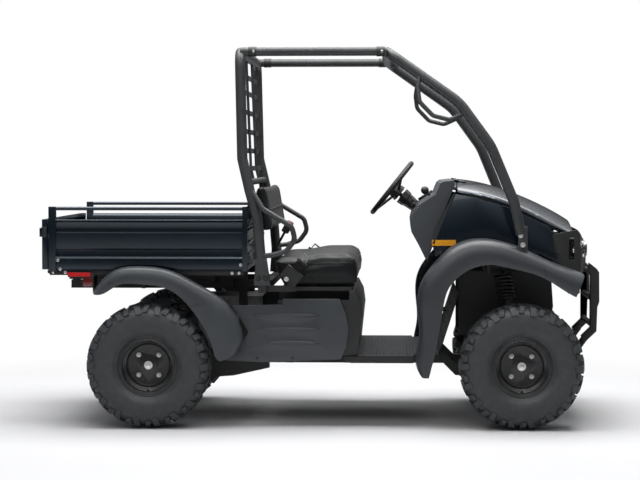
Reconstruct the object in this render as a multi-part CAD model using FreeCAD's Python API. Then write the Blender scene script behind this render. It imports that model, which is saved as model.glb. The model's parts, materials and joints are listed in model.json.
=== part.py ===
import FreeCAD, Part
import math
import os
from FreeCAD import Vector

# Two seat utility vehicle with a tipping cargo bed. Millimetres, +X forward, +Y to the left, +Z up.
# The origin is on the ground under the middle of the overall length and width.
# Lengths that end in FROM_REAR are measured forward from the rear axle.

# Overall sizes
OVERALL_LENGTH = 2710.0
OVERALL_WIDTH = 1335.0
REAR_OVERHANG = 525.0
FRONT_OVERHANG = 400.0
TYRE_RADIUS = 300.0
TYRE_WIDTH = 230.0
FLOOR_TOP_Z = 345.0
OVERRUN = 60.0
REST_GAP = 0.3
MOVING_GAP = 6.0
PIN_CLEARANCE = 0.3

WHEELBASE = OVERALL_LENGTH - REAR_OVERHANG - FRONT_OVERHANG
HALF_WIDTH = OVERALL_WIDTH / 2
REAR_X = REAR_OVERHANG - OVERALL_LENGTH / 2
FRONT_X = REAR_X + WHEELBASE
NOSE_X = OVERALL_LENGTH / 2
AXLE_Z = TYRE_RADIUS
WHEEL_Y = (OVERALL_WIDTH - TYRE_WIDTH) / 2
CORNER_ROOM = 2.1

# Tyre
BEAD_RADIUS = 127.0
BEAD_HALF_WIDTH = 84.0
BEAD_THICKNESS = 20.0
SIDEWALL_FOOT_RADIUS = 152.0
SIDEWALL_FOOT_HALF_WIDTH = 97.0
SIDEWALL_BULGE_RADIUS = 225.0
SHOULDER_RADIUS = 272.0
SHOULDER_HALF_WIDTH = 106.0
TREAD_RADIUS = 288.0
TREAD_HALF_WIDTH = 92.0
CASING_THICKNESS = 12.0
LUG_ROOT = 8.0
SHOULDER_LUG_COUNT = 20
SHOULDER_LUG_INNER_Y = 62.0
SHOULDER_LUG_OUTER_Y = 97.0
SHOULDER_LUG_ANGLE = 10.5
CENTRE_LUG_ANGLE = 11.5
CENTRE_LUG_WIDTH = 42.0
CENTRE_LUG_OFFSET = 29.0

# Rim and hub
FLANGE_RADIUS = 146.0
FLANGE_THICKNESS = 4.0
DROP_RADIUS = 110.0
DROP_HALF_WIDTH = 46.0
DROP_SLOPE = 12.0
RIM_WALL = 4.0
DISH_RADIUS = 97.0
DISH_FACE_Y = 20.0
DISH_THICKNESS = 8.0
DRUM_RADIUS = 86.0
DRUM_INNER_Y = -40.0
HUB_BOSS_RADIUS = 42.0
HUB_BOSS_HEIGHT = 7.0
HUB_BORE_RADIUS = 15.3
HUB_BORE_END_Y = 18.0
NUT_CIRCLE_RADIUS = 68.5
NUT_RADIUS = 10.0
NUT_HEIGHT = 13.0
NUT_COUNT = 4
NUT_SIDES = 6
CENTRE_NUT_RADIUS = 19.0
CENTRE_NUT_HEIGHT = 15.0
SPINDLE_RADIUS = 15.0
SPINDLE_END_Y = 16.0

# Main frame, lower part
RAIL_Y = 225.0
RAIL_WIDTH = 50.0
RAIL_HEIGHT = 60.0
FLOOR_THICKNESS = 4.0
RAIL_REAR_FROM_REAR = 400.0
RAIL_STEP_START_FROM_REAR = WHEELBASE - 365.0
RAIL_STEP_END_FROM_REAR = WHEELBASE - 305.0
RAIL_STEP_DROP = 60.0
RAIL_FRONT_FROM_REAR = WHEELBASE + 215.0
SILL_Y = HALF_WIDTH - 122.5
SILL_WIDTH = 30.0
SILL_HEIGHT = 30.0
SILL_REAR_FROM_REAR = 968.0
SILL_FRONT_FROM_REAR = WHEELBASE - 515.0
INNER_CROSS_HALF_LENGTH = HALF_WIDTH - 177.5
CROSS_WIDTH = 40.0
CROSS_HEIGHT = 30.0
FLOOR_CROSS_FROM_REAR = (680.0, 960.0, 1180.0, 1375.0)
RAIL_TOP_Z = FLOOR_TOP_Z - FLOOR_THICKNESS

# Main frame, rear upper part that carries the bed
UPPER_RAIL_Y = 245.0
UPPER_RAIL_WIDTH = 40.0
UPPER_RAIL_HEIGHT = 40.0
UPPER_RAIL_TOP_Z = 690.0
UPPER_RAIL_REAR_FROM_REAR = -425.0
UPPER_RAIL_FRONT_FROM_REAR = 568.0
UPRIGHT_FROM_REAR = 430.0
HOOP_CROSS_FROM_REAR = 548.0
HOOP_CROSS_HALF_LENGTH = HALF_WIDTH - 55.5
LAMP_CROSS_HALF_LENGTH = HALF_WIDTH - 167.5
BED_PIVOT_FROM_REAR = -400.0
BED_PIVOT_Z = 714.0
BED_LUG_RADIUS = 17.0
BED_PIN_RADIUS = 8.0
BED_PAD_HEIGHT = 6.0
BED_PAD_LENGTH = 70.0
BED_PAD_FROM_REAR = 350.0

# Main frame, front towers
TOWER_REAR_FROM_REAR = WHEELBASE - 145.0
TOWER_FRONT_FROM_REAR = WHEELBASE + 115.0
TOWER_TOP_Z = 770.0
TOWER_POST_LENGTH = 36.0
TOWER_PLATE_THICKNESS = 8.0
TOWER_PLATE_LENGTH = 130.0
HOOP_ARM_FROM_REAR = WHEELBASE + 2.0
HOOP_ARM_RADIUS = 17.0
HOOP_ARM_PAD_Z = 838.0
HOOP_ARM_PAD_THICKNESS = 14.0
HOOP_ARM_PAD_LENGTH = 56.0
HOOP_ARM_PAD_WIDTH = 40.0

# Kingpin axis, from the lower ball joint up to the strut's top
BALL_FROM_REAR = WHEELBASE + 13.0
BALL_Y = HALF_WIDTH - 202.5
BALL_Z = 215.0
STRUT_TOP_FROM_REAR = WHEELBASE - 83.0
STRUT_TOP_Y = HALF_WIDTH - 297.5
STRUT_TOP_Z = 742.0
BALL_HOUSING_RADIUS = 18.0
BALL_HOUSING_HEIGHT = 22.0
BALL_HOUSING_FOOT_SHARE = 0.7
BALL_STUD_ROOM_SHARE = 1.6
BALL_STUD_SHARE = 1.5
UPRIGHT_FOOT_SHARE = 1.3
UPRIGHT_NECK_SHARE = 1 / 3
BALL_STUD_RADIUS = 8.0
KNUCKLE_THICKNESS = 44.0
BACKING_RADIUS = 90.0
BACKING_THICKNESS = 4.0
BACKING_GAP = 3.0
SPINDLE_ROOT_RADIUS = 26.0
STEER_ARM_TOP_Z = 334.0
STEER_ARM_THICKNESS = 14.0
STEER_EYE_RADIUS = 14.0
STRUT_BODY_RADIUS = 22.0
STRUT_CLAMP_RADIUS = 29.0
STRUT_CLAMP_FOOT_Z = 395.0
STRUT_CLAMP_HEIGHT = 55.0
STRUT_BODY_TOP_Z = 640.0
SPRING_SEAT_Z = 615.0
SPRING_SEAT_RADIUS = 46.0
SPRING_SEAT_THICKNESS = 5.0
SPRING_TOP_Z = 722.0
SPRING_RADIUS = 37.0
SPRING_WIRE_RADIUS = 5.5
SPRING_TURNS = 5.5
STRUT_ROD_RADIUS = 9.0

# Steering gear
RACK_FROM_FRONT = -110.0
RACK_Z = 327.0
RACK_BAR_RADIUS = 11.0
RACK_HOUSING_RADIUS = 22.0
RACK_HOUSING_HALF_LENGTH = 165.0
TIE_ROD_GAP = 8.0
TIE_ROD_END_RADIUS = 13.0
TIE_ROD_END_LENGTH = 30.0
PINION_Y = 90.0
PINION_TOWER_RADIUS = 24.0
PINION_TOWER_HEIGHT = 60.0
STEERING_CENTRE_FROM_REAR = 1164.0
STEERING_CENTRE_Z = 1140.0
STEERING_Y = 280.0
STEERING_PLANE_ANGLE = 51.5
STEERING_RIM_RADIUS = 160.0
STEERING_GRIP_RADIUS = 13.0
STEERING_SPOKE_COUNT = 3
STEERING_SPOKE_RADIUS = 7.0
STEERING_HUB_RADIUS = 34.0
STEERING_HUB_HEIGHT = 30.0
STEERING_HUB_DROP = 24.0
COLUMN_RADIUS = 21.0
COLUMN_START = 62.0
COLUMN_LENGTH = 250.0
STEERING_SHAFT_RADIUS = 10.0
JOINT_YOKE_RADIUS = 19.0
JOINT_YOKE_LENGTH = 34.0
SHAFT_ROOM_YOKES = 4
JOINT_BALL_RADIUS = 12.0
LOWER_SHAFT_RADIUS = 10.0

# Front arms, shafts and front drive
ARM_PIVOT_Z = 250.0
ARM_HALF_SPREAD = 95.0
ARM_TUBE_RADIUS = 13.0
ARM_BUSH_RADIUS = 18.0
ARM_BUSH_LENGTH = 44.0
ARM_EAR_THICKNESS = 6.0
ARM_END_RADIUS = 20.0
ARM_END_HEIGHT = 22.0
FRONT_DRIVE_HALF_WIDTH = 85.0
FRONT_DRIVE_RADIUS = 75.0
HALF_SHAFT_RADIUS = 12.0
SHAFT_BOOT_RADIUS = 30.0
SHAFT_BOOT_END_RADIUS = 16.0
SHAFT_BOOT_LENGTH = 60.0
SHAFT_END_Y = HALF_WIDTH - 251.5

# Rear axle, swing frame, shocks and engine
AXLE_TUBE_RADIUS = 38.0
AXLE_TUBE_END_Y = HALF_WIDTH - 197.5
TRANSAXLE_HALF_WIDTH = 150.0
TRANSAXLE_RADIUS = 105.0
SWING_ARM_Y = 285.0
SWING_ARM_SHARES = ((0.0, 0.42), (0.0, 0.92), (0.12, 1.0), (1.0, 0.62), (1.0, 0.37), (0.70, 0.06),
                    (0.50, 0.0))
SWING_ARM_WIDTH = 40.0
SWING_LENGTH = 600.0
SWING_HEIGHT = 130.0
SWING_BOTTOM_Z = 212.0
SWING_PIVOT_RADIUS = 12.0
SHOCK_Y = 330.0
SHOCK_TOP_FROM_REAR = 130.0
SHOCK_FOOT_FROM_REAR = 60.0
SHOCK_FOOT_Z = 318.0
SHOCK_TOP_Z = 636.0
SHOCK_BODY_RADIUS = 20.0
SHOCK_ROD_RADIUS = 8.0
SHOCK_SPRING_RADIUS = 33.0
SHOCK_LOW_SEAT = 80.0
SHOCK_HIGH_SEAT = 34.0
SHOCK_BODY_SHARE = 0.5
SPRING_SEAT_GAP = 0.3
SHOCK_EYE_RADIUS = 15.0
ENGINE_REAR_FROM_REAR = 200.0
ENGINE_LENGTH = 320.0
ENGINE_HALF_WIDTH = 180.0
ENGINE_BOTTOM_Z = 345.0
ENGINE_HEIGHT = 260.0
ENGINE_BEARER_FROM_REAR = (230.0, 365.0)
ENGINE_BEARER_LENGTH = 30.0
ENGINE_BEARER_HEIGHT = 60.0

# Floor and seat pedestal
FLOOR_HALF_WIDTH = HALF_WIDTH - 107.5
FLOOR_SEAT_HALF_WIDTH = HALF_WIDTH - 127.5
FLOOR_TOE_HALF_WIDTH = HALF_WIDTH - 172.5
FLOOR_WIDE_REAR_FROM_REAR = 1000.0
FLOOR_WIDE_FRONT_FROM_REAR = WHEELBASE - 515.0
FLOOR_REAR_FROM_REAR = 660.0
FLOOR_FRONT_FROM_REAR = WHEELBASE - 390.0
TOE_BOARD_TOP_FROM_REAR = WHEELBASE - 295.0
TOE_BOARD_TOP_Z = 640.0
TOE_BOARD_HALF_WIDTH = HALF_WIDTH - 197.5
TREAD_BAR_COUNT = 9
TREAD_BAR_WIDTH = 9.0
TREAD_BAR_HEIGHT = 2.5
TREAD_START_FROM_REAR = 1035.0
TREAD_END_FROM_REAR = WHEELBASE - 415.0
PEDESTAL_HALF_WIDTH = HALF_WIDTH - 122.5
PEDESTAL_REAR_FROM_REAR = 620.0
PEDESTAL_LENGTH = 403.0
PEDESTAL_TOP_Z = 657.0
PEDESTAL_WALL = 4.0
PEDESTAL_INNER_HALF_WIDTH = HALF_WIDTH - 231.5
PEDESTAL_SIDE_TOP_Z = 612.0
PEDESTAL_FRONT_LENGTH = 62.0
PEDESTAL_SHARES = ((0.0, 0.0), (0.95, 0.0), (0.975, 0.30), (1.0, 0.62), (0.975, 0.84), (0.91, 1.0),
                   (0.0, 1.0))

# Side covers below the seat
COVER_REAR_FROM_REAR = 341.0
COVER_LENGTH = 618.0
COVER_BOTTOM_Z = 314.0
COVER_HEIGHT = 305.0
COVER_DEPTH = 26.0
COVER_WALL = 4.0
COVER_SHARES = (
    (0.04, 0.03), (0.33, 0.0), (0.94, 0.05), (0.985, 0.25), (1.0, 0.54),
    (0.98, 0.76), (0.93, 1.0), (0.49, 1.0), (0.49, 0.91), (0.10, 0.89), (0.225, 0.47), (0.12, 0.16),
)
LOUVRE_SHARES = ((0.26, 0.78, 0.73), (0.315, 0.78, 0.515), (0.365, 0.775, 0.30))
LOUVRE_HEIGHT = 11.0
LOUVRE_TIP_SHARE = 0.45
LOUVRE_LENS_SHARES = ((0.0, 0.0), (0.12, 0.55), (0.35, 0.95), (0.65, 0.95), (0.88, 0.55), (1.0, 0.0))
LOUVRE_PROUD = 6.0

# Front fenders, listed as pairs of upper edge and arch lip along the arch
FRONT_FENDER_FROM_REAR = WHEELBASE - 493.0
FRONT_FENDER_LENGTH = 790.0
FRONT_FENDER_BOTTOM_Z = 247.0
FRONT_FENDER_HEIGHT = 662.0
FRONT_FENDER_OUTER_Y = HALF_WIDTH - 27.5
FRONT_FENDER_SHARES = (
    (0.02, 0.0, 0.065, 0.0), (0.0, 0.23, 0.11, 0.22), (0.0, 0.43, 0.14, 0.44), (0.03, 0.71, 0.18, 0.64),
    (0.13, 0.865, 0.225, 0.71), (0.23, 0.96, 0.29, 0.77), (0.35, 1.0, 0.38, 0.81), (0.49, 0.985, 0.48, 0.81),
    (0.67, 0.91, 0.63, 0.77), (0.83, 0.82, 0.77, 0.71), (0.95, 0.77, 0.87, 0.635), (1.0, 0.74, 0.945, 0.585),
)
FENDER_WALL = 5.0
FENDER_INNER_Y = HALF_WIDTH - 167.5
# Shares of the width from the inner edge and of the drop from upper edge to lip, then how far the inside
# lies inboard and below, in shares of the wall
FRONT_ROLL_SHARES = (
    (0.0, 0.0, 0.0, 1.0), (0.40, 0.0, 0.0, 1.0), (0.62, 0.03, 0.1, 1.0), (0.78, 0.10, 0.35, 0.95),
    (0.90, 0.22, 0.6, 0.8), (0.97, 0.40, 0.85, 0.5), (1.0, 0.60, 1.0, 0.2), (0.995, 0.82, 1.0, 0.0),
    (0.975, 1.0, 1.0, 0.0),
)
REAR_ROLL_SHARES = (
    (0.0, 0.62, 0.0, 1.0), (0.64, 0.62, -1.0, 1.0), (0.68, 0.20, -1.0, 0.8), (0.74, 0.0, -0.3, 1.0),
    (0.85, 0.06, 0.3, 1.0), (0.94, 0.20, 0.6, 0.8), (0.985, 0.42, 0.9, 0.4), (1.0, 0.66, 1.0, 0.1),
    (0.985, 1.0, 1.0, 0.0),
)

# Rear fenders
REAR_FENDER_FROM_REAR = -262.0
REAR_FENDER_LENGTH = 731.0
REAR_FENDER_BOTTOM_Z = 325.0
REAR_FENDER_HEIGHT = 452.0
REAR_FENDER_OUTER_Y = HALF_WIDTH - 19.5
REAR_FENDER_SHARES = (
    (0.0, 0.74, 0.012, 0.70), (0.03, 0.80, 0.08, 0.715), (0.13, 0.95, 0.17, 0.80), (0.31, 1.0, 0.32, 0.81),
    (0.50, 0.96, 0.45, 0.785), (0.68, 0.82, 0.58, 0.67), (0.81, 0.70, 0.68, 0.48), (0.92, 0.52, 0.755, 0.28),
    (0.98, 0.30, 0.79, 0.12), (0.93, 0.06, 0.84, 0.0),
)

# Cowl side panels and hood
COWL_REAR_FROM_REAR = WHEELBASE - 426.0
COWL_LENGTH = 600.0
COWL_BOTTOM_Z = 797.0
COWL_HEIGHT = 332.0
COWL_OUTER_Y = HALF_WIDTH - 167.5
COWL_LEAN = 5.0
COWL_LEAN_Z = 870.0
COWL_WALL = 4.0
COWL_SHARES = (
    (0.0, 0.25), (0.03, 0.07), (0.09, 0.115), (0.20, 0.28), (0.35, 0.35), (0.53, 0.325), (0.77, 0.175),
    (0.97, 0.02), (1.0, 0.03), (0.975, 0.14), (0.955, 0.41), (0.935, 0.505), (0.69, 0.72), (0.59, 0.795),
    (0.34, 0.93), (0.17, 0.98), (0.09, 0.64),
)
HOOD_WALL = 4.0
HOOD_FROM_REAR = WHEELBASE - 303.0
HOOD_LENGTH = 560.0
HOOD_LOW_Z = 945.0
HOOD_HEIGHT = 244.0
HOOD_HALF_WIDTH = HALF_WIDTH - 191.5
HOOD_FLANGE_OUT = 8.0
HOOD_FLANGE_DROP = 10.0
HOOD_SHARES = (
    (0.0, 0.985, 0.80, 1.0, 1.0), (0.14, 1.0, 0.745, 0.965, 1.0), (0.42, 0.985, 0.565, 0.80, 0.95),
    (0.63, 0.955, 0.345, 0.615, 0.9), (0.84, 0.915, 0.085, 0.385, 0.4), (1.0, 0.86, -0.07, 0.17, 0.1),
)
HOOD_HINGE_Y = 205.0
HOOD_HINGE_AHEAD = 8.0
HOOD_HINGE_Z = 938.0
HOOD_PIN_RADIUS = 6.0
HOOD_BARREL_RADIUS = 11.0
HOOD_BARREL_LENGTH = 44.0
HOOD_LEAF_THICKNESS = 6.0
HOOD_ARM_RADIUS = 8.0

# Dash
DASH_REAR_FROM_REAR = WHEELBASE - 529.0
DASH_LENGTH = 213.0
DASH_BOTTOM_Z = 795.0
DASH_HEIGHT = 392.0
DASH_HALF_WIDTH = HALF_WIDTH - 197.5
DASH_WALL = 5.0
DASH_SHARES = (
    (0.385, 0.0), (0.32, 0.05), (0.17, 0.215), (0.02, 0.36), (0.0, 0.48), (0.045, 0.58), (0.23, 0.71),
    (0.565, 0.825), (0.665, 0.955), (0.74, 0.985), (0.99, 1.0), (0.99, 0.93), (0.72, 0.55), (0.52, 0.22),
)

# Grille surround and lamps
GRILLE_CENTRE_FROM_REAR = WHEELBASE + 346.0
GRILLE_SIDE_FROM_REAR = WHEELBASE + 290.0
GRILLE_HALF_WIDTH = HALF_WIDTH - 199.5
GRILLE_REAR_FROM_REAR = WHEELBASE + 153.0
GRILLE_BOTTOM_Z = 640.0
GRILLE_TOP_Z = 952.0
GRILLE_SETBACK = 72.0
GRILLE_SIDE_SETBACK = 20.0
# Shares of the height and of the setback of the curved front
GRILLE_FRONT_SHARES = ((0.0, 0.42), (0.36, 0.04), (0.58, 0.0), (0.76, 0.16), (0.93, 0.50), (1.0, 1.0))
GRILLE_SHELF_Z = 906.0
NOSE_SLOT_FROM_REAR = WHEELBASE + 245.0
NOSE_SLOT_LENGTH = 24.0
NOSE_SLOT_BOTTOM_Z = 805.0
NOSE_SLOT_HEIGHT = 110.0
GRILLE_WALL = 5.0
GRILLE_LIP_HEIGHT = 25.0
GRILLE_OPENING_HALF_WIDTH = 215.0
GRILLE_OPENING_BOTTOM_Z = 700.0
GRILLE_OPENING_TOP_Z = 880.0
GRILLE_BAR_COUNT = 5
GRILLE_BAR_HEIGHT = 12.0
LAMP_Y = 320.0
LAMP_Z = 855.0
LAMP_HALF_WIDTH = 75.0
LAMP_HALF_HEIGHT = 45.0
LAMP_DEPTH = 90.0
LAMP_PROUD = 4.0
LAMP_OPENING_DEPTHS = 4

# Brush guard
GUARD_Y = 250.0
GUARD_PLATE_WIDTH = 34.0
GUARD_REAR_FROM_REAR = WHEELBASE + 311.0
GUARD_LENGTH = 89.0
GUARD_BOTTOM_Z = 380.0
GUARD_HEIGHT = 400.0
GUARD_SHARES = (
    (0.12, 0.0), (0.85, 0.155), (0.89, 0.45), (1.0, 0.52), (0.98, 0.88), (0.85, 0.925), (0.42, 1.0),
    (0.34, 0.92), (0.50, 0.85), (0.50, 0.21), (0.0, 0.10),
)
GUARD_TUBE_RADIUS = 14.0
GUARD_TUBE_FROM_REAR = WHEELBASE + 370.0
GUARD_TUBE_Z = (470.0, 600.0, 725.0)
GUARD_STAY_HEIGHT = 36.0
GUARD_STAY_WIDTH_SHARE = 0.6
GUARD_STAY_LOW_SHARE = 0.08
GUARD_STAY_HIGH_SHARE = 0.2

# Roll over frame
REAR_HOOP_RADIUS = 25.0
REAR_HOOP_BEND = 70.0
REAR_HOOP_TOP_Z = 1799.0
# Rows of (ahead of the rear axle, inboard of the overall width, height)
REAR_HOOP_ROWS = (
    (548.0, 77.5, 715.0), (524.0, 77.5, 1007.0), (487.0, 79.5, 1140.0), (452.0, 87.5, 1290.0),
    (440.0, 101.5, 1799.0),
)
REAR_HOOP_ROUTE_FROM_REAR = tuple((ahead, HALF_WIDTH - inboard, z) for ahead, inboard, z in REAR_HOOP_ROWS)
REAR_FOOT_BOTTOM_Z = 685.0
HOOP_FOOT_LENGTH = 79.0
HOOP_FOOT_HEIGHT = 131.0
HOOP_FOOT_WIDTH = 44.0
FOOT_TOP_FRONT_SHARE = 0.25
FOOT_TOP_REAR_SHARE = 0.385
FRONT_HOOP_RADIUS = 25.0
FRONT_HOOP_BEND = 260.0
FRONT_HOOP_CORNER = 70.0
# Rows of (ahead of the front axle, inboard of the overall width, height)
FRONT_HOOP_ROWS = (
    (-6.0, 67.5, 930.0), (-39.0, 75.5, 1084.0), (-150.0, 92.5, 1352.0), (-300.0, 107.5, 1558.0),
    (-645.0, 122.5, 1801.0),
)
FRONT_HOOP_ROUTE_FROM_REAR = tuple((WHEELBASE + ahead, HALF_WIDTH - inboard, z) for ahead, inboard,
                                   z in FRONT_HOOP_ROWS)
FRONT_FOOT_LENGTH = 44.0
FRONT_FOOT_TOP_Z = 968.0
FRONT_FOOT_THICKNESS = 10.0
ROOF_TUBE_RADIUS = 21.0
ROOF_TUBE_Z = 1801.0
ROOF_TUBE_Y = HALF_WIDTH - 122.5
GRAB_RADIUS = 11.0
GRAB_BEND = 40.0
# Rows of (ahead of the front axle, inboard of the overall width, height)
GRAB_ROWS = (
    (-485.0, 110.5, 1712.0), (-497.0, 92.5, 1625.0), (-489.0, 77.5, 1560.0), (-425.0, 75.5, 1494.0),
    (-345.0, 85.5, 1474.0), (-265.0, 104.5, 1510.0),
)
GRAB_ROUTE_FROM_REAR = tuple((WHEELBASE + ahead, HALF_WIDTH - inboard, z) for ahead, inboard, z in GRAB_ROWS)
SCREEN_STRAP_HEIGHT = 25.0
SCREEN_STRAP_THICKNESS = 4.0
SCREEN_STRAP_Z = (1695.0, 1615.0, 1519.0, 1424.0, 1330.0, 1242.0)
SCREEN_BAR_Y = (-180.0, 180.0)
SCREEN_BAR_RADIUS = 7.0
SCREEN_FOOT_Z = 1187.0
BACK_CROSS_Z = 1177.0
BACK_CROSS_FROM_REAR = 476.0
BACK_CROSS_RADIUS = 16.0
HIP_RADIUS = 12.5
HIP_BEND = 45.0
# Rows of (ahead of the rear axle, inboard of the overall width, height)
HIP_ROWS = (
    (480.0, 77.5, 1165.0), (552.0, 52.5, 1050.0), (690.0, 49.5, 968.0), (706.0, 49.5, 905.0),
    (664.0, 49.5, 849.0), (600.0, 55.5, 831.0), (535.0, 75.5, 823.0),
)
HIP_ROUTE_FROM_REAR = tuple((ahead, HALF_WIDTH - inboard, z) for ahead, inboard, z in HIP_ROWS)

# Seat
SEAT_HALF_WIDTH = HALF_WIDTH - 122.5
CUSHION_REAR_FROM_REAR = 590.0
CUSHION_LENGTH = 421.0
CUSHION_BOTTOM_Z = 675.0
CUSHION_HEIGHT = 156.0
CUSHION_SHARES = (
    (0.0, 0.84), (0.30, 0.86), (0.58, 1.0), (0.91, 1.0), (0.98, 0.90), (1.0, 0.14), (0.90, 0.03),
    (0.68, 0.0), (0.12, 0.0),
)
BACK_REAR_FROM_REAR = 511.0
BACK_LENGTH = 83.0
BACK_BOTTOM_Z = 938.0
BACK_HEIGHT = 222.0
BACK_SHARES = ((0.0, 0.93), (0.10, 1.0), (0.53, 1.0), (0.71, 0.66), (1.0, 0.07), (0.93, 0.0), (0.33, 0.0),
               (0.25, 0.10))
SEAT_BAR_RADIUS = 8.5
SEAT_OUTER_BAR_Y = SEAT_HALF_WIDTH - 14.0
SEAT_BAR_Y = (-SEAT_OUTER_BAR_Y, -420.0, -140.0, 140.0, 420.0, SEAT_OUTER_BAR_Y)
SEAT_BAR_REAR_FROM_REAR = 640.0
SEAT_BAR_FRONT_FROM_REAR = 975.0
BACK_POST_Y = (-330.0, 330.0)
BACK_POST_RADIUS = 11.0

# Seat belts
BELT_Y = HALF_WIDTH - 77.5
BELT_STRIP_THICKNESS = 4.0
RETRACTOR_FROM_REAR = 688.0
RETRACTOR_Z = 733.0
RETRACTOR_LENGTH = 90.0
RETRACTOR_HEIGHT = 66.0
RETRACTOR_THICKNESS = 40.0
RETRACTOR_TILT = 38.0

# Cargo bed
BED_REAR_FROM_REAR = -480.0
BED_LENGTH = 956.0
BED_HALF_WIDTH = HALF_WIDTH - 77.5
BED_POST_WIDTH = 34.0
BED_FRONT_POST_WIDTH = 24.0
BED_PANEL_Y = HALF_WIDTH - 105.5
BED_PANEL_THICKNESS = 4.0
BED_PANEL_BOTTOM_Z = 759.0
BED_PANEL_TOP_Z = 999.0
BED_TOP_Z = 1060.0
BED_POST_BOTTOM_Z = 751.0
BED_FLOOR_BOTTOM_Z = 752.0
BED_FLOOR_THICKNESS = 4.0
BED_FLOOR_RIB_COUNT = 8
BED_FLOOR_RIB_HEIGHT = 6.0
BED_FLOOR_RIB_WIDTH = 40.0
BED_RAIL_TUBE_RADIUS = 9.0
BED_RIB_HEIGHT = 22.0
BED_RIB_DEPTH = 7.0
BED_RIB_Z = (785.0, 834.0, 892.0, 948.0)
BED_PRESS_DEPTH = 13.0
# Shares of the pressing's depth and of the panel's height, and of the wall by which the inside steps down
BED_PRESS_SHARES = (
    (0.5, 0.0, 0.0), (0.5, 0.217, 0.0), (0.0, 0.25, 0.0), (0.0, 0.379, 0.0), (0.8, 0.42, 0.0), (1.0, 0.70,
                                                                                                0.0),
    (1.0, 0.732, 1.0), (0.05, 0.742, 1.0), (0.0, 0.90, 0.0), (0.45, 0.95, -0.5), (1.5, 0.983, -1.0),
)
BED_SKIRT_Y = HALF_WIDTH - 132.5
BED_SKIRT_WIDTH = 21.0
BED_SKIRT_BOTTOM_Z = 730.0
BED_RAIL_Y = 300.0
BED_RAIL_WIDTH = 40.0
BED_RAIL_BOTTOM_Z = 697.0
BED_RAIL_REAR_FROM_REAR = -425.0
BED_RAIL_FRONT_FROM_REAR = 456.0
BED_CROSS_FROM_REAR = (-200.0, 50.0, 290.0)
BED_CROSS_HALF_LENGTH = HALF_WIDTH - 182.5
BED_BEAM_SHARE = 0.75

# Tailgate
TAILGATE_REAR_FROM_REAR = -513.0
TAILGATE_BOTTOM_Z = 752.0
TAILGATE_HINGE_FROM_REAR = -495.0
TAILGATE_HINGE_Z = 742.0
TAILGATE_HINGE_RADIUS = 6.0
TAILGATE_HINGE_Y = HALF_WIDTH - 237.5
TAILGATE_HINGE_LENGTH = 70.0
TAILGATE_KNUCKLE_RADIUS = 10.0
TAILGATE_LATCH_WIDTH = 60.0
TAILGATE_LATCH_HEIGHT = 42.0

# Rear lamps, reflectors and side markers
TAIL_LAMP_FROM_REAR = -295.0
TAIL_LAMP_Y = HALF_WIDTH - 147.5
TAIL_LAMP_Z = 698.0
TAIL_LAMP_LENGTH = 48.0
TAIL_LAMP_HEIGHT = 43.0
TAIL_LAMP_WIDTH = 90.0
REFLECTOR_FROM_REAR = -336.0
REFLECTOR_Y = HALF_WIDTH - 92.5
REFLECTOR_Z = 734.0
REFLECTOR_LENGTH = 110.0
REFLECTOR_HEIGHT = 20.0
REFLECTOR_THICKNESS = 8.0
LAMP_BRACKET_THICKNESS = 4.0
LAMP_CROSS_FROM_REAR = TAIL_LAMP_FROM_REAR + TAIL_LAMP_LENGTH / 2 + LAMP_BRACKET_THICKNESS + CROSS_WIDTH / 2
MARKER_FROM_REAR = WHEELBASE - 369.0
MARKER_Z = 886.0
MARKER_LENGTH = 115.0
MARKER_HEIGHT = 28.0

# Shift lever, pedals and brake lever
SHIFTER_FROM_REAR = WHEELBASE - 455.0
SHIFTER_Y = -60.0
SHIFTER_TOP_Z = 1132.0
SHIFTER_FOOT_FROM_REAR = WHEELBASE - 400.0
SHIFTER_FOOT_Z = 1075.0
SHIFTER_ROD_RADIUS = 6.0
SHIFTER_KNOB_RADIUS = 20.0
PEDAL_FROM_REAR = WHEELBASE - 415.0
PEDAL_Z = 470.0
PEDAL_Y = (190.0, 330.0)
PEDAL_WIDTH = 70.0
PEDAL_HEIGHT = 80.0
PEDAL_THICKNESS = 8.0
PEDAL_ARM_RADIUS = 7.0

# Radiator and inner panels of the front arches
RADIATOR_LENGTH = 32.0
RADIATOR_BOTTOM_Z = 440.0
RADIATOR_TOP_Z = 730.0
INNER_PANEL_THICKNESS = 3.0
INNER_PANEL_FROM_REAR = WHEELBASE - 291.0
INNER_PANEL_LENGTH = 466.0
INNER_PANEL_BOTTOM_Z = 420.0
INNER_PANEL_HEIGHT = 316.0
INNER_PANEL_SHARES = ((0.0, 0.0), (0.93, 0.0), (1.0, 0.45), (0.98, 0.88), (0.92, 1.0), (0.0, 1.0))

# Brackets and braces that hold the body panels to the frame
FENDER_BRACKET_WIDTH = 16.0
FENDER_BRACKET_LUG = 12.0
REAR_BRACKET_FROM_REAR = -33.0
REAR_BRACKET_Z = 664.0
FRONT_BRACKET_FROM_REAR = WHEELBASE - 155.0
FRONT_BRACKET_Z = 738.0
COWL_BRACE_RADIUS = 9.0
COWL_BRACE_FROM_REAR = WHEELBASE + 30.0
COWL_BRACE_Z = 945.0
NOSE_BRACE_Y = 230.0
NOSE_BRACE_WIDTH = 16.0
DASH_BRACE_RADIUS = 14.0
DASH_BRACE_Y = 170.0
DASH_BRACE_BEND = 150.0
# Rows of (ahead of the front axle, height)
DASH_BRACE_ROWS = ((-225.0, 290.0), (-265.0, 700.0), (-345.0, 1000.0))
DASH_BRACE_ROUTE_FROM_REAR = tuple((WHEELBASE + ahead, z) for ahead, z in DASH_BRACE_ROWS)
FOOT_SLOT_GAP = 1.5


# Shape helpers

def forward(from_rear):
    return REAR_X + from_rear


def box(x0, x1, y0, y1, z0, z1):
    return Part.makeBox(x1 - x0, y1 - y0, z1 - z0, Vector(x0, y0, z0))


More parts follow.
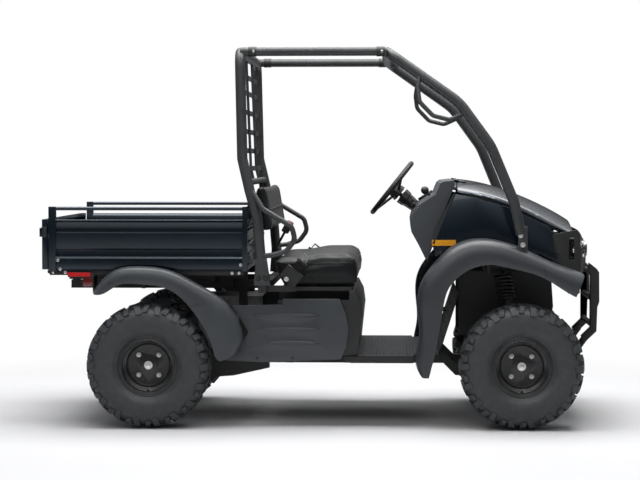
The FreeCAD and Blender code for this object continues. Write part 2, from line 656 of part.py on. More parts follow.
def bar(x_mid, y_mid, z_low, length, width, height):
    """Block centred in X and Y on a point, standing on z_low."""
    return box(x_mid - length / 2, x_mid + length / 2, y_mid - width / 2, y_mid + width / 2, z_low,
               z_low + height)


def rod(start, end, radius):
    direction = end.sub(start)
    return Part.makeCylinder(radius, direction.Length, start, direction)


def side_face(points):
    """Flat face in the XZ plane from (x, z) pairs."""
    corners = [Vector(x, 0, z) for x, z in points]
    return Part.Face(Part.makePolygon(corners + corners[:1]))


def side_prism(points, y0, y1):
    face = side_face(points)
    face.translate(Vector(0, y0, 0))
    return face.extrude(Vector(0, y1 - y0, 0))


def plan_prism(points, z0, z1):
    corners = [Vector(x, y, z0) for x, y in points]
    return Part.Face(Part.makePolygon(corners + corners[:1])).extrude(Vector(0, 0, z1 - z0))


def placed(shares, x0, z0, length, height):
    """Turn (x share, z share) pairs into an outline in a box of the given size."""
    return [(x0 + length * share_x, z0 + height * share_z) for share_x, share_z in shares]


def revolved(profile):
    """Turn a closed (radius, y) profile about the Y axis."""
    corners = [Vector(radius, y, 0) for radius, y in profile]
    face = Part.Face(Part.makePolygon(corners + corners[:1]))
    return face.revolve(Vector(0, 0, 0), Vector(0, 1, 0), 360)


def swept(points, radius, bend, corner_bends=None):
    """Round bar along a route whose corners are tangent arcs, all of one bend unless a list gives each."""
    edges = []
    last = points[0]
    bends = corner_bends or [bend] * (len(points) - 2)
    for before, corner, after, bend in zip(points, points[1:], points[2:], bends):
        back = before.sub(corner).normalize()
        ahead = after.sub(corner).normalize()
        half_turn = (math.pi - back.getAngle(ahead)) / 2
        room = min(before.distanceToPoint(corner), corner.distanceToPoint(after)) / CORNER_ROOM
        set_back = min(bend * math.tan(half_turn), room)
        start = corner.add(back * set_back)
        end = corner.add(ahead * set_back)
        reach = set_back / math.tan(half_turn)
        bisector = back.add(ahead).normalize()
        centre = corner.add(bisector * (set_back / math.sin(half_turn)))
        middle = centre.sub(bisector * reach)
        edges.append(Part.LineSegment(last, start).toShape())
        edges.append(Part.Arc(start, middle, end).toShape())
        last = end
    edges.append(Part.LineSegment(last, points[-1]).toShape())
    path = Part.Wire(edges)
    ring = Part.Wire(Part.makeCircle(radius, points[0], points[1].sub(points[0])))
    return path.makePipeShell([ring], True, False)


def lofted(sections):
    """Smooth solid through closed sections, with its skin facing outward."""
    solid = Part.makeLoft(sections, True, False)
    if solid.Volume < 0:
        solid.reverse()
    return solid


def route(table, side):
    """Points of a route given as (forward of the rear axle, half width, height)."""
    return [Vector(forward(x), side * y, z) for x, y, z in table]


def fused(shapes):
    if len(shapes) == 1:
        return shapes[0]
    return shapes[0].multiFuse(shapes[1:]).removeSplitter()


def both_sides(shape):
    return [shape, shape.mirror(Vector(0, 0, 0), Vector(0, 1, 0))]


def mirrored(shape):
    return shape.mirror(Vector(0, 0, 0), Vector(0, 1, 0))


def save(name, shapes):
    """Write one node from one or more solids."""
    solids = []
    for shape in shapes:
        solids.extend(shape.Solids)
    whole = solids[0] if len(solids) == 1 else Part.makeCompound(solids)
    whole.exportStep("parts/" + name + ".step")


# Wheels, modelled about the Y axis with the outer face towards +Y

def tyre_casing():
    outer = [
        (BEAD_RADIUS, BEAD_HALF_WIDTH), (FLANGE_RADIUS, BEAD_HALF_WIDTH),
        (SIDEWALL_FOOT_RADIUS, SIDEWALL_FOOT_HALF_WIDTH), (SIDEWALL_BULGE_RADIUS, TYRE_WIDTH / 2),
        (SHOULDER_RADIUS, SHOULDER_HALF_WIDTH), (TREAD_RADIUS, TREAD_HALF_WIDTH),
    ]
    inner = [
        (TREAD_RADIUS - CASING_THICKNESS, TREAD_HALF_WIDTH - CASING_THICKNESS / 2),
        (SHOULDER_RADIUS - CASING_THICKNESS, SHOULDER_HALF_WIDTH - CASING_THICKNESS),
        (SIDEWALL_BULGE_RADIUS, TYRE_WIDTH / 2 - CASING_THICKNESS),
        (SIDEWALL_FOOT_RADIUS, BEAD_HALF_WIDTH - CASING_THICKNESS / 2),
        (BEAD_RADIUS, BEAD_HALF_WIDTH - BEAD_THICKNESS),
    ]
    outside = outer + [(radius, -y) for radius, y in reversed(outer)]
    inside = [(radius, -y) for radius, y in reversed(inner)] + inner
    return revolved(outside + inside)


def tread_lug(profile, angle, turn):
    corners = [Vector(radius, y, 0) for radius, y in profile]
    face = Part.Face(Part.makePolygon(corners + corners[:1]))
    face.rotate(Vector(0, 0, 0), Vector(0, 1, 0), turn - angle / 2)
    return face.revolve(Vector(0, 0, 0), Vector(0, 1, 0), angle)


def tyre_lugs():
    root = TREAD_RADIUS - LUG_ROOT
    shoulder = [
        (root, SHOULDER_LUG_INNER_Y), (TYRE_RADIUS, SHOULDER_LUG_INNER_Y),
        (TYRE_RADIUS, SHOULDER_LUG_OUTER_Y), (TREAD_RADIUS, TYRE_WIDTH / 2 - LUG_ROOT / 2),
        (SHOULDER_RADIUS - LUG_ROOT, TYRE_WIDTH / 2 - LUG_ROOT / 2),
        (SHOULDER_RADIUS - LUG_ROOT, SHOULDER_HALF_WIDTH - LUG_ROOT / 2),
        (root, TREAD_HALF_WIDTH),
    ]
    low = CENTRE_LUG_OFFSET - CENTRE_LUG_WIDTH / 2
    high = CENTRE_LUG_OFFSET + CENTRE_LUG_WIDTH / 2
    centre = [(root, low), (TYRE_RADIUS, low), (TYRE_RADIUS, high), (root, high)]
    pitch = 360 / SHOULDER_LUG_COUNT
    lugs = []
    for index in range(SHOULDER_LUG_COUNT):
        turn = 90 + index * pitch
        lugs.append(tread_lug(shoulder, SHOULDER_LUG_ANGLE, turn))
        lugs.append(tread_lug([(r, -y) for r, y in reversed(shoulder)], SHOULDER_LUG_ANGLE, turn + pitch / 2))
        lugs.append(tread_lug(centre, CENTRE_LUG_ANGLE, turn + pitch / 2))
        lugs.append(tread_lug([(r, -y) for r, y in reversed(centre)], CENTRE_LUG_ANGLE, turn))
    return lugs


def tyre():
    return tyre_casing().multiFuse(tyre_lugs())


def rim():
    tip = BEAD_HALF_WIDTH + FLANGE_THICKNESS
    bed = [
        (FLANGE_RADIUS, tip), (FLANGE_RADIUS, BEAD_HALF_WIDTH), (BEAD_RADIUS, BEAD_HALF_WIDTH),
        (BEAD_RADIUS, DROP_HALF_WIDTH + DROP_SLOPE), (DROP_RADIUS, DROP_HALF_WIDTH),
    ]
    back = [
        (BEAD_RADIUS - RIM_WALL, -tip), (BEAD_RADIUS - RIM_WALL, -DROP_HALF_WIDTH - DROP_SLOPE),
        (DROP_RADIUS - RIM_WALL, -DROP_HALF_WIDTH + RIM_WALL),
    ]
    disc_back = DISH_FACE_Y - DISH_THICKNESS
    centre = [
        (DROP_RADIUS - RIM_WALL, disc_back + DISH_THICKNESS / 2), (DISH_RADIUS - RIM_WALL, disc_back),
        (DRUM_RADIUS, disc_back), (DRUM_RADIUS, DRUM_INNER_Y), (HUB_BORE_RADIUS, DRUM_INNER_Y),
        (HUB_BORE_RADIUS, HUB_BORE_END_Y), (0, HUB_BORE_END_Y), (0, DISH_FACE_Y + HUB_BOSS_HEIGHT),
        (HUB_BOSS_RADIUS, DISH_FACE_Y + HUB_BOSS_HEIGHT), (HUB_BOSS_RADIUS, DISH_FACE_Y),
        (DISH_RADIUS, DISH_FACE_Y), (DROP_RADIUS - RIM_WALL, DISH_FACE_Y + DISH_THICKNESS),
        (DROP_RADIUS - RIM_WALL, DROP_HALF_WIDTH), (BEAD_RADIUS - RIM_WALL, DROP_HALF_WIDTH + DROP_SLOPE),
        (BEAD_RADIUS - RIM_WALL, tip),
    ]
    mirrored_bed = [(radius, -y) for radius, y in reversed(bed)]
    return revolved(bed + mirrored_bed + back + centre)


def hex_nut(radius, height, x, y, z):
    corners = [
        Vector(x + radius * math.cos(2 * math.pi * side / NUT_SIDES), y,
               z + radius * math.sin(2 * math.pi * side / NUT_SIDES))
        for side in range(NUT_SIDES)
    ]
    return Part.Face(Part.makePolygon(corners + corners[:1])).extrude(Vector(0, height, 0))


def wheel_nuts():
    nuts = []
    for index in range(NUT_COUNT):
        angle = math.pi / NUT_COUNT + 2 * math.pi * index / NUT_COUNT
        x = NUT_CIRCLE_RADIUS * math.cos(angle)
        z = NUT_CIRCLE_RADIUS * math.sin(angle)
        nuts.append(hex_nut(NUT_RADIUS, NUT_HEIGHT, x, DISH_FACE_Y, z))
    nuts.append(hex_nut(CENTRE_NUT_RADIUS, CENTRE_NUT_HEIGHT, 0, DISH_FACE_Y + HUB_BOSS_HEIGHT, 0))
    return nuts


def at_axle(shapes, axle_x):
    moved = []
    for shape in shapes:
        copy = shape.copy()
        copy.translate(Vector(axle_x, WHEEL_Y, AXLE_Z))
        moved.append(copy)
    return moved


def write_wheels():
    tyre_solid = tyre()
    rim_solids = [rim()] + wheel_nuts()
    for name, axle_x in (("front", FRONT_X), ("rear", REAR_X)):
        left_tyre = at_axle([tyre_solid], axle_x)
        left_rim = at_axle(rim_solids, axle_x)
        save("tyre_" + name + "_left", left_tyre)
        save("rim_" + name + "_left", left_rim)
        save("tyre_" + name + "_right", [mirrored(shape) for shape in left_tyre])
        save("rim_" + name + "_right", [mirrored(shape) for shape in left_rim])


# Frame

def lower_rail():
    rear = forward(RAIL_REAR_FROM_REAR)
    step_start = forward(RAIL_STEP_START_FROM_REAR)
    step_end = forward(RAIL_STEP_END_FROM_REAR)
    front = forward(RAIL_FRONT_FROM_REAR)
    low_top = RAIL_TOP_Z - RAIL_STEP_DROP
    outline = [
        (rear, RAIL_TOP_Z), (step_start, RAIL_TOP_Z), (step_end, low_top), (front, low_top),
        (front, low_top - RAIL_HEIGHT), (step_end, low_top - RAIL_HEIGHT),
        (step_start, RAIL_TOP_Z - RAIL_HEIGHT), (rear, RAIL_TOP_Z - RAIL_HEIGHT),
    ]
    return side_prism(outline, RAIL_Y - RAIL_WIDTH / 2, RAIL_Y + RAIL_WIDTH / 2)


def floor_crosses():
    crosses = []
    for place in FLOOR_CROSS_FROM_REAR:
        half = INNER_CROSS_HALF_LENGTH if place > SILL_FRONT_FROM_REAR else SILL_Y
        crosses.append(bar(forward(place), 0, RAIL_TOP_Z - CROSS_HEIGHT, CROSS_WIDTH, 2 * half, CROSS_HEIGHT))
    return crosses


def sill():
    length = SILL_FRONT_FROM_REAR - SILL_REAR_FROM_REAR
    middle = forward((SILL_FRONT_FROM_REAR + SILL_REAR_FROM_REAR) / 2)
    return bar(middle, SILL_Y, RAIL_TOP_Z - SILL_HEIGHT, length, SILL_WIDTH, SILL_HEIGHT)


def upper_rail():
    length = UPPER_RAIL_FRONT_FROM_REAR - UPPER_RAIL_REAR_FROM_REAR
    middle = forward((UPPER_RAIL_FRONT_FROM_REAR + UPPER_RAIL_REAR_FROM_REAR) / 2)
    low = UPPER_RAIL_TOP_Z - UPPER_RAIL_HEIGHT
    beam = bar(middle, UPPER_RAIL_Y, low, length, UPPER_RAIL_WIDTH, UPPER_RAIL_HEIGHT)
    upright = bar(forward(UPRIGHT_FROM_REAR), UPPER_RAIL_Y, RAIL_TOP_Z - RAIL_HEIGHT, UPPER_RAIL_WIDTH,
                  UPPER_RAIL_WIDTH, low - RAIL_TOP_Z + RAIL_HEIGHT)
    pad = bar(forward(BED_PAD_FROM_REAR), BED_RAIL_Y, low, BED_PAD_LENGTH, BED_RAIL_WIDTH,
              BED_RAIL_BOTTOM_Z - REST_GAP - low)
    return [beam, upright, pad]


def bed_hinge_lug():
    """Ear and pin that carry the bed's tilt hinge."""
    x = forward(BED_PIVOT_FROM_REAR)
    ear = rod(Vector(x, UPPER_RAIL_Y - UPPER_RAIL_WIDTH / 2, BED_PIVOT_Z),
              Vector(x, UPPER_RAIL_Y + UPPER_RAIL_WIDTH / 2, BED_PIVOT_Z), BED_LUG_RADIUS)
    foot = bar(x, UPPER_RAIL_Y, UPPER_RAIL_TOP_Z, 2 * BED_LUG_RADIUS, UPPER_RAIL_WIDTH,
               BED_PIVOT_Z - UPPER_RAIL_TOP_Z)
    pin = rod(Vector(x, UPPER_RAIL_Y, BED_PIVOT_Z),
              Vector(x, BED_RAIL_Y + BED_RAIL_WIDTH / 2 + BED_PIN_RADIUS, BED_PIVOT_Z), BED_PIN_RADIUS)
    return [ear, foot, pin]


def rear_crosses():
    low = UPPER_RAIL_TOP_Z - UPPER_RAIL_HEIGHT
    height = UPPER_RAIL_HEIGHT - BED_PAD_HEIGHT
    hoop = bar(forward(HOOP_CROSS_FROM_REAR), 0, low, CROSS_WIDTH, 2 * HOOP_CROSS_HALF_LENGTH,
               REAR_FOOT_BOTTOM_Z - low)
    lamp = bar(forward(LAMP_CROSS_FROM_REAR), 0, low, CROSS_WIDTH, 2 * LAMP_CROSS_HALF_LENGTH, height)
    pad = bar(forward(BED_PAD_FROM_REAR), 0, low, CROSS_WIDTH, 2 * BED_RAIL_Y, height)
    foot = bar(forward(UPRIGHT_FROM_REAR), 0, RAIL_TOP_Z - RAIL_HEIGHT, CROSS_WIDTH, 2 * RAIL_Y, CROSS_HEIGHT)
    return [hoop, lamp, pad, foot]


def front_tower():
    low = RAIL_TOP_Z - RAIL_STEP_DROP - RAIL_HEIGHT
    height = TOWER_TOP_Z - low
    rear = bar(forward(TOWER_REAR_FROM_REAR), RAIL_Y, low, TOWER_POST_LENGTH, TOWER_POST_LENGTH, height)
    front = bar(forward(TOWER_FRONT_FROM_REAR), RAIL_Y, low, TOWER_POST_LENGTH, TOWER_POST_LENGTH, height)
    reach = TOWER_FRONT_FROM_REAR - TOWER_REAR_FROM_REAR
    middle = forward((TOWER_FRONT_FROM_REAR + TOWER_REAR_FROM_REAR) / 2)
    top = bar(middle, RAIL_Y, TOWER_TOP_Z - TOWER_POST_LENGTH, reach, TOWER_POST_LENGTH, TOWER_POST_LENGTH)
    plate = box(forward(STRUT_TOP_FROM_REAR) - TOWER_PLATE_LENGTH / 2,
                forward(STRUT_TOP_FROM_REAR) + TOWER_PLATE_LENGTH / 2,
                RAIL_Y, STRUT_TOP_Y + SPRING_SEAT_RADIUS, TOWER_TOP_Z - TOWER_PLATE_THICKNESS, TOWER_TOP_Z)
    hole = rod(kingpin_point(SPRING_TOP_Z), kingpin_point(TOWER_TOP_Z + OVERRUN),
               STRUT_ROD_RADIUS + PIN_CLEARANCE)
    return [rear, front, top, plate.cut(hole)]


def front_hoop_arm(panel):
    """Arm from the tower out to the pad under the front hoop's foot, fitted under the fender's skin."""
    x = forward(HOOP_ARM_FROM_REAR)
    y = FRONT_HOOP_ROUTE_FROM_REAR[0][1]
    arm = rod(Vector(x, RAIL_Y, TOWER_TOP_Z - TOWER_POST_LENGTH / 2),
              Vector(x, y, HOOP_ARM_PAD_Z - HOOP_ARM_PAD_THICKNESS - HOOP_ARM_RADIUS), HOOP_ARM_RADIUS)
    post = rod(Vector(x, y, HOOP_ARM_PAD_Z - HOOP_ARM_PAD_THICKNESS - 2 * HOOP_ARM_RADIUS),
               Vector(x, y, HOOP_ARM_PAD_Z - HOOP_ARM_PAD_THICKNESS), HOOP_ARM_RADIUS)
    pad = bar(x, y, HOOP_ARM_PAD_Z - HOOP_ARM_PAD_THICKNESS, HOOP_ARM_PAD_LENGTH, HOOP_ARM_PAD_WIDTH,
              HOOP_ARM_PAD_THICKNESS)
    return [largest(fused([arm, post, pad]).cut(panel))]


def front_crosses():
    low = RAIL_TOP_Z - RAIL_STEP_DROP - RAIL_HEIGHT
    high = TOWER_TOP_Z - TOWER_POST_LENGTH
    foot = bar(forward(RAIL_FRONT_FROM_REAR) - CROSS_WIDTH / 2, 0, low, CROSS_WIDTH, 2 * RAIL_Y, CROSS_HEIGHT)
    front = bar(forward(TOWER_FRONT_FROM_REAR), 0, high, TOWER_POST_LENGTH, 2 * RAIL_Y, TOWER_POST_LENGTH)
    rear = bar(forward(TOWER_REAR_FROM_REAR), 0, high, TOWER_POST_LENGTH, 2 * RAIL_Y, TOWER_POST_LENGTH)
    return [foot, front, rear]


def arm_pivots():
    """Ears on the rail, one at each end of each bush of the lower arm."""
    ears = []
    pivot_y = RAIL_Y + RAIL_WIDTH / 2 + ARM_BUSH_RADIUS
    for side in (-1, 1):
        for end in (-1, 1):
            x = forward(BALL_FROM_REAR) + side * ARM_HALF_SPREAD
            x += end * (ARM_BUSH_LENGTH + ARM_EAR_THICKNESS) / 2
            ears.append(bar(x, (RAIL_Y + pivot_y) / 2, ARM_PIVOT_Z, ARM_EAR_THICKNESS,
                            pivot_y - RAIL_Y, ARM_BUSH_RADIUS))
    return ears


def fender_bracket(place, z, start_y, panel):
    """Arm from the frame out to the inner edge of a fender, fitted under its skin."""
    half = FENDER_BRACKET_WIDTH / 2
    x = forward(place)
    tip_y = FENDER_INNER_Y + FENDER_BRACKET_LUG
    arm = box(x - half, x + half, start_y, tip_y, z, z + FENDER_BRACKET_WIDTH)
    arm = largest(arm.cut(panel))
    lug = box(x - half, x + half, FENDER_INNER_Y, tip_y, z, panel.BoundBox.ZMax + OVERRUN)
    below = min(lug.cut(panel).Solids, key=lambda solid: solid.CenterOfMass.z)
    return [arm, below]


def cowl_brace(panel):
    start = Vector(forward(COWL_BRACE_FROM_REAR), RAIL_Y, TOWER_TOP_Z - TOWER_POST_LENGTH / 2)
    end = Vector(start.x, COWL_OUTER_Y + COWL_WALL, COWL_BRACE_Z)
    return min(rod(start, end, COWL_BRACE_RADIUS).cut(panel).Solids, key=lambda solid: solid.CenterOfMass.y)


def nose_brace(nose):
    low = TOWER_TOP_Z - TOWER_POST_LENGTH
    brace = box(forward(TOWER_FRONT_FROM_REAR), NOSE_X, NOSE_BRACE_Y - NOSE_BRACE_WIDTH / 2,
                NOSE_BRACE_Y + NOSE_BRACE_WIDTH / 2, low, low + NOSE_BRACE_WIDTH)
    return min(brace.cut(nose).Solids, key=lambda solid: solid.CenterOfMass.x)


def dash_brace():
    """Upright from the rail to the cross tube that holds the dash's side walls."""
    points = [Vector(forward(x), DASH_BRACE_Y, z) for x, z in DASH_BRACE_ROUTE_FROM_REAR]
    foot = bar(points[0].x, DASH_BRACE_Y + (RAIL_Y - DASH_BRACE_Y) / 2, points[0].z - CROSS_HEIGHT,
               CROSS_WIDTH, RAIL_Y - DASH_BRACE_Y + CROSS_WIDTH, CROSS_HEIGHT)
    return [swept(points, DASH_BRACE_RADIUS, DASH_BRACE_BEND), foot]


def dash_cross():
    x, z = DASH_BRACE_ROUTE_FROM_REAR[-1]
    half = DASH_HALF_WIDTH - DASH_WALL
    return rod(Vector(forward(x), -half, z), Vector(forward(x), half, z), DASH_BRACE_RADIUS)


def hood_hinge_place():
    return Vector(forward(HOOD_FROM_REAR) + HOOD_LENGTH + HOOD_HINGE_AHEAD, HOOD_HINGE_Y, HOOD_HINGE_Z)


def hood_arm_y():
    return HOOD_HINGE_Y - HOOD_BARREL_LENGTH / 2 - HOOD_ARM_RADIUS - REST_GAP


def hood_arm(side, radius):
    place = hood_hinge_place()
    y = side * hood_arm_y()
    start = Vector(forward(TOWER_FRONT_FROM_REAR), y, TOWER_TOP_Z - HOOD_ARM_RADIUS)
    return rod(start, Vector(place.x, y, place.z), radius)


def hood_hinge_arm():
    """Arm and pin ahead of the front tower that carry the hood."""
    place = hood_hinge_place()
    side_y = hood_arm_y()
    arm = hood_arm(1, HOOD_ARM_RADIUS)
    eye = rod(Vector(place.x, side_y - HOOD_ARM_RADIUS, place.z),
              Vector(place.x, side_y + HOOD_ARM_RADIUS, place.z),
              HOOD_BARREL_RADIUS)
    pin = rod(Vector(place.x, side_y, place.z),
              Vector(place.x, HOOD_HINGE_Y + HOOD_BARREL_LENGTH / 2, place.z),
              HOOD_PIN_RADIUS)
    return [arm, eye, pin]


def on_both_sides(shapes):
    both = []
    for shape in shapes:
        both.extend(both_sides(shape))
    return both


def main_frame():
    """Lower ladder frame with its sills and the ears of the front arms."""
    one_side = [lower_rail(), sill()] + arm_pivots()
    return fused(on_both_sides(one_side) + floor_crosses())


def rear_subframe(rear_panel, below):
    """Upper rails that carry the bed, with their uprights, cross members and hinge lugs."""
    one_side = upper_rail() + bed_hinge_lug()
    one_side += fender_bracket(REAR_BRACKET_FROM_REAR, REAR_BRACKET_Z, UPPER_RAIL_Y, rear_panel)
    return fused(on_both_sides(one_side) + rear_crosses()).cut(below)


def front_subframe(front_panel, cowl, nose, below):
    """Towers over the front suspension with the arms that carry hoop, hood and body panels."""
    one_side = front_tower() + front_hoop_arm(front_panel) + hood_hinge_arm() + [cowl_brace(cowl),
                                                                                 nose_brace(nose)]
    one_side += fender_bracket(FRONT_BRACKET_FROM_REAR, FRONT_BRACKET_Z, RAIL_Y, front_panel)
    return fused(on_both_sides(one_side) + front_crosses()).cut(below)


def dash_frame(below):
    return fused(on_both_sides(dash_brace()) + [dash_cross()]).cut(below)


def radiator():
    """Cooler between the posts of the front tower."""
    half = RAIL_Y - TOWER_POST_LENGTH / 2
    x = forward(TOWER_FRONT_FROM_REAR)
    return box(x - RADIATOR_LENGTH / 2, x + RADIATOR_LENGTH / 2, -half, half, RADIATOR_BOTTOM_Z,
               RADIATOR_TOP_Z)


def inner_panel(tower):
    """Flat panel on the outside of the front tower that closes the arch from the middle of the vehicle."""
    outline = placed(INNER_PANEL_SHARES, forward(INNER_PANEL_FROM_REAR), INNER_PANEL_BOTTOM_Z,
                     INNER_PANEL_LENGTH,
                     INNER_PANEL_HEIGHT)
    low = RAIL_Y + TOWER_POST_LENGTH / 2
    return largest(side_prism(outline, low, low + INNER_PANEL_THICKNESS).cut(tower))


# Front suspension and steering

def kingpin_point(z):
    """Point of the steering axis at a height."""
    share = (z - BALL_Z) / (STRUT_TOP_Z - BALL_Z)
    return Vector(forward(BALL_FROM_REAR + (STRUT_TOP_FROM_REAR - BALL_FROM_REAR) * share),
                  BALL_Y + (STRUT_TOP_Y - BALL_Y) * share, z)


def steer_eye():
    return Vector(FRONT_X + RACK_FROM_FRONT, kingpin_point(AXLE_Z).y - BALL_HOUSING_RADIUS, STEER_ARM_TOP_Z)


def knuckle():
    half = KNUCKLE_THICKNESS / 2
    axis = kingpin_point(AXLE_Z)
    ball = rod(kingpin_point(BALL_Z + BALL_HOUSING_FOOT_SHARE * BALL_HOUSING_HEIGHT),
               kingpin_point(BALL_Z + 2 * BALL_HOUSING_HEIGHT),
               BALL_HOUSING_RADIUS)
    stud_room = rod(kingpin_point(BALL_Z), kingpin_point(BALL_Z + BALL_STUD_ROOM_SHARE * BALL_HOUSING_HEIGHT),
                    BALL_STUD_RADIUS + PIN_CLEARANCE)
    clamp = rod(kingpin_point(STRUT_CLAMP_FOOT_Z), kingpin_point(STRUT_CLAMP_FOOT_Z + STRUT_CLAMP_HEIGHT),
                STRUT_CLAMP_RADIUS)
    bore = rod(kingpin_point(STRUT_CLAMP_FOOT_Z + STRUT_BODY_RADIUS), kingpin_point(STRUT_BODY_TOP_Z),
               STRUT_BODY_RADIUS)
    low = kingpin_point(BALL_Z + UPRIGHT_FOOT_SHARE * BALL_HOUSING_HEIGHT)
    high = kingpin_point(STRUT_CLAMP_FOOT_Z + STRUT_BODY_RADIUS)
    upright_outline = [
        (low.y - half / 2, low.z), (low.y + half / 2, low.z), (axis.y + half, AXLE_Z),
        (high.y + half, high.z), (high.y - half / 2, high.z), (axis.y - half * UPRIGHT_NECK_SHARE, AXLE_Z),
    ]
    corners = [Vector(FRONT_X - half, y, z) for y, z in upright_outline]
    upright = Part.Face(Part.makePolygon(corners + corners[:1])).extrude(Vector(KNUCKLE_THICKNESS, 0, 0))
    plate_y = WHEEL_Y + DRUM_INNER_Y - BACKING_GAP - BACKING_THICKNESS
    root = rod(Vector(FRONT_X, axis.y, AXLE_Z), Vector(FRONT_X, plate_y, AXLE_Z), SPINDLE_ROOT_RADIUS)
    plate = rod(Vector(FRONT_X, plate_y, AXLE_Z), Vector(FRONT_X, plate_y + BACKING_THICKNESS, AXLE_Z),
                BACKING_RADIUS)
    spindle = rod(Vector(FRONT_X, plate_y, AXLE_Z), Vector(FRONT_X, WHEEL_Y + SPINDLE_END_Y, AXLE_Z),
                  SPINDLE_RADIUS)
    eye = steer_eye()
    top = STEER_ARM_TOP_Z
    arm = plan_prism([(eye.x, eye.y - STEER_EYE_RADIUS), (FRONT_X, axis.y - half * UPRIGHT_NECK_SHARE),
                      (FRONT_X, axis.y + half / 2), (eye.x, eye.y + STEER_EYE_RADIUS)],
                     top - STEER_ARM_THICKNESS, top)
    boss = rod(Vector(eye.x, eye.y, top - STEER_ARM_THICKNESS), Vector(eye.x, eye.y, top), STEER_EYE_RADIUS)
    return fused([ball, clamp, upright, root, plate, spindle, arm, boss]).cut(bore).cut(stud_room)


def strut():
    """Damper body with its spring seat and rod, turning with the knuckle."""
    foot = kingpin_point(STRUT_CLAMP_FOOT_Z + STRUT_BODY_RADIUS)
    body = rod(foot, kingpin_point(STRUT_BODY_TOP_Z), STRUT_BODY_RADIUS)
    seat = rod(kingpin_point(SPRING_SEAT_Z - SPRING_SEAT_THICKNESS), kingpin_point(SPRING_SEAT_Z),
               SPRING_SEAT_RADIUS)
    shaft = rod(kingpin_point(STRUT_BODY_TOP_Z - OVERRUN), kingpin_point(TOWER_TOP_Z + STRUT_ROD_RADIUS),
                STRUT_ROD_RADIUS)
    cap = rod(kingpin_point(SPRING_TOP_Z), kingpin_point(SPRING_TOP_Z + SPRING_SEAT_THICKNESS),
              SPRING_SEAT_RADIUS)
    return fused([body, seat, shaft, cap])


def strut_spring():
    return coil(kingpin_point(SPRING_SEAT_Z + SPRING_WIRE_RADIUS),
                kingpin_point(SPRING_TOP_Z - SPRING_WIRE_RADIUS),
                SPRING_RADIUS, SPRING_WIRE_RADIUS, SPRING_TURNS)


def coil(start, end, radius, wire_radius, turns):
    """Coil spring between two points, as one swept helix."""
    direction = end.sub(start)
    length = direction.Length
    helix = Part.makeHelix(length / turns, length, radius)
    ring = Part.Wire(Part.makeCircle(wire_radius, Vector(radius, 0, 0), Vector(0, 1, 0)))
    spring = Part.Wire(helix).makePipeShell([ring], True, True)
    spring.Placement = FreeCAD.Placement(start, FreeCAD.Rotation(Vector(0, 0, 1), direction))
    return spring


def rack_x():
    return FRONT_X + RACK_FROM_FRONT


def tie_rods():
    """Rack bar with its two tie rods, sliding across the vehicle."""
    x = rack_x()
    reach = steer_eye().y - STEER_EYE_RADIUS - TIE_ROD_GAP
    rack = rod(Vector(x, -reach, RACK_Z), Vector(x, reach, RACK_Z), RACK_BAR_RADIUS)
    ends = []
    for side in (-1, 1):
        ends.append(rod(Vector(x, side * (reach - TIE_ROD_END_LENGTH), RACK_Z),
                        Vector(x, side * reach, RACK_Z),
                        TIE_ROD_END_RADIUS))
    return fused([rack] + ends)


def steering_axis_point(distance):
    """Point on the column's axis, counted down from the steering wheel's centre."""
    angle = math.radians(90 - STEERING_PLANE_ANGLE)
    return Vector(forward(STEERING_CENTRE_FROM_REAR) + distance * math.cos(angle), STEERING_Y,
                  STEERING_CENTRE_Z - distance * math.sin(angle))


def column_end():
    return COLUMN_START + COLUMN_LENGTH


def steering_wheel():
    centre = steering_axis_point(0)
    axis = steering_axis_point(1).sub(centre)
    grip = Part.makeTorus(STEERING_RIM_RADIUS, STEERING_GRIP_RADIUS, centre, axis)
    hub_top = steering_axis_point(STEERING_HUB_DROP)
    hub_end = steering_axis_point(STEERING_HUB_DROP + STEERING_HUB_HEIGHT)
    hub = rod(hub_top, hub_end, STEERING_HUB_RADIUS)
    shaft = rod(hub_top, steering_axis_point(column_end() + JOINT_YOKE_LENGTH), STEERING_SHAFT_RADIUS)
    yoke = rod(steering_axis_point(column_end() + MOVING_GAP),
               steering_axis_point(column_end() + JOINT_YOKE_LENGTH), JOINT_YOKE_RADIUS)
    pieces = [grip, hub, shaft, yoke]
    across = axis.cross(Vector(0, 1, 0))
    for index in range(STEERING_SPOKE_COUNT):
        angle = math.radians(360 * index / STEERING_SPOKE_COUNT - 90)
        ray = Vector(0, 1, 0) * math.cos(angle) + across * math.sin(angle)
        inner = steering_axis_point(STEERING_HUB_DROP + STEERING_HUB_HEIGHT / 2)
        pieces.append(rod(inner, centre.add(ray * STEERING_RIM_RADIUS), STEERING_SPOKE_RADIUS))
    return fused(pieces)


def pinion_base():
    return Vector(rack_x(), PINION_Y, RACK_Z)


def lower_shaft_ends():
    """Centres of the two joint balls of the lower steering shaft."""
    top = steering_axis_point(column_end() + JOINT_YOKE_LENGTH + JOINT_BALL_RADIUS + REST_GAP)
    foot = pinion_base().add(Vector(0, 0, PINION_TOWER_HEIGHT + JOINT_BALL_RADIUS + REST_GAP))
    return top, foot


def lower_shaft():
    top, foot = lower_shaft_ends()
    along = foot.sub(top).normalize()
    reach = JOINT_BALL_RADIUS * 2
    pieces = [rod(top, foot, LOWER_SHAFT_RADIUS)]
    pieces.append(Part.makeSphere(JOINT_BALL_RADIUS, top))
    pieces.append(Part.makeSphere(JOINT_BALL_RADIUS, foot))
    pieces.append(rod(top.add(along * reach), top.add(along * (reach + JOINT_YOKE_LENGTH)),
                      JOINT_YOKE_RADIUS))
    pieces.append(rod(foot.sub(along * (reach + JOINT_YOKE_LENGTH)), foot.sub(along * reach),
                      JOINT_YOKE_RADIUS))
    return fused(pieces)


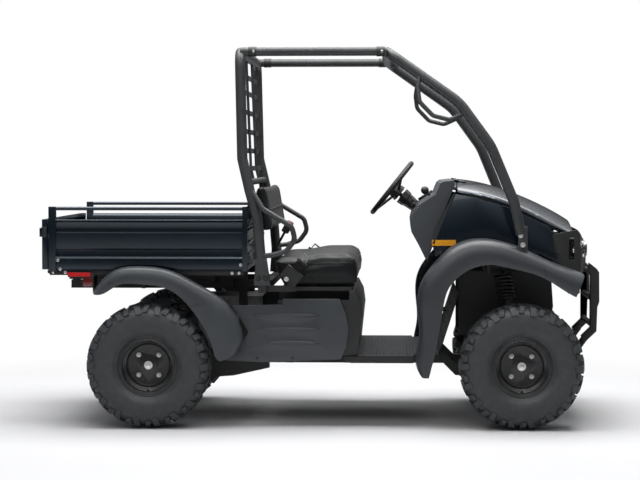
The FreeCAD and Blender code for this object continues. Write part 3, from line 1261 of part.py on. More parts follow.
def steering_column():
    jacket = rod(steering_axis_point(COLUMN_START), steering_axis_point(column_end()), COLUMN_RADIUS)
    bore = rod(steering_axis_point(0), steering_axis_point(column_end() + OVERRUN),
               STEERING_SHAFT_RADIUS + PIN_CLEARANCE)
    x = rack_x()
    housing = rod(Vector(x, -RACK_HOUSING_HALF_LENGTH, RACK_Z), Vector(x, RACK_HOUSING_HALF_LENGTH, RACK_Z),
                  RACK_HOUSING_RADIUS)
    tower = rod(pinion_base(), pinion_base().add(Vector(0, 0, PINION_TOWER_HEIGHT)), PINION_TOWER_RADIUS)
    slot = rod(Vector(x, -OVERALL_WIDTH, RACK_Z), Vector(x, OVERALL_WIDTH, RACK_Z),
               RACK_BAR_RADIUS + PIN_CLEARANCE)
    brace = bar(x, 0, RAIL_TOP_Z - RAIL_STEP_DROP - CROSS_HEIGHT, CROSS_WIDTH, 2 * RAIL_Y - RAIL_WIDTH,
                CROSS_HEIGHT + RACK_Z - RAIL_TOP_Z + RAIL_STEP_DROP)
    gear = fused([housing, tower, brace]).cut(slot)
    return [jacket.cut(bore), gear]


def front_arm():
    """Lower arm from its two frame bushes out to the ball joint."""
    ball = Vector(forward(BALL_FROM_REAR), BALL_Y, BALL_Z - ARM_END_HEIGHT)
    pieces = [rod(ball, Vector(ball.x, ball.y, BALL_Z), ARM_END_RADIUS)]
    pieces.append(rod(kingpin_point(BALL_Z - ARM_END_HEIGHT / 2),
                      kingpin_point(BALL_Z + BALL_STUD_SHARE * BALL_HOUSING_HEIGHT),
                      BALL_STUD_RADIUS))
    tip = Vector(ball.x, ball.y - ARM_END_RADIUS / 2, BALL_Z - ARM_END_HEIGHT / 2)
    for side in (-1, 1):
        x = ball.x + side * ARM_HALF_SPREAD
        pivot = Vector(x, RAIL_Y + RAIL_WIDTH / 2 + ARM_BUSH_RADIUS, ARM_PIVOT_Z + ARM_BUSH_RADIUS)
        pieces.append(rod(pivot, tip, ARM_TUBE_RADIUS))
        pieces.append(rod(Vector(x - ARM_BUSH_LENGTH / 2, pivot.y, pivot.z),
                          Vector(x + ARM_BUSH_LENGTH / 2, pivot.y, pivot.z), ARM_BUSH_RADIUS))
    floor = box(ball.x - OVERRUN, ball.x + OVERRUN, BALL_Y - OVERRUN, BALL_Y + OVERRUN,
                ball.z - OVERRUN, ball.z)
    return fused(pieces).cut(floor)


def front_drive():
    case = rod(Vector(FRONT_X, -FRONT_DRIVE_HALF_WIDTH, AXLE_Z),
               Vector(FRONT_X, FRONT_DRIVE_HALF_WIDTH, AXLE_Z),
               FRONT_DRIVE_RADIUS)
    hanger = bar(FRONT_X, 0, RAIL_TOP_Z - RAIL_STEP_DROP - CROSS_HEIGHT, CROSS_WIDTH, 2 * RAIL_Y - RAIL_WIDTH,
                 CROSS_HEIGHT)
    pieces = [case, hanger]
    for side in (-1, 1):
        pieces.append(rod(Vector(FRONT_X, side * (FRONT_DRIVE_HALF_WIDTH - OVERRUN), AXLE_Z),
                          Vector(FRONT_X, side * SHAFT_END_Y, AXLE_Z), HALF_SHAFT_RADIUS))
        for start in (FRONT_DRIVE_HALF_WIDTH, SHAFT_END_Y - SHAFT_BOOT_LENGTH):
            pieces.append(Part.makeCone(SHAFT_BOOT_RADIUS, SHAFT_BOOT_END_RADIUS, SHAFT_BOOT_LENGTH,
                                        Vector(FRONT_X, side * start, AXLE_Z), Vector(0, side, 0)))
    return fused(pieces)


# Rear axle, shocks and engine

def rear_axle():
    tube = rod(Vector(REAR_X, -AXLE_TUBE_END_Y, AXLE_Z), Vector(REAR_X, AXLE_TUBE_END_Y, AXLE_Z),
               AXLE_TUBE_RADIUS)
    case = rod(Vector(REAR_X, -TRANSAXLE_HALF_WIDTH, AXLE_Z), Vector(REAR_X, TRANSAXLE_HALF_WIDTH, AXLE_Z),
               TRANSAXLE_RADIUS)
    pieces = [tube, case]
    arm_outline = placed(SWING_ARM_SHARES, REAR_X - AXLE_TUBE_RADIUS, SWING_BOTTOM_Z, SWING_LENGTH,
                         SWING_HEIGHT)
    for side in (-1, 1):
        low = side * SWING_ARM_Y - SWING_ARM_WIDTH / 2
        pieces.append(side_prism(arm_outline, low, low + SWING_ARM_WIDTH))
        flange_y = WHEEL_Y + DRUM_INNER_Y - BACKING_GAP - BACKING_THICKNESS
        pieces.append(rod(Vector(REAR_X, side * AXLE_TUBE_END_Y, AXLE_Z),
                          Vector(REAR_X, side * flange_y, AXLE_Z),
                          AXLE_TUBE_RADIUS))
        pieces.append(rod(Vector(REAR_X, side * flange_y, AXLE_Z),
                          Vector(REAR_X, side * (flange_y + BACKING_THICKNESS), AXLE_Z), BACKING_RADIUS))
        pieces.append(rod(Vector(REAR_X, side * AXLE_TUBE_END_Y, AXLE_Z),
                          Vector(REAR_X, side * (WHEEL_Y + SPINDLE_END_Y), AXLE_Z), SPINDLE_RADIUS))
        pivot_x = REAR_X - AXLE_TUBE_RADIUS + SWING_LENGTH - SWING_ARM_WIDTH
        pivot_z = RAIL_TOP_Z - RAIL_HEIGHT + SWING_PIVOT_RADIUS
        pieces.append(rod(Vector(pivot_x, side * (RAIL_Y + RAIL_WIDTH / 2), pivot_z),
                          Vector(pivot_x, side * SWING_ARM_Y, pivot_z), SWING_PIVOT_RADIUS))
    for place in ENGINE_BEARER_FROM_REAR:
        pieces.append(bar(forward(place), 0, ENGINE_BOTTOM_Z - ENGINE_BEARER_HEIGHT, ENGINE_BEARER_LENGTH,
                          2 * SWING_ARM_Y, ENGINE_BEARER_HEIGHT))
    return fused(pieces)


def rear_shock():
    foot = Vector(forward(SHOCK_FOOT_FROM_REAR), SHOCK_Y, SHOCK_FOOT_Z)
    top = Vector(forward(SHOCK_TOP_FROM_REAR), SHOCK_Y, SHOCK_TOP_Z)
    along = top.sub(foot)
    middle = foot.add(along * SHOCK_BODY_SHARE)
    body = rod(foot, middle, SHOCK_BODY_RADIUS)
    shaft = rod(middle, top, SHOCK_ROD_RADIUS)
    bottom_bolt = rod(Vector(foot.x, SWING_ARM_Y + SWING_ARM_WIDTH / 2, foot.z),
                      Vector(foot.x, SHOCK_Y + SHOCK_EYE_RADIUS, foot.z), SHOCK_EYE_RADIUS)
    top_bolt = rod(Vector(top.x, UPPER_RAIL_Y + UPPER_RAIL_WIDTH / 2, top.z),
                   Vector(top.x, SHOCK_Y + SHOCK_EYE_RADIUS, top.z), SHOCK_EYE_RADIUS)
    unit = along.normalize()
    low_seat = foot.add(unit * SHOCK_LOW_SEAT)
    high_seat = top.sub(unit * SHOCK_HIGH_SEAT)
    seats = []
    for place in (low_seat, high_seat):
        seats.append(rod(place, place.add(unit * SPRING_SEAT_THICKNESS),
                         SHOCK_SPRING_RADIUS + SPRING_WIRE_RADIUS))
    clear = SPRING_WIRE_RADIUS + SPRING_SEAT_GAP
    spring = coil(low_seat.add(unit * (SPRING_SEAT_THICKNESS + clear)), high_seat.sub(unit * clear),
                  SHOCK_SPRING_RADIUS, SPRING_WIRE_RADIUS, SPRING_TURNS)
    return [body.multiFuse([shaft, bottom_bolt, top_bolt] + seats), spring]


def engine_block():
    x0 = forward(ENGINE_REAR_FROM_REAR)
    block = box(x0, x0 + ENGINE_LENGTH, -ENGINE_HALF_WIDTH, ENGINE_HALF_WIDTH, ENGINE_BOTTOM_Z,
                ENGINE_BOTTOM_Z + ENGINE_HEIGHT)
    return block


# Floor, pedestal and covers

def floorboard():
    rear = forward(FLOOR_REAR_FROM_REAR)
    front = forward(FLOOR_FRONT_FROM_REAR)
    top = FLOOR_TOP_Z
    wide_rear = forward(FLOOR_WIDE_REAR_FROM_REAR)
    wide_front = forward(FLOOR_WIDE_FRONT_FROM_REAR)
    half_plan = [
        (rear, FLOOR_SEAT_HALF_WIDTH), (wide_rear, FLOOR_SEAT_HALF_WIDTH), (wide_rear, FLOOR_HALF_WIDTH),
        (wide_front, FLOOR_HALF_WIDTH), (wide_front, FLOOR_TOE_HALF_WIDTH), (front, FLOOR_TOE_HALF_WIDTH),
    ]
    plan = half_plan + [(x, -y) for x, y in reversed(half_plan)]
    plate = plan_prism(plan, top - FLOOR_THICKNESS, top)
    toe = side_prism([(front - FLOOR_THICKNESS, top), (front, top - FLOOR_THICKNESS),
                      (forward(TOE_BOARD_TOP_FROM_REAR), TOE_BOARD_TOP_Z),
                      (forward(TOE_BOARD_TOP_FROM_REAR) - FLOOR_THICKNESS, TOE_BOARD_TOP_Z)],
                     -TOE_BOARD_HALF_WIDTH, TOE_BOARD_HALF_WIDTH)
    bars = []
    step = (TREAD_END_FROM_REAR - TREAD_START_FROM_REAR) / TREAD_BAR_COUNT
    for index in range(TREAD_BAR_COUNT):
        x = forward(TREAD_START_FROM_REAR + step * (index + 1 / 2))
        bars.append(bar(x, 0, top, TREAD_BAR_WIDTH, 2 * (FLOOR_TOE_HALF_WIDTH - SILL_WIDTH),
                        TREAD_BAR_HEIGHT))
    return fused([plate, toe] + bars)


def seat_pedestal():
    """Bulged front panel of full width, low side walls, and the narrower box that carries the seat."""
    x0 = forward(PEDESTAL_REAR_FROM_REAR)
    x1 = x0 + PEDESTAL_LENGTH
    wall = PEDESTAL_WALL
    height = PEDESTAL_TOP_Z - FLOOR_TOP_Z
    outline = placed(PEDESTAL_SHARES, x0, FLOOR_TOP_Z, PEDESTAL_LENGTH, height)
    outer = side_prism(outline, -PEDESTAL_HALF_WIDTH, PEDESTAL_HALF_WIDTH)
    inner = side_prism([(x - wall, z - wall) for x, z in outline], -PEDESTAL_HALF_WIDTH + wall,
                       PEDESTAL_HALF_WIDTH - wall)
    below = box(x0 - OVERRUN, x1 - wall * 2, -PEDESTAL_HALF_WIDTH + wall, PEDESTAL_HALF_WIDTH - wall,
                FLOOR_TOP_Z - OVERRUN, FLOOR_TOP_Z + wall)
    shell = outer.cut(inner).cut(below)
    front = x1 - PEDESTAL_FRONT_LENGTH
    posts = []
    for side in (-1, 1):
        low, high = sorted((side * PEDESTAL_INNER_HALF_WIDTH, side * (PEDESTAL_HALF_WIDTH + OVERRUN)))
        shell = shell.cut(box(x0 - OVERRUN, front, low, high, PEDESTAL_SIDE_TOP_Z, PEDESTAL_TOP_Z + OVERRUN))
        edge = side * (PEDESTAL_INNER_HALF_WIDTH - wall)
        low, high = sorted((edge, side * PEDESTAL_INNER_HALF_WIDTH))
        posts.append(box(x0, front, low, high, FLOOR_TOP_Z, PEDESTAL_TOP_Z))
    return fused([shell] + posts)


def side_cover():
    x0 = forward(COVER_REAR_FROM_REAR)
    outline = placed(COVER_SHARES, x0, COVER_BOTTOM_Z, COVER_LENGTH, COVER_HEIGHT)
    inner_y = PEDESTAL_HALF_WIDTH
    outer_y = PEDESTAL_HALF_WIDTH + COVER_DEPTH
    shell = side_prism(outline, inner_y, outer_y)
    pocket_face = side_face(outline)
    pocket_wire = pocket_face.OuterWire.makeOffset2D(-COVER_WALL)
    pocket = Part.Face(pocket_wire)
    pocket.translate(Vector(0, inner_y - OVERRUN, 0))
    shell = shell.cut(pocket.extrude(Vector(0, OVERRUN + COVER_DEPTH - COVER_WALL, 0)))
    ribs = []
    for start_share, end_share, height_share in LOUVRE_SHARES:
        z = COVER_BOTTOM_Z + COVER_HEIGHT * height_share
        low = x0 + COVER_LENGTH * start_share
        high = x0 + COVER_LENGTH * end_share
        ribs.append(louvre(low, high, z, outer_y))
    return fused([shell] + ribs)


def lens_wire(x0, x1, y, z, half_height):
    """Slim outline that tapers to both ends."""
    upper = placed(LOUVRE_LENS_SHARES, x0, z, x1 - x0, half_height)
    lower = placed([(x, -height) for x, height in reversed(LOUVRE_LENS_SHARES[1:-1])], x0, z, x1 - x0,
                   half_height)
    corners = [Vector(x, y, height) for x, height in upper + lower]
    return Part.makePolygon(corners + corners[:1])


def louvre(x0, x1, z, y):
    """Tapered louvre that leans out of the cover, highest along its upper edge."""
    foot = lens_wire(x0, x1, y, z, LOUVRE_HEIGHT)
    rise = LOUVRE_HEIGHT * LOUVRE_TIP_SHARE
    tip = lens_wire(x0 + rise, x1 - rise, y + LOUVRE_PROUD, z + rise / 2, rise)
    return Part.makeLoft([foot, tip], True, True)


# Fenders, lofted along the arch from thin sections

def sheet_section(upper, lip, rows):
    """Closed section wire from (y, share of the drop, extra drop) rows between the upper edge and the lip."""
    down = lip.sub(upper)
    reach = down.Length
    down.normalize()
    corners = []
    for y, share, extra in rows:
        point = upper.add(down * (reach * share + extra))
        corners.append(Vector(point.x, y, point.z))
    return Part.makePolygon(corners + corners[:1])


def roll_rows(roll, outer_y):
    """Outer rows of the rounded section, then the inner ones a wall further in."""
    width = outer_y - FENDER_INNER_Y
    outer = []
    inner = []
    for y_share, drop_share, inboard_share, below_share in roll:
        y = FENDER_INNER_Y + width * y_share
        outer.append((y, drop_share, 0))
        inner.append((y - FENDER_WALL * inboard_share, drop_share, FENDER_WALL * below_share))
    return outer + list(reversed(inner))


def fender(shares, x0, z0, length, height, rows):
    sections = []
    for upper_x, upper_z, lip_x, lip_z in shares:
        upper = Vector(x0 + length * upper_x, 0, z0 + height * upper_z)
        lip = Vector(x0 + length * lip_x, 0, z0 + height * lip_z)
        sections.append(sheet_section(upper, lip, rows))
    return lofted(sections)


def front_fender():
    """Rounded fender round the front wheel, with the slot for the front hoop's foot."""
    panel = fender(FRONT_FENDER_SHARES, forward(FRONT_FENDER_FROM_REAR), FRONT_FENDER_BOTTOM_Z,
                   FRONT_FENDER_LENGTH, FRONT_FENDER_HEIGHT, roll_rows(FRONT_ROLL_SHARES,
                                                                       FRONT_FENDER_OUTER_Y))
    slot = bar(forward(HOOP_ARM_FROM_REAR), FRONT_HOOP_ROUTE_FROM_REAR[0][1], HOOP_ARM_PAD_Z,
               FRONT_FOOT_LENGTH + 2 * FOOT_SLOT_GAP, 2 * FRONT_FOOT_THICKNESS + 2 * FOOT_SLOT_GAP, OVERRUN)
    return largest(panel.cut(slot))


def rear_fender():
    """Rounded fender beside the bed, with a shelf that passes under the bed's edge."""
    return fender(REAR_FENDER_SHARES, forward(REAR_FENDER_FROM_REAR), REAR_FENDER_BOTTOM_Z,
                  REAR_FENDER_LENGTH, REAR_FENDER_HEIGHT, roll_rows(REAR_ROLL_SHARES, REAR_FENDER_OUTER_Y))


# Cowl, hood, dash and grille

def cowl_side(fender_panel):
    outline = placed(COWL_SHARES, forward(COWL_REAR_FROM_REAR), COWL_BOTTOM_Z, COWL_LENGTH, COWL_HEIGHT)
    panel = side_prism(outline, COWL_OUTER_Y - COWL_WALL, COWL_OUTER_Y)
    panel.rotate(Vector(forward(COWL_REAR_FROM_REAR), COWL_OUTER_Y, COWL_LEAN_Z), Vector(1, 0, 0), COWL_LEAN)
    return largest(panel.cut(fender_panel))


def hood_section(x_share, width_share, edge_share, crown_share, flange_share):
    """Closed section wire: a crowned skin with a sloping flange along each side."""
    x = forward(HOOD_FROM_REAR) + HOOD_LENGTH * x_share
    half = HOOD_HALF_WIDTH * width_share
    edge = HOOD_LOW_Z + HOOD_HEIGHT * edge_share
    crown = HOOD_LOW_Z + HOOD_HEIGHT * crown_share
    wall = HOOD_WALL
    out = half + HOOD_FLANGE_OUT * flange_share
    foot = edge - HOOD_FLANGE_DROP * flange_share
    outer = Part.Arc(Vector(x, -half, edge), Vector(x, 0, crown), Vector(x, half, edge)).toShape()
    inner = Part.Arc(Vector(x, half, edge - wall), Vector(x, 0, crown - wall),
                     Vector(x, -half, edge - wall)).toShape()
    left = [Vector(x, half, edge), Vector(x, out, foot), Vector(x, out, foot - wall),
            Vector(x, half, edge - wall)]
    right = [Vector(x, -point.y, point.z) for point in reversed(left)]
    edges = [outer]
    for start, end in zip(left, left[1:]):
        edges.append(Part.LineSegment(start, end).toShape())
    edges.append(inner)
    for start, end in zip(right, right[1:]):
        edges.append(Part.LineSegment(start, end).toShape())
    return Part.Wire(edges)


def hood_lid():
    """Crowned lid with the two hinge barrels under its front edge."""
    sections = [hood_section(*shares) for shares in HOOD_SHARES]
    skin = lofted(sections)
    place = hood_hinge_place()
    pieces = [skin]
    for side in (-1, 1):
        low = side * HOOD_HINGE_Y - HOOD_BARREL_LENGTH / 2
        high = low + HOOD_BARREL_LENGTH
        pieces.append(rod(Vector(place.x, low, place.z), Vector(place.x, high, place.z), HOOD_BARREL_RADIUS))
        leaf = box(place.x - 2 * HOOD_BARREL_RADIUS - HOOD_HINGE_AHEAD, place.x, low, high, place.z,
                   place.z + HOOD_LEAF_THICKNESS)
        riser = box(place.x - 2 * HOOD_BARREL_RADIUS - HOOD_HINGE_AHEAD, place.x - 2 * HOOD_BARREL_RADIUS,
                    low, high,
                    place.z, HOOD_LOW_Z + HOOD_HEIGHT)
        parts_of_riser = riser.cut(skin).Solids
        below = min(parts_of_riser, key=lambda solid: solid.CenterOfMass.z)
        pieces.extend([leaf, below])
    bore = rod(Vector(place.x, -OVERALL_WIDTH, place.z), Vector(place.x, OVERALL_WIDTH, place.z),
               HOOD_PIN_RADIUS + PIN_CLEARANCE)
    return fused(pieces).cut(bore)


def dashboard():
    outline = placed(DASH_SHARES, forward(DASH_REAR_FROM_REAR), DASH_BOTTOM_Z, DASH_LENGTH, DASH_HEIGHT)
    outer = side_prism(outline, -DASH_HALF_WIDTH, DASH_HALF_WIDTH)
    inner = side_prism([(x + DASH_WALL, z - DASH_WALL) for x, z in outline], -DASH_HALF_WIDTH + DASH_WALL,
                       DASH_HALF_WIDTH - DASH_WALL)
    ahead = inner.copy()
    ahead.translate(Vector(DASH_WALL, 0, -DASH_WALL / 2))
    column = rod(steering_axis_point(0), steering_axis_point(column_end() + OVERRUN), COLUMN_RADIUS)
    shaft_room = rod(steering_axis_point(column_end()),
                     steering_axis_point(column_end() + SHAFT_ROOM_YOKES * JOINT_YOKE_LENGTH),
                     JOINT_YOKE_RADIUS + MOVING_GAP)
    lever = rod(shifter_foot(), shifter_top(), SHIFTER_ROD_RADIUS)
    return outer.cut(inner).cut(ahead).cut(column).cut(shaft_room).cut(lever)


def shifter_top():
    return Vector(forward(SHIFTER_FROM_REAR), SHIFTER_Y, SHIFTER_TOP_Z)


def shifter_foot():
    return Vector(forward(SHIFTER_FOOT_FROM_REAR), SHIFTER_Y, SHIFTER_FOOT_Z)


def nose_wire(z, setback_share, depth):
    """Plan outline of the curved nose at a height, set back by a share and moved inward by the depth."""
    side = forward(GRILLE_SIDE_FROM_REAR) - GRILLE_SIDE_SETBACK * setback_share - depth
    centre = forward(GRILLE_CENTRE_FROM_REAR) - GRILLE_SETBACK * setback_share - depth
    half = GRILLE_HALF_WIDTH - depth
    rear = forward(GRILLE_REAR_FROM_REAR) - (OVERRUN if depth else 0)
    arc = Part.Arc(Vector(side, -half, z), Vector(centre, 0, z), Vector(side, half, z)).toShape()
    lines = [
        Part.LineSegment(Vector(side, half, z), Vector(rear, half, z)).toShape(),
        Part.LineSegment(Vector(rear, half, z), Vector(rear, -half, z)).toShape(),
        Part.LineSegment(Vector(rear, -half, z), Vector(side, -half, z)).toShape(),
    ]
    return Part.Wire([arc] + lines)


def nose_solid(depth):
    """Body of the nose, rounded from its foot to its top; a depth gives the space inside its wall."""
    height = GRILLE_TOP_Z - GRILLE_BOTTOM_Z
    wires = []
    for height_share, setback_share in GRILLE_FRONT_SHARES:
        wires.append(nose_wire(GRILLE_BOTTOM_Z + height * height_share, setback_share, depth))
    return lofted(wires)


def lamp_opening(side, grow):
    """Block through the nose where a headlamp sits."""
    x1 = NOSE_X
    return box(x1 - LAMP_OPENING_DEPTHS * LAMP_DEPTH, x1, side * LAMP_Y - LAMP_HALF_WIDTH - grow,
               side * LAMP_Y + LAMP_HALF_WIDTH + grow,
               LAMP_Z - LAMP_HALF_HEIGHT - grow, LAMP_Z + LAMP_HALF_HEIGHT + grow)


def nose_shelf(body):
    """Plate that closes the nose under the front of the hood, with holes for the hood's arms."""
    top = GRILLE_SHELF_Z
    low = top - GRILLE_WALL
    plate = body.common(box(forward(GRILLE_REAR_FROM_REAR), NOSE_X, -OVERALL_WIDTH, OVERALL_WIDTH, low, top))
    for side in (-1, 1):
        plate = plate.cut(hood_arm(side, HOOD_ARM_RADIUS + REST_GAP))
    return plate


def grille_surround():
    """Curved nose with its grille bars, lamp openings, side slots and the shelf under the hood's front."""
    rear = forward(GRILLE_REAR_FROM_REAR)
    outline = [
        (rear, GRILLE_TOP_Z - GRILLE_LIP_HEIGHT), (forward(GRILLE_SIDE_FROM_REAR), GRILLE_TOP_Z),
        (NOSE_X, GRILLE_TOP_Z), (NOSE_X, GRILLE_BOTTOM_Z),
        (forward(GRILLE_SIDE_FROM_REAR) - OVERRUN, GRILLE_BOTTOM_Z), (rear, LAMP_Z - 2 * LAMP_HALF_HEIGHT),
    ]
    body = nose_solid(0)
    side_cut = side_prism(outline, -OVERALL_WIDTH, OVERALL_WIDTH)
    skin = body.cut(nose_solid(GRILLE_WALL)).common(side_cut)
    window = box(forward(GRILLE_SIDE_FROM_REAR) - OVERRUN, NOSE_X, -GRILLE_OPENING_HALF_WIDTH,
                 GRILLE_OPENING_HALF_WIDTH, GRILLE_OPENING_BOTTOM_Z, GRILLE_OPENING_TOP_Z)
    bars = []
    pitch = (GRILLE_OPENING_TOP_Z - GRILLE_OPENING_BOTTOM_Z) / (GRILLE_BAR_COUNT + 1)
    for index in range(GRILLE_BAR_COUNT):
        z = GRILLE_OPENING_BOTTOM_Z + pitch * (index + 1)
        bars.append(box(forward(GRILLE_SIDE_FROM_REAR) - OVERRUN, NOSE_X, -GRILLE_OPENING_HALF_WIDTH,
                        GRILLE_OPENING_HALF_WIDTH, z - GRILLE_BAR_HEIGHT / 2, z + GRILLE_BAR_HEIGHT / 2))
    window = window.cut(bars[0].multiFuse(bars[1:]))
    slot = bar(forward(NOSE_SLOT_FROM_REAR), 0, NOSE_SLOT_BOTTOM_Z, NOSE_SLOT_LENGTH, 2 * OVERALL_WIDTH,
               NOSE_SLOT_HEIGHT)
    nose = skin.cut(window).cut(lamp_opening(-1, 0)).cut(lamp_opening(1, 0)).cut(slot)
    shelf = nose_shelf(body.common(side_cut))
    return fused([nose, shelf])


def headlamp(side):
    """Lamp pod that fills its opening in the nose and stands a little proud of it."""
    ahead = nose_solid(0)
    ahead.translate(Vector(LAMP_PROUD, 0, 0))
    pod = largest(lamp_opening(side, 0).common(ahead))
    back_x = forward(GRILLE_SIDE_FROM_REAR) - LAMP_DEPTH / 2
    rear = box(-NOSE_X, back_x, -OVERALL_WIDTH, OVERALL_WIDTH, 0, 2 * LAMP_Z)
    return largest(pod.cut(rear))


def brush_guard():
    outline = placed(GUARD_SHARES, forward(GUARD_REAR_FROM_REAR), GUARD_BOTTOM_Z, GUARD_LENGTH, GUARD_HEIGHT)
    pieces = []
    for side in (-1, 1):
        low = side * GUARD_Y - GUARD_PLATE_WIDTH / 2
        pieces.append(side_prism(outline, low, low + GUARD_PLATE_WIDTH))
        stay_top = RAIL_TOP_Z - RAIL_STEP_DROP + GUARD_STAY_HEIGHT
        x1 = forward(GUARD_REAR_FROM_REAR) + GUARD_LENGTH / 2
        rail_front = forward(RAIL_FRONT_FROM_REAR)
        stay_outline = [(rail_front, stay_top - GUARD_STAY_HEIGHT),
                        (rail_front, RAIL_TOP_Z - RAIL_STEP_DROP - RAIL_HEIGHT),
                        (x1, GUARD_BOTTOM_Z + GUARD_HEIGHT * GUARD_STAY_LOW_SHARE),
                        (x1, GUARD_BOTTOM_Z + GUARD_HEIGHT * GUARD_STAY_HIGH_SHARE)]
        stay_half = RAIL_WIDTH / 2 * GUARD_STAY_WIDTH_SHARE
        stay = side_prism(stay_outline, side * RAIL_Y - stay_half, side * RAIL_Y + stay_half)
        pieces.append(stay)
    for z in GUARD_TUBE_Z:
        x = forward(GUARD_TUBE_FROM_REAR)
        pieces.append(rod(Vector(x, -GUARD_Y, z), Vector(x, GUARD_Y, z), GUARD_TUBE_RADIUS))
    return fused(pieces)


# Roll over frame

def full_hoop(table, radius, bend, corner):
    """Hoop over the cabin: the route up one side, across, and down the other."""
    points = route(table, -1) + list(reversed(route(table, 1)))
    side_bends = [bend] * (len(table) - 2)
    return swept(points, radius, bend, side_bends + [corner, corner] + side_bends)


def rear_hoop():
    hoop = full_hoop(REAR_HOOP_ROUTE_FROM_REAR, REAR_HOOP_RADIUS, REAR_HOOP_BEND, REAR_HOOP_BEND)
    pieces = [hoop]
    foot_x, foot_y, foot_z = REAR_HOOP_ROUTE_FROM_REAR[0]
    for side in (-1, 1):
        low = REAR_FOOT_BOTTOM_Z
        x = forward(foot_x)
        outline = [(x - HOOP_FOOT_LENGTH / 2, low), (x + HOOP_FOOT_LENGTH / 2, low),
                   (x + HOOP_FOOT_LENGTH * FOOT_TOP_FRONT_SHARE,
                    low + HOOP_FOOT_HEIGHT), (x - HOOP_FOOT_LENGTH * FOOT_TOP_REAR_SHARE,
                                              low + HOOP_FOOT_HEIGHT)]
        pieces.append(side_prism(outline, side * foot_y - HOOP_FOOT_WIDTH / 2,
                                 side * foot_y + HOOP_FOOT_WIDTH / 2))
    cross = rod(Vector(forward(BACK_CROSS_FROM_REAR), -REAR_HOOP_ROUTE_FROM_REAR[2][1], BACK_CROSS_Z),
                Vector(forward(BACK_CROSS_FROM_REAR), REAR_HOOP_ROUTE_FROM_REAR[2][1],
                       BACK_CROSS_Z), BACK_CROSS_RADIUS)
    return fused(pieces + [cross])


def front_hoop():
    hoop = full_hoop(FRONT_HOOP_ROUTE_FROM_REAR, FRONT_HOOP_RADIUS, FRONT_HOOP_BEND, FRONT_HOOP_CORNER)
    pieces = [hoop]
    for side in (-1, 1):
        x = forward(HOOP_ARM_FROM_REAR)
        y = side * FRONT_HOOP_ROUTE_FROM_REAR[0][1]
        pieces.append(bar(x, y, HOOP_ARM_PAD_Z, FRONT_FOOT_LENGTH, FRONT_FOOT_THICKNESS * 2,
                          FRONT_FOOT_TOP_Z - HOOP_ARM_PAD_Z))
    return fused(pieces)


def roof_tubes(hoops):
    tubes = []
    rear_x = forward(REAR_HOOP_ROUTE_FROM_REAR[-1][0])
    front_x = forward(FRONT_HOOP_ROUTE_FROM_REAR[-1][0])
    for side in (-1, 1):
        y = side * ROOF_TUBE_Y
        tube = rod(Vector(rear_x, y, ROOF_TUBE_Z), Vector(front_x, y, ROOF_TUBE_Z), ROOF_TUBE_RADIUS)
        for hoop in hoops:
            tube = tube.cut(hoop)
        tubes.append(largest(tube))
    return tubes


def largest(shape):
    return max(shape.Solids, key=lambda solid: solid.Volume)


def grab_handle(side, hoop):
    return largest(swept(route(GRAB_ROUTE_FROM_REAR, side), GRAB_RADIUS, GRAB_BEND).cut(hoop))


def hoop_x_at(z):
    """Distance ahead of the rear axle of the rear hoop's centre at a height."""
    table = REAR_HOOP_ROUTE_FROM_REAR
    for (x0, y0, z0), (x1, y1, z1) in zip(table, table[1:]):
        if z0 <= z <= z1:
            return x0 + (x1 - x0) * (z - z0) / (z1 - z0)
    return table[-1][0]


def rear_screen(hoop):
    pieces = []
    half = SCREEN_STRAP_THICKNESS / 2
    for z in SCREEN_STRAP_Z:
        x = forward(hoop_x_at(z))
        pieces.append(box(x - half, x + half, -BELT_Y, BELT_Y, z - SCREEN_STRAP_HEIGHT / 2,
                          z + SCREEN_STRAP_HEIGHT / 2))
    top_x, foot_x = hoop_x_at(REAR_HOOP_TOP_Z), hoop_x_at(SCREEN_FOOT_Z)
    low_x = hoop_x_at(SCREEN_STRAP_Z[-1])
    for y in SCREEN_BAR_Y:
        points = [Vector(forward(foot_x), y, SCREEN_FOOT_Z), Vector(forward(low_x), y, SCREEN_STRAP_Z[-1]),
                  Vector(forward(top_x), y, REAR_HOOP_TOP_Z)]
        pieces.append(swept(points, SCREEN_BAR_RADIUS, SCREEN_STRAP_HEIGHT))
    return largest(fused(pieces).cut(hoop))


def hip_guard(side, hoop):
    return largest(swept(route(HIP_ROUTE_FROM_REAR, side), HIP_RADIUS, HIP_BEND).cut(hoop))


# Seat

def seat_cushion():
    outline = placed(CUSHION_SHARES, forward(CUSHION_REAR_FROM_REAR), CUSHION_BOTTOM_Z, CUSHION_LENGTH,
                     CUSHION_HEIGHT)
    return side_prism(outline, -SEAT_HALF_WIDTH, SEAT_HALF_WIDTH)


def seat_back():
    outline = placed(BACK_SHARES, forward(BACK_REAR_FROM_REAR), BACK_BOTTOM_Z, BACK_LENGTH, BACK_HEIGHT)
    return side_prism(outline, -SEAT_HALF_WIDTH, SEAT_HALF_WIDTH)


def seat_frame(back, cushion, hoop):
    """Bars between pedestal and cushion, and the posts that hold the backrest to the hoop's cross tube."""
    pieces = []
    for y in SEAT_BAR_Y:
        x0 = forward(SEAT_BAR_REAR_FROM_REAR)
        x1 = forward(SEAT_BAR_FRONT_FROM_REAR)
        pieces.append(box(x0, x1, y - SEAT_BAR_RADIUS, y + SEAT_BAR_RADIUS, PEDESTAL_TOP_Z, CUSHION_BOTTOM_Z))
    for y in BACK_POST_Y:
        x0 = forward(BACK_CROSS_FROM_REAR)
        z = BACK_BOTTOM_Z + BACK_HEIGHT / 2
        post = swept([Vector(x0, y, BACK_CROSS_Z), Vector(x0 + BACK_POST_RADIUS, y, z),
                      Vector(forward(BACK_REAR_FROM_REAR) + BACK_LENGTH / 2, y,
                             z)], BACK_POST_RADIUS, BACK_POST_RADIUS * 2)
        pieces.append(largest(post.cut(back).cut(hoop)))
    return pieces


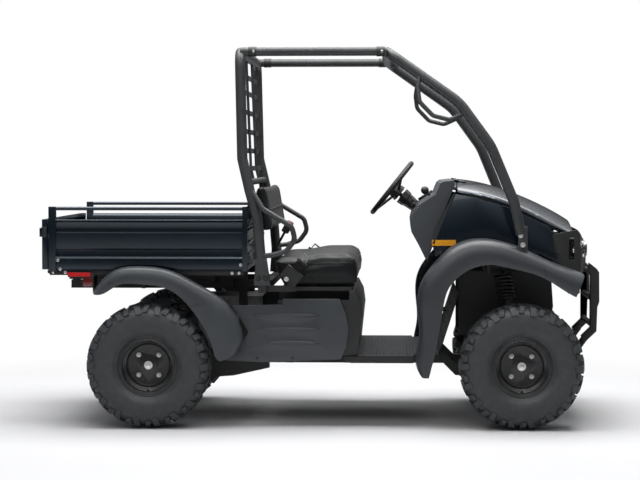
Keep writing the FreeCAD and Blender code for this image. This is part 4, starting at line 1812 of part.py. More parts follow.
def seat_belts():
    pieces = []
    for side in (-1, 1):
        x = forward(RETRACTOR_FROM_REAR)
        y = side * BELT_Y
        body = bar(x, y, RETRACTOR_Z - RETRACTOR_HEIGHT / 2, RETRACTOR_LENGTH, RETRACTOR_THICKNESS,
                   RETRACTOR_HEIGHT)
        body.rotate(Vector(x, y, RETRACTOR_Z), Vector(0, 1, 0), RETRACTOR_TILT)
        strap = bar(x, y, REAR_FOOT_BOTTOM_Z - CROSS_HEIGHT, RETRACTOR_THICKNESS, BELT_STRIP_THICKNESS,
                    RETRACTOR_Z - REAR_FOOT_BOTTOM_Z + CROSS_HEIGHT)
        tie = box(forward(HOOP_CROSS_FROM_REAR) + CROSS_WIDTH / 2, x + RETRACTOR_THICKNESS / 2,
                  y - BELT_STRIP_THICKNESS / 2, y + BELT_STRIP_THICKNESS / 2,
                  REAR_FOOT_BOTTOM_Z - CROSS_HEIGHT, REAR_FOOT_BOTTOM_Z)
        pieces.append(fused([body, strap, tie]))
    return pieces


# Cargo bed

def bed_post(x_from_rear, width):
    return bar(forward(x_from_rear), BED_PANEL_Y + (BED_HALF_WIDTH - BED_PANEL_Y) / 2, BED_POST_BOTTOM_Z,
               width,
               BED_HALF_WIDTH - BED_PANEL_Y, BED_TOP_Z - BED_POST_BOTTOM_Z)


def bed_panel_points():
    """Section of the pressed side panel as (y, z): up the outside and down the inside."""
    height = BED_PANEL_TOP_Z - BED_PANEL_BOTTOM_Z
    outer = []
    inner = []
    for out_share, height_share, step_share in BED_PRESS_SHARES:
        y = BED_PANEL_Y + BED_PRESS_DEPTH * out_share
        z = BED_PANEL_BOTTOM_Z + height * height_share
        outer.append((y, z))
        inner.append((y - BED_PANEL_THICKNESS, z - BED_PANEL_THICKNESS * step_share))
    return outer + list(reversed(inner))


def bed_side():
    """Pressed side panel with its posts and top rail."""
    rear = forward(BED_REAR_FROM_REAR)
    front = rear + BED_LENGTH
    corners = [Vector(rear, y, z) for y, z in bed_panel_points()]
    panel = Part.Face(Part.makePolygon(corners + corners[:1])).extrude(Vector(BED_LENGTH, 0, 0))
    pieces = [panel]
    pieces.append(bed_post(BED_REAR_FROM_REAR + BED_POST_WIDTH / 2, BED_POST_WIDTH))
    pieces.append(bed_post(BED_REAR_FROM_REAR + BED_LENGTH - BED_FRONT_POST_WIDTH / 2, BED_FRONT_POST_WIDTH))
    y = (BED_PANEL_Y + BED_HALF_WIDTH) / 2
    z = BED_TOP_Z - BED_RAIL_TUBE_RADIUS
    pieces.append(rod(Vector(rear, y, z), Vector(front, y, z), BED_RAIL_TUBE_RADIUS))
    return pieces


def bed_sides():
    pieces = []
    for shape in bed_side():
        pieces.extend(both_sides(shape))
    front = forward(BED_REAR_FROM_REAR) + BED_LENGTH
    x = front - BED_RAIL_TUBE_RADIUS
    y = (BED_PANEL_Y + BED_HALF_WIDTH) / 2
    z = BED_TOP_Z - BED_RAIL_TUBE_RADIUS
    pieces.append(box(front - BED_PANEL_THICKNESS, front, -BED_PANEL_Y, BED_PANEL_Y, BED_PANEL_BOTTOM_Z,
                      BED_PANEL_TOP_Z))
    pieces.append(rod(Vector(x, -y, z), Vector(x, y, z), BED_RAIL_TUBE_RADIUS))
    for rib_z in BED_RIB_Z:
        half = BED_PANEL_Y - BED_RIB_HEIGHT
        root = front - BED_PANEL_THICKNESS / 2
        pieces.append(side_prism([(root, rib_z - BED_RIB_HEIGHT / 2), (front + BED_RIB_DEPTH, rib_z),
                                  (root, rib_z + BED_RIB_HEIGHT / 2)], -half, half))
    for side in (-1, 1):
        pieces.append(bar(front - BED_FRONT_POST_WIDTH / 2, side * BED_RAIL_Y, BED_PANEL_BOTTOM_Z,
                          BED_FRONT_POST_WIDTH,
                          BED_POST_WIDTH, BED_TOP_Z - BED_PANEL_BOTTOM_Z - BED_RAIL_TUBE_RADIUS))
    return fused(pieces)


def bed_floor(sides):
    rear = forward(BED_REAR_FROM_REAR)
    front = rear + BED_LENGTH - BED_PANEL_THICKNESS
    inner = BED_PANEL_Y - BED_PANEL_THICKNESS
    plate = box(rear, front, -inner, inner, BED_FLOOR_BOTTOM_Z, BED_FLOOR_BOTTOM_Z + BED_FLOOR_THICKNESS)
    ribs = []
    pitch = 2 * inner / (BED_FLOOR_RIB_COUNT + 1)
    for index in range(BED_FLOOR_RIB_COUNT):
        y = -inner + pitch * (index + 1)
        ribs.append(box(rear, front, y - BED_FLOOR_RIB_WIDTH / 2, y + BED_FLOOR_RIB_WIDTH / 2,
                        BED_FLOOR_BOTTOM_Z + BED_FLOOR_THICKNESS,
                        BED_FLOOR_BOTTOM_Z + BED_FLOOR_THICKNESS + BED_FLOOR_RIB_HEIGHT))
    lip = box(rear, front, -BED_PANEL_Y, BED_PANEL_Y, BED_FLOOR_BOTTOM_Z, BED_PANEL_BOTTOM_Z)
    edge = lip.cut(box(rear - OVERRUN, front + OVERRUN, -inner + BED_PANEL_THICKNESS,
                       inner - BED_PANEL_THICKNESS,
                       BED_FLOOR_BOTTOM_Z - OVERRUN, BED_PANEL_BOTTOM_Z + OVERRUN))
    return fused([plate, edge] + ribs).cut(sides)


def bed_subframe():
    height = BED_FLOOR_BOTTOM_Z - BED_RAIL_BOTTOM_Z
    length = BED_RAIL_FRONT_FROM_REAR - BED_RAIL_REAR_FROM_REAR
    middle = forward((BED_RAIL_FRONT_FROM_REAR + BED_RAIL_REAR_FROM_REAR) / 2)
    pieces = []
    for side in (-1, 1):
        pieces.append(bar(middle, side * BED_RAIL_Y, BED_RAIL_BOTTOM_Z, length, BED_RAIL_WIDTH, height))
    for place in BED_CROSS_FROM_REAR:
        pieces.append(bar(forward(place), 0, BED_RAIL_BOTTOM_Z + BED_PAD_HEIGHT, CROSS_WIDTH,
                          2 * BED_CROSS_HALF_LENGTH, height - BED_PAD_HEIGHT))
        pieces.append(bar(forward(place), 0, BED_SKIRT_BOTTOM_Z, CROSS_WIDTH, 2 * BED_SKIRT_Y,
                          BED_FLOOR_BOTTOM_Z - BED_SKIRT_BOTTOM_Z))
    for side in (-1, 1):
        low, high = sorted((side * BED_SKIRT_Y, side * (BED_SKIRT_Y + BED_SKIRT_WIDTH)))
        pieces.append(box(forward(BED_REAR_FROM_REAR), forward(BED_RAIL_FRONT_FROM_REAR), low, high,
                          BED_SKIRT_BOTTOM_Z,
                          BED_FLOOR_BOTTOM_Z))
    x = forward(BED_PIVOT_FROM_REAR)
    hole = rod(Vector(x, -OVERALL_WIDTH, BED_PIVOT_Z), Vector(x, OVERALL_WIDTH, BED_PIVOT_Z),
               BED_PIN_RADIUS + PIN_CLEARANCE)
    frame = fused(pieces).cut(hole)
    hinge_x = forward(TAILGATE_HINGE_FROM_REAR)
    ears = []
    for side in (-1, 1):
        for step in (-1, 1):
            y = side * TAILGATE_HINGE_Y + step * (TAILGATE_HINGE_LENGTH / 2 + TAILGATE_KNUCKLE_RADIUS)
            half = TAILGATE_KNUCKLE_RADIUS / 2
            knuckle_barrel = rod(Vector(hinge_x, y - half, TAILGATE_HINGE_Z),
                                 Vector(hinge_x, y + half, TAILGATE_HINGE_Z),
                                 TAILGATE_KNUCKLE_RADIUS)
            leg = box(hinge_x, forward(BED_REAR_FROM_REAR) + CROSS_WIDTH, y - half, y + half,
                      TAILGATE_HINGE_Z - TAILGATE_KNUCKLE_RADIUS, BED_FLOOR_BOTTOM_Z)
            ears.extend([knuckle_barrel, leg])
        pin_low = side * TAILGATE_HINGE_Y - TAILGATE_HINGE_LENGTH / 2 - TAILGATE_KNUCKLE_RADIUS
        pin_high = side * TAILGATE_HINGE_Y + TAILGATE_HINGE_LENGTH / 2 + TAILGATE_KNUCKLE_RADIUS
        ears.append(rod(Vector(hinge_x, pin_low, TAILGATE_HINGE_Z),
                        Vector(hinge_x, pin_high, TAILGATE_HINGE_Z),
                        TAILGATE_HINGE_RADIUS))
    beam = bar(forward(BED_REAR_FROM_REAR) + CROSS_WIDTH * BED_BEAM_SHARE, 0,
               BED_FLOOR_BOTTOM_Z - CROSS_HEIGHT / 2,
               CROSS_WIDTH / 2, 2 * BED_PANEL_Y, CROSS_HEIGHT / 2)
    links = []
    for side in (-1, 1):
        links.append(box(forward(BED_REAR_FROM_REAR) + CROSS_WIDTH / 2,
                         forward(BED_RAIL_REAR_FROM_REAR) + CROSS_WIDTH,
                         side * BED_RAIL_Y - BED_RAIL_WIDTH / 2, side * BED_RAIL_Y + BED_RAIL_WIDTH / 2,
                         BED_FLOOR_BOTTOM_Z - CROSS_HEIGHT / 2, BED_FLOOR_BOTTOM_Z))
    return fused([frame, beam] + links + ears)


def tailgate():
    x0 = forward(TAILGATE_REAR_FROM_REAR)
    x1 = forward(BED_REAR_FROM_REAR) - MOVING_GAP
    z1 = BED_PANEL_TOP_Z
    half = BED_HALF_WIDTH - BED_RAIL_TUBE_RADIUS
    pan = box(x0, x1, -half, half, TAILGATE_BOTTOM_Z + MOVING_GAP, z1)
    recess = box(x0 + BED_RIB_DEPTH, x1 + OVERRUN, -half + BED_POST_WIDTH, half - BED_POST_WIDTH,
                 TAILGATE_BOTTOM_Z + BED_POST_WIDTH, z1 - BED_POST_WIDTH / 2)
    pieces = [pan.cut(recess)]
    for z in BED_RIB_Z[1:]:
        pieces.append(box(x0 - BED_RIB_DEPTH / 2, x0 + BED_RIB_DEPTH, -half + BED_POST_WIDTH,
                          half - BED_POST_WIDTH,
                          z - BED_RIB_HEIGHT / 2, z + BED_RIB_HEIGHT / 2))
    hinge_x = forward(TAILGATE_HINGE_FROM_REAR)
    for side in (-1, 1):
        low = side * TAILGATE_HINGE_Y - TAILGATE_HINGE_LENGTH / 2
        barrel = rod(Vector(hinge_x, low, TAILGATE_HINGE_Z),
                     Vector(hinge_x, low + TAILGATE_HINGE_LENGTH, TAILGATE_HINGE_Z),
                     TAILGATE_KNUCKLE_RADIUS)
        leaf = box(hinge_x - TAILGATE_KNUCKLE_RADIUS, hinge_x, low, low + TAILGATE_HINGE_LENGTH,
                   TAILGATE_HINGE_Z,
                   TAILGATE_BOTTOM_Z + 2 * MOVING_GAP)
        pieces.extend([barrel, leaf])
        latch_y = side * (half - TAILGATE_LATCH_WIDTH / 2)
        pieces.append(box(-OVERALL_LENGTH / 2, x0 + BED_RIB_DEPTH,
                          latch_y - TAILGATE_LATCH_WIDTH / 2, latch_y + TAILGATE_LATCH_WIDTH / 2,
                          z1 - 2 * TAILGATE_LATCH_HEIGHT, z1 - TAILGATE_LATCH_HEIGHT))
    bore = rod(Vector(hinge_x, -OVERALL_WIDTH, TAILGATE_HINGE_Z),
               Vector(hinge_x, OVERALL_WIDTH, TAILGATE_HINGE_Z),
               TAILGATE_HINGE_RADIUS + PIN_CLEARANCE)
    return fused(pieces).cut(bore)


# Lamps, markers and small controls

def tail_lamps():
    pieces = []
    for side in (-1, 1):
        x = forward(TAIL_LAMP_FROM_REAR)
        lamp = bar(x, side * TAIL_LAMP_Y, TAIL_LAMP_Z - TAIL_LAMP_HEIGHT / 2, TAIL_LAMP_LENGTH,
                   TAIL_LAMP_WIDTH,
                   TAIL_LAMP_HEIGHT)
        pieces.append(lamp)
    return pieces


def lamp_brackets():
    """Brackets that hold the rear lamps and reflectors to the frame's rear cross member."""
    wall = LAMP_BRACKET_THICKNESS
    low = UPPER_RAIL_TOP_Z - UPPER_RAIL_HEIGHT
    lamp_front = forward(TAIL_LAMP_FROM_REAR) + TAIL_LAMP_LENGTH / 2
    reflector_y = REFLECTOR_Y - REFLECTOR_THICKNESS
    reflector_low = REFLECTOR_Z - REFLECTOR_HEIGHT / 2
    pieces = []
    for side in (-1, 1):
        plate = box(lamp_front, lamp_front + wall, LAMP_CROSS_HALF_LENGTH - TAIL_LAMP_WIDTH / 2, reflector_y,
                    low + wall, BED_SKIRT_BOTTOM_Z - MOVING_GAP)
        arm = box(forward(REFLECTOR_FROM_REAR) - REFLECTOR_LENGTH / 2, lamp_front + wall,
                  reflector_y - wall, reflector_y, reflector_low - wall, reflector_low + REFLECTOR_HEIGHT)
        bracket = fused([plate, arm])
        pieces.append(bracket if side > 0 else mirrored(bracket))
    return pieces


def reflectors():
    pieces = []
    for side in (-1, 1):
        low = REFLECTOR_Y - REFLECTOR_THICKNESS
        reflector = box(forward(REFLECTOR_FROM_REAR) - REFLECTOR_LENGTH / 2,
                        forward(REFLECTOR_FROM_REAR) + REFLECTOR_LENGTH / 2,
                        low, low + REFLECTOR_THICKNESS,
                        REFLECTOR_Z - REFLECTOR_HEIGHT / 2, REFLECTOR_Z + REFLECTOR_HEIGHT / 2)
        pieces.append(reflector if side > 0 else mirrored(reflector))
    return pieces


def side_marker(cowl):
    x = forward(MARKER_FROM_REAR)
    face_y = COWL_OUTER_Y - (MARKER_Z + MARKER_HEIGHT / 2 - COWL_LEAN_Z) * math.tan(math.radians(COWL_LEAN))
    block = box(x - MARKER_LENGTH / 2, x + MARKER_LENGTH / 2, face_y - REST_GAP, COWL_OUTER_Y,
                MARKER_Z - MARKER_HEIGHT / 2, MARKER_Z + MARKER_HEIGHT / 2)
    return max(block.cut(cowl).Solids, key=lambda solid: solid.CenterOfMass.y)


def control_levers(floor):
    lever = rod(shifter_foot(), shifter_top(), SHIFTER_ROD_RADIUS)
    knob = Part.makeSphere(SHIFTER_KNOB_RADIUS, shifter_top())
    pieces = [fused([lever, knob])]
    for y in PEDAL_Y:
        x = forward(PEDAL_FROM_REAR)
        pad = bar(x, y, PEDAL_Z, PEDAL_THICKNESS, PEDAL_WIDTH, PEDAL_HEIGHT)
        z = PEDAL_Z + PEDAL_HEIGHT / 2
        arm = rod(Vector(x, y, z), Vector(forward(TOE_BOARD_TOP_FROM_REAR), y, z),
                  PEDAL_ARM_RADIUS).cut(floor)
        arm = min(arm.Solids, key=lambda solid: solid.CenterOfMass.x)
        pieces.append(fused([pad, arm]))
    return pieces


def write_vehicle():
    write_wheels()
    front_panel = front_fender()
    rear_panel = rear_fender()
    cowl = cowl_side(front_panel)
    nose = grille_surround()
    ladder = main_frame()
    save("main_frame", [ladder])
    save("rear_subframe", [rear_subframe(rear_panel, ladder)])
    tower = front_subframe(front_panel, cowl, nose, ladder)
    save("front_subframe", [tower])
    save("dash_frame", [dash_frame(ladder)])
    save("radiator", [radiator()])
    save("inner_panels", both_sides(inner_panel(tower)))
    for side, name in ((1, "left"), (-1, "right")):
        place = (lambda shape: shape) if side > 0 else mirrored
        save("knuckle_" + name, [place(knuckle())])
        save("front_strut_" + name, [place(strut()), place(strut_spring())])
    save("front_arms", both_sides(front_arm()))
    save("side_covers", both_sides(side_cover()))
    save("front_fenders", both_sides(front_panel))
    save("rear_fenders", both_sides(rear_panel))
    save("cowl_sides", both_sides(cowl))
    save("tie_rods", [tie_rods()])
    save("steering_wheel", [steering_wheel()])
    save("lower_steering_shaft", [lower_shaft()])
    save("steering_column", steering_column())
    save("front_drive", [front_drive()])
    save("rear_axle", [rear_axle()])
    shock = rear_shock()
    save("rear_shocks", both_sides(shock[0]) + both_sides(shock[1]))
    save("engine_block", [engine_block()])
    floor = floorboard()
    save("floorboard", [floor])
    save("seat_pedestal", [seat_pedestal()])
    save("hood_lid", [hood_lid()])
    save("dashboard", [dashboard()])
    save("grille_surround", [nose])
    save("headlamps", [headlamp(-1), headlamp(1)])
    save("brush_guard", [brush_guard()])
    hoop_rear = rear_hoop()
    hoop_front = front_hoop()
    save("rear_hoop", [hoop_rear])
    save("front_hoop", [hoop_front, grab_handle(-1, hoop_front), grab_handle(1, hoop_front)])
    save("roof_tubes", roof_tubes([hoop_rear, hoop_front]))
    save("rear_screen", [rear_screen(hoop_rear)])
    save("hip_guards", [hip_guard(-1, hoop_rear), hip_guard(1, hoop_rear)])
    back = seat_back()
    cushion = seat_cushion()
    save("seat_back", [back])
    save("seat_cushion", [cushion])
    save("seat_frame", seat_frame(back, cushion, hoop_rear))
    save("seat_belts", seat_belts())
    sides = bed_sides()
    save("bed_sides", [sides])
    save("bed_floor", [bed_floor(sides)])
    save("bed_subframe", [bed_subframe()])
    save("tailgate", [tailgate()])
    save("tail_lamps", tail_lamps() + lamp_brackets())
    save("reflectors", reflectors())
    save("side_markers", both_sides(side_marker(cowl)))
    save("control_levers", control_levers(floor))


os.makedirs("parts", exist_ok=True)
write_vehicle()
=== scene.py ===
"""Looks of a side by side utility vehicle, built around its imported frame.

Lengths are metres in the frame's own axes: +X forward, +Y to the vehicle's left, +Z up. Places measured along the
vehicle are given from the rear axle, in millimetres, and become frame points through `spot`.
"""

from __future__ import annotations

import json
import logging
import math
from abc import ABC, abstractmethod
from contextlib import contextmanager
from dataclasses import dataclass
from enum import Enum
from typing import ClassVar, Iterator, Sequence

import bmesh
import bpy
from mathutils import Matrix, Vector
from mathutils.bvhtree import BVHTree

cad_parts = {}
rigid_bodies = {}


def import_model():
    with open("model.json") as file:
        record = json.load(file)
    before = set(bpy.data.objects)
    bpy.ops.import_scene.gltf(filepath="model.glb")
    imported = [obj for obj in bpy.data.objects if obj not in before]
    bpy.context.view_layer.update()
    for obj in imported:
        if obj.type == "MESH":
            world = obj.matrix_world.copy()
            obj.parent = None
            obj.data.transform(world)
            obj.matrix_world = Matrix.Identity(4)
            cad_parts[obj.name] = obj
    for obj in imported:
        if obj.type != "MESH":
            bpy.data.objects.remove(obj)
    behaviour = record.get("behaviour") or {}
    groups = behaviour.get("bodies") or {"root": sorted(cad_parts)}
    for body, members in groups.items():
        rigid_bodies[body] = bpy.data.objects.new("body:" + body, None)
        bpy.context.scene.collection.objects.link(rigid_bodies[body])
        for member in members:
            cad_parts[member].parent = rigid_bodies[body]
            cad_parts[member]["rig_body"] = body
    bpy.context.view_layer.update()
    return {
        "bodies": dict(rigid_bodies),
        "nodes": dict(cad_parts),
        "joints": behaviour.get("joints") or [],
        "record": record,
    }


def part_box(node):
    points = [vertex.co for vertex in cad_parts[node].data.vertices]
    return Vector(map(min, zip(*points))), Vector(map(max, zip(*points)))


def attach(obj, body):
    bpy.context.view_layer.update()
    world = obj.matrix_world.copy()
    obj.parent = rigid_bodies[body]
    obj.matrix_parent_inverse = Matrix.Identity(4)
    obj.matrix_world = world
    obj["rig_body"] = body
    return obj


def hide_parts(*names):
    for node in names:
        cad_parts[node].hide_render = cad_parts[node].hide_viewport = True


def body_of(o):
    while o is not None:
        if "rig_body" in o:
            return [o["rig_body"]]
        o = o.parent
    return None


LOG = logging.getLogger("utility_vehicle")
MM = 0.001
REAR_AXLE_X = -0.830
WHEELBASE = 1.785
AXLE_Z = 0.300
SIDES = (-1, 1)
FAR_SIDE = 1200.0
MERGE = 1e-6
SMOOTH_ANGLE = math.radians(32)
WHITE = (1.0, 1.0, 1.0)
UP = Vector((0, 0, 1))
NO_TURN = Matrix.Identity(3)

Pair = tuple[float, float]
Pairs = tuple[Pair, ...]
Triple = tuple[float, float, float]
Colour = Triple
# First and last level of a disc on its axis, its radius at both, its number of sides and the radius of its edges.
Disc = tuple[float, float, float, float, int, float]
Discs = tuple[Disc, ...]
# Middle of a block in its own frame, its size, the radius of its edges and the steps of their rounding.
Block = tuple[Triple, Triple, float, int]
Blocks = tuple[Block, ...]

PLUG_HEAD: Discs = ((-0.05, 0.10, 0.50, 0.47, 24, 0.0), (0.10, 0.20, 0.40, 0.22, 24, 0.0))
BOLT_HEAD: Discs = ((0.0, 0.16, 0.66, 0.60, 20, 0.0), (0.16, 0.62, 0.50, 0.50, 6, 0.05))


def spot(from_rear: float, y: float, z: float) -> Vector:
    """Turns a place in millimetres, with its length from the rear axle, into a point of the frame."""
    return Vector((REAR_AXLE_X + from_rear * MM, y * MM, z * MM))


# Shader maths


class Term:
    """A shader value that takes part in plain arithmetic."""

    def __init__(self, graph: Graph, socket: bpy.types.NodeSocket) -> None:
        """Keeps the graph and the socket that the value comes from."""
        self.graph = graph
        self.socket = socket

    def _with(self, operation: str, *values: Term | float) -> Term:
        """Adds one Math node and returns its result."""
        return self.graph.add("ShaderNodeMath", {"operation": operation}, dict(enumerate(values)))

    def __add__(self, other: Term | float) -> Term:
        """Sum."""
        return self._with("ADD", self, other)

    __radd__ = __add__

    def __sub__(self, other: Term | float) -> Term:
        """Difference."""
        return self._with("SUBTRACT", self, other)

    def __rsub__(self, other: Term | float) -> Term:
        """Difference from a number."""
        return self._with("SUBTRACT", other, self)

    def __mul__(self, other: Term | float) -> Term:
        """Product."""
        return self._with("MULTIPLY", self, other)

    __rmul__ = __mul__

    def apart(self, place: float) -> Term:
        """Distance from a number."""
        return self._with("ABSOLUTE", self - place)

    def highest(self, other: Term | float) -> Term:
        """The larger of two values."""
        return self._with("MAXIMUM", self, other)

    def steps(self, low: float, high: float, least: float = 0.0, most: float = 1.0) -> Term:
        """Rises smoothly from its least value at low to its most at high."""
        inputs = {0: self, 1: low, 2: high, 3: least, 4: most}
        return self.graph.add("ShaderNodeMapRange", {"interpolation_type": "SMOOTHSTEP"}, inputs)


class Graph:
    """The nodes of one material or world."""

    def __init__(self, owner: bpy.types.Material | bpy.types.World, output: str) -> None:
        """Empties the owner's nodes and adds the output.

        Args:
            owner: The material or the world.
            output: Blender's name of the output node's type.
        """
        self.owner = owner
        owner.use_nodes = True
        self.tree = owner.node_tree
        self.tree.nodes.clear()
        self.output = self.tree.nodes.new(output)

    def add(
        self,
        kind: str,
        settings: dict[str, object] | None = None,
        inputs: dict[int | str, object] | None = None,
        output: int | str = 0,
    ) -> Term:
        """Adds a node, sets it up and feeds its sockets.

        Args:
            kind: Blender's name of the node type.
            settings: Properties that are set first.
            inputs: Values or terms for the node's sockets.
            output: The socket whose value is returned.

        Returns:
            The value of the chosen output.
        """
        node = self.tree.nodes.new(kind)
        for key, value in (settings or {}).items():
            setattr(node, key, value)
        for key, value in (inputs or {}).items():
            self.feed(node.inputs[key], value)
        return Term(self, node.outputs[output])

    def feed(self, socket: bpy.types.NodeSocket, value: object) -> None:
        """Links a term to a socket or sets the socket's own value.

        Args:
            socket: The socket.
            value: A term, a number, a colour or a vector.
        """
        if isinstance(value, Term):
            self.tree.links.new(value.socket, socket)
        else:
            socket.default_value = (*value, 1.0) if socket.type == "RGBA" else value

    def show(self, shader: Term) -> None:
        """Makes a shader the one that is seen."""
        self.tree.links.new(shader.socket, self.output.inputs[0])

    def place(self) -> Term:
        """Object coordinates, which are the frame's own metres."""
        return self.add("ShaderNodeTexCoord", output="Object")

    def ray(self, kind: str) -> Term:
        """1 for one kind of ray."""
        return self.add("ShaderNodeLightPath", output=f"Is {kind} Ray")

    def blend(self, factor: Term, first: Term, second: Term) -> Term:
        """Shader between two shaders."""
        return self.add("ShaderNodeMixShader", inputs={0: factor, 1: first, 2: second})

    def axis(self, vector: Term, name: str) -> Term:
        """One coordinate of a vector."""
        return self.add("ShaderNodeSeparateXYZ", inputs={0: vector}, output=name)

    def noise(self, scale: float, detail: float) -> Term:
        """Soft noise from 0 to 1."""
        return self.add("ShaderNodeTexNoise", inputs={"Vector": self.place(), "Scale": scale, "Detail": detail})

    def patches(self, scale: float, detail: float, low: float, high: float) -> Term:
        """Noise that is 0 below low and 1 above high."""
        return self.noise(scale, detail).steps(low, high)

    def cells(self, scale: float, feature: str = "F1") -> Term:
        """Distance inside the cells of a Voronoi pattern."""
        inputs = {"Vector": self.place(), "Scale": scale}
        return self.add("ShaderNodeTexVoronoi", {"feature": feature}, inputs, "Distance")

    def mix(self, factor: Term | float, first: object, second: object) -> Term:
        """Colour between two colours."""
        return self.add("ShaderNodeMix", {"data_type": "RGBA"}, {0: factor, 6: first, 7: second}, 2)

    def bump(self, height: Term, distance: float, strength: float) -> Term:
        """Normal of a surface raised by a height in metres times the distance."""
        return self.add("ShaderNodeBump", inputs={"Height": height, "Distance": distance, "Strength": strength})


class Surface(Graph):
    """A material around a Principled shader."""

    def __init__(self, name: str) -> None:
        """Makes the material and shows its shader.

        Args:
            name: The material's name.
        """
        super().__init__(bpy.data.materials.new(name), "ShaderNodeOutputMaterial")
        self.shader = self.tree.nodes.new("ShaderNodeBsdfPrincipled")
        self.show(self.shaded())

    def shaded(self) -> Term:
        """What the shader gives."""
        return Term(self, self.shader.outputs[0])

    def set(self, **sockets: object) -> None:
        """Feeds sockets of the shader, named with underscores for blanks."""
        for key, value in sockets.items():
            self.feed(self.shader.inputs[key.replace("_", " ")], value)


# Finishes


@dataclass(frozen=True)
class Finish(ABC):
    """A surface finish that builds one material."""

    name: str
    slot: str
    colour: Colour
    roughness: float
    gloss: ClassVar[float]

    @abstractmethod
    def dress(self, graph: Surface) -> None:
        """Feeds the shader."""

    def tones(self, graph: Surface, factor: Term, dark: float, light: float) -> Term:
        """The colour between two shares of its brightness."""
        return graph.mix(factor, self.shade(dark), self.shade(light))

    def shade(self, amount: float) -> Colour:
        """The colour made lighter or darker by a share."""
        return tuple(min(1.0, channel * amount) for channel in self.colour)

    def lay(self, graph: Surface, colour: Term, rough: Term, normal: Term, **others: object) -> None:
        """Feeds a colour, the roughness beyond the finish's own, a normal and other sockets."""
        graph.set(Base_Color=colour, Roughness=rough + self.roughness, Normal=normal, **others)

    def material(self) -> bpy.types.Material:
        """Builds the material once and returns it from then on.

        Returns:
            The material.
        """
        found = bpy.data.materials.get(self.name)
        if found:
            return found
        graph = Surface(self.name)
        graph.set(Specular_IOR_Level=self.gloss)
        self.dress(graph)
        return graph.owner


@dataclass(frozen=True)
class GlossPaint(Finish):
    """Sprayed body colour under a clear coat."""

    gloss: ClassVar[float] = 0.40
    dust_colour: ClassVar[Colour] = (0.030, 0.033, 0.037)
    tint: ClassVar[Colour] = (0.70, 0.84, 1.0)
    coat: float = 0.7

    def dress(self, graph: Surface) -> None:
        """Body colour with a faint drift of tone, an even coat and a light film of dust low down.

        Args:
            graph: The material's nodes.
        """
        low_down = 1.0 - graph.axis(graph.place(), "Z").steps(0.70, 1.0)
        dust = graph.patches(24.0, 5.0, 0.55, 0.8) * low_down
        tone = self.tones(graph, graph.patches(3.5, 3.0, 0.35, 0.7), 0.86, 1.12)
        grain = graph.noise(420.0, 2.0)
        self.lay(
            graph,
            graph.mix(dust * 0.35, tone, self.dust_colour),
            dust * 0.25 + grain * 0.05,
            graph.bump(grain, 0.00005, 0.35),
            Specular_Tint=self.tint,
            Coat_Weight=self.coat,
            Coat_Roughness=0.06,
        )


@dataclass(frozen=True)
class PowderSteel(Finish):
    """Powder coated steel tube and plate."""

    gloss: ClassVar[float] = 0.50

    def dress(self, graph: Surface) -> None:
        """Satin black with a fine orange peel and paler rubbed spots.

        Args:
            graph: The material's nodes.
        """
        peel = graph.noise(900.0, 2.0)
        rubbed = graph.patches(38.0, 6.0, 0.62, 0.74)
        tone = self.tones(graph, graph.patches(6.0, 3.0, 0.3, 0.7), 0.85, 1.15)
        colour = graph.mix(rubbed * 0.35, tone, self.shade(2.2))
        self.lay(graph, colour, peel * 0.10 + rubbed * 0.12, graph.bump(peel, 0.00012, 0.5))


@dataclass(frozen=True)
class MouldedPlastic(Finish):
    """Moulded plastic with a spark eroded grain, and seams at some stations of length and levels of height."""

    gloss: ClassVar[float] = 0.50
    seam_edges: ClassVar[Pair] = (0.0007, 0.0020)
    grain: float = 1300.0
    stations: tuple[float, ...] = ()
    levels: tuple[float, ...] = ()

    def dress(self, graph: Surface) -> None:
        """Even plastic with a pebbled grain, slight flow marks, dry dust in the grain and its seams.

        Args:
            graph: The material's nodes.
        """
        height = pebbles = graph.cells(self.grain)
        dust = graph.patches(60.0, 6.0, 0.5, 0.9)
        tone = self.tones(graph, graph.patches(5.0, 4.0, 0.3, 0.75), 0.90, 1.10)
        colour = graph.mix(dust * 0.18, tone, self.shade(1.6))
        for axis, places in (("X", self.stations), ("Z", self.levels)):
            for place in places:
                seam = 1.0 - graph.axis(graph.place(), axis).apart(place).steps(*self.seam_edges)
                colour = graph.mix(seam * 0.85, colour, self.shade(0.2))
                height = height - seam * 6.0
        self.lay(graph, colour, pebbles * 0.10 + dust * 0.06, graph.bump(height, 0.00016, 0.55))


@dataclass(frozen=True)
class Vinyl(Finish):
    """Coated seat cloth with a leather grain."""

    gloss: ClassVar[float] = 0.20

    def dress(self, graph: Surface) -> None:
        """Black vinyl with pebbled grain, soft creases and a rubbed sheen.

        Args:
            graph: The material's nodes.
        """
        pebbles = graph.cells(620.0, "SMOOTH_F1")
        veins = graph.cells(240.0, "DISTANCE_TO_EDGE").steps(0.0, 0.10)
        rubbed = graph.patches(7.0, 3.0, 0.45, 0.75)
        height = pebbles * 0.5 + veins * 0.35 + graph.noise(14.0, 3.0) * 1.2
        colour = self.tones(graph, rubbed, 0.85, 1.25)
        self.lay(graph, colour, pebbles * 0.16 - rubbed * 0.06, graph.bump(height, 0.0004, 0.5), Sheen_Weight=0.05)


@dataclass(frozen=True)
class TyreRubber(Finish):
    """Tyre rubber, drier on the side walls."""

    gloss: ClassVar[float] = 0.45

    def dress(self, graph: Surface) -> None:
        """Grey black rubber with fine mould marks and pale dust.

        Args:
            graph: The material's nodes.
        """
        fine = graph.noise(700.0, 3.0)
        colour = self.tones(graph, graph.patches(30.0, 6.0, 0.42, 0.72) * 0.5, 1.0, 1.6)
        self.lay(graph, colour, fine * 0.12, graph.bump(fine, 0.0003, 0.5))


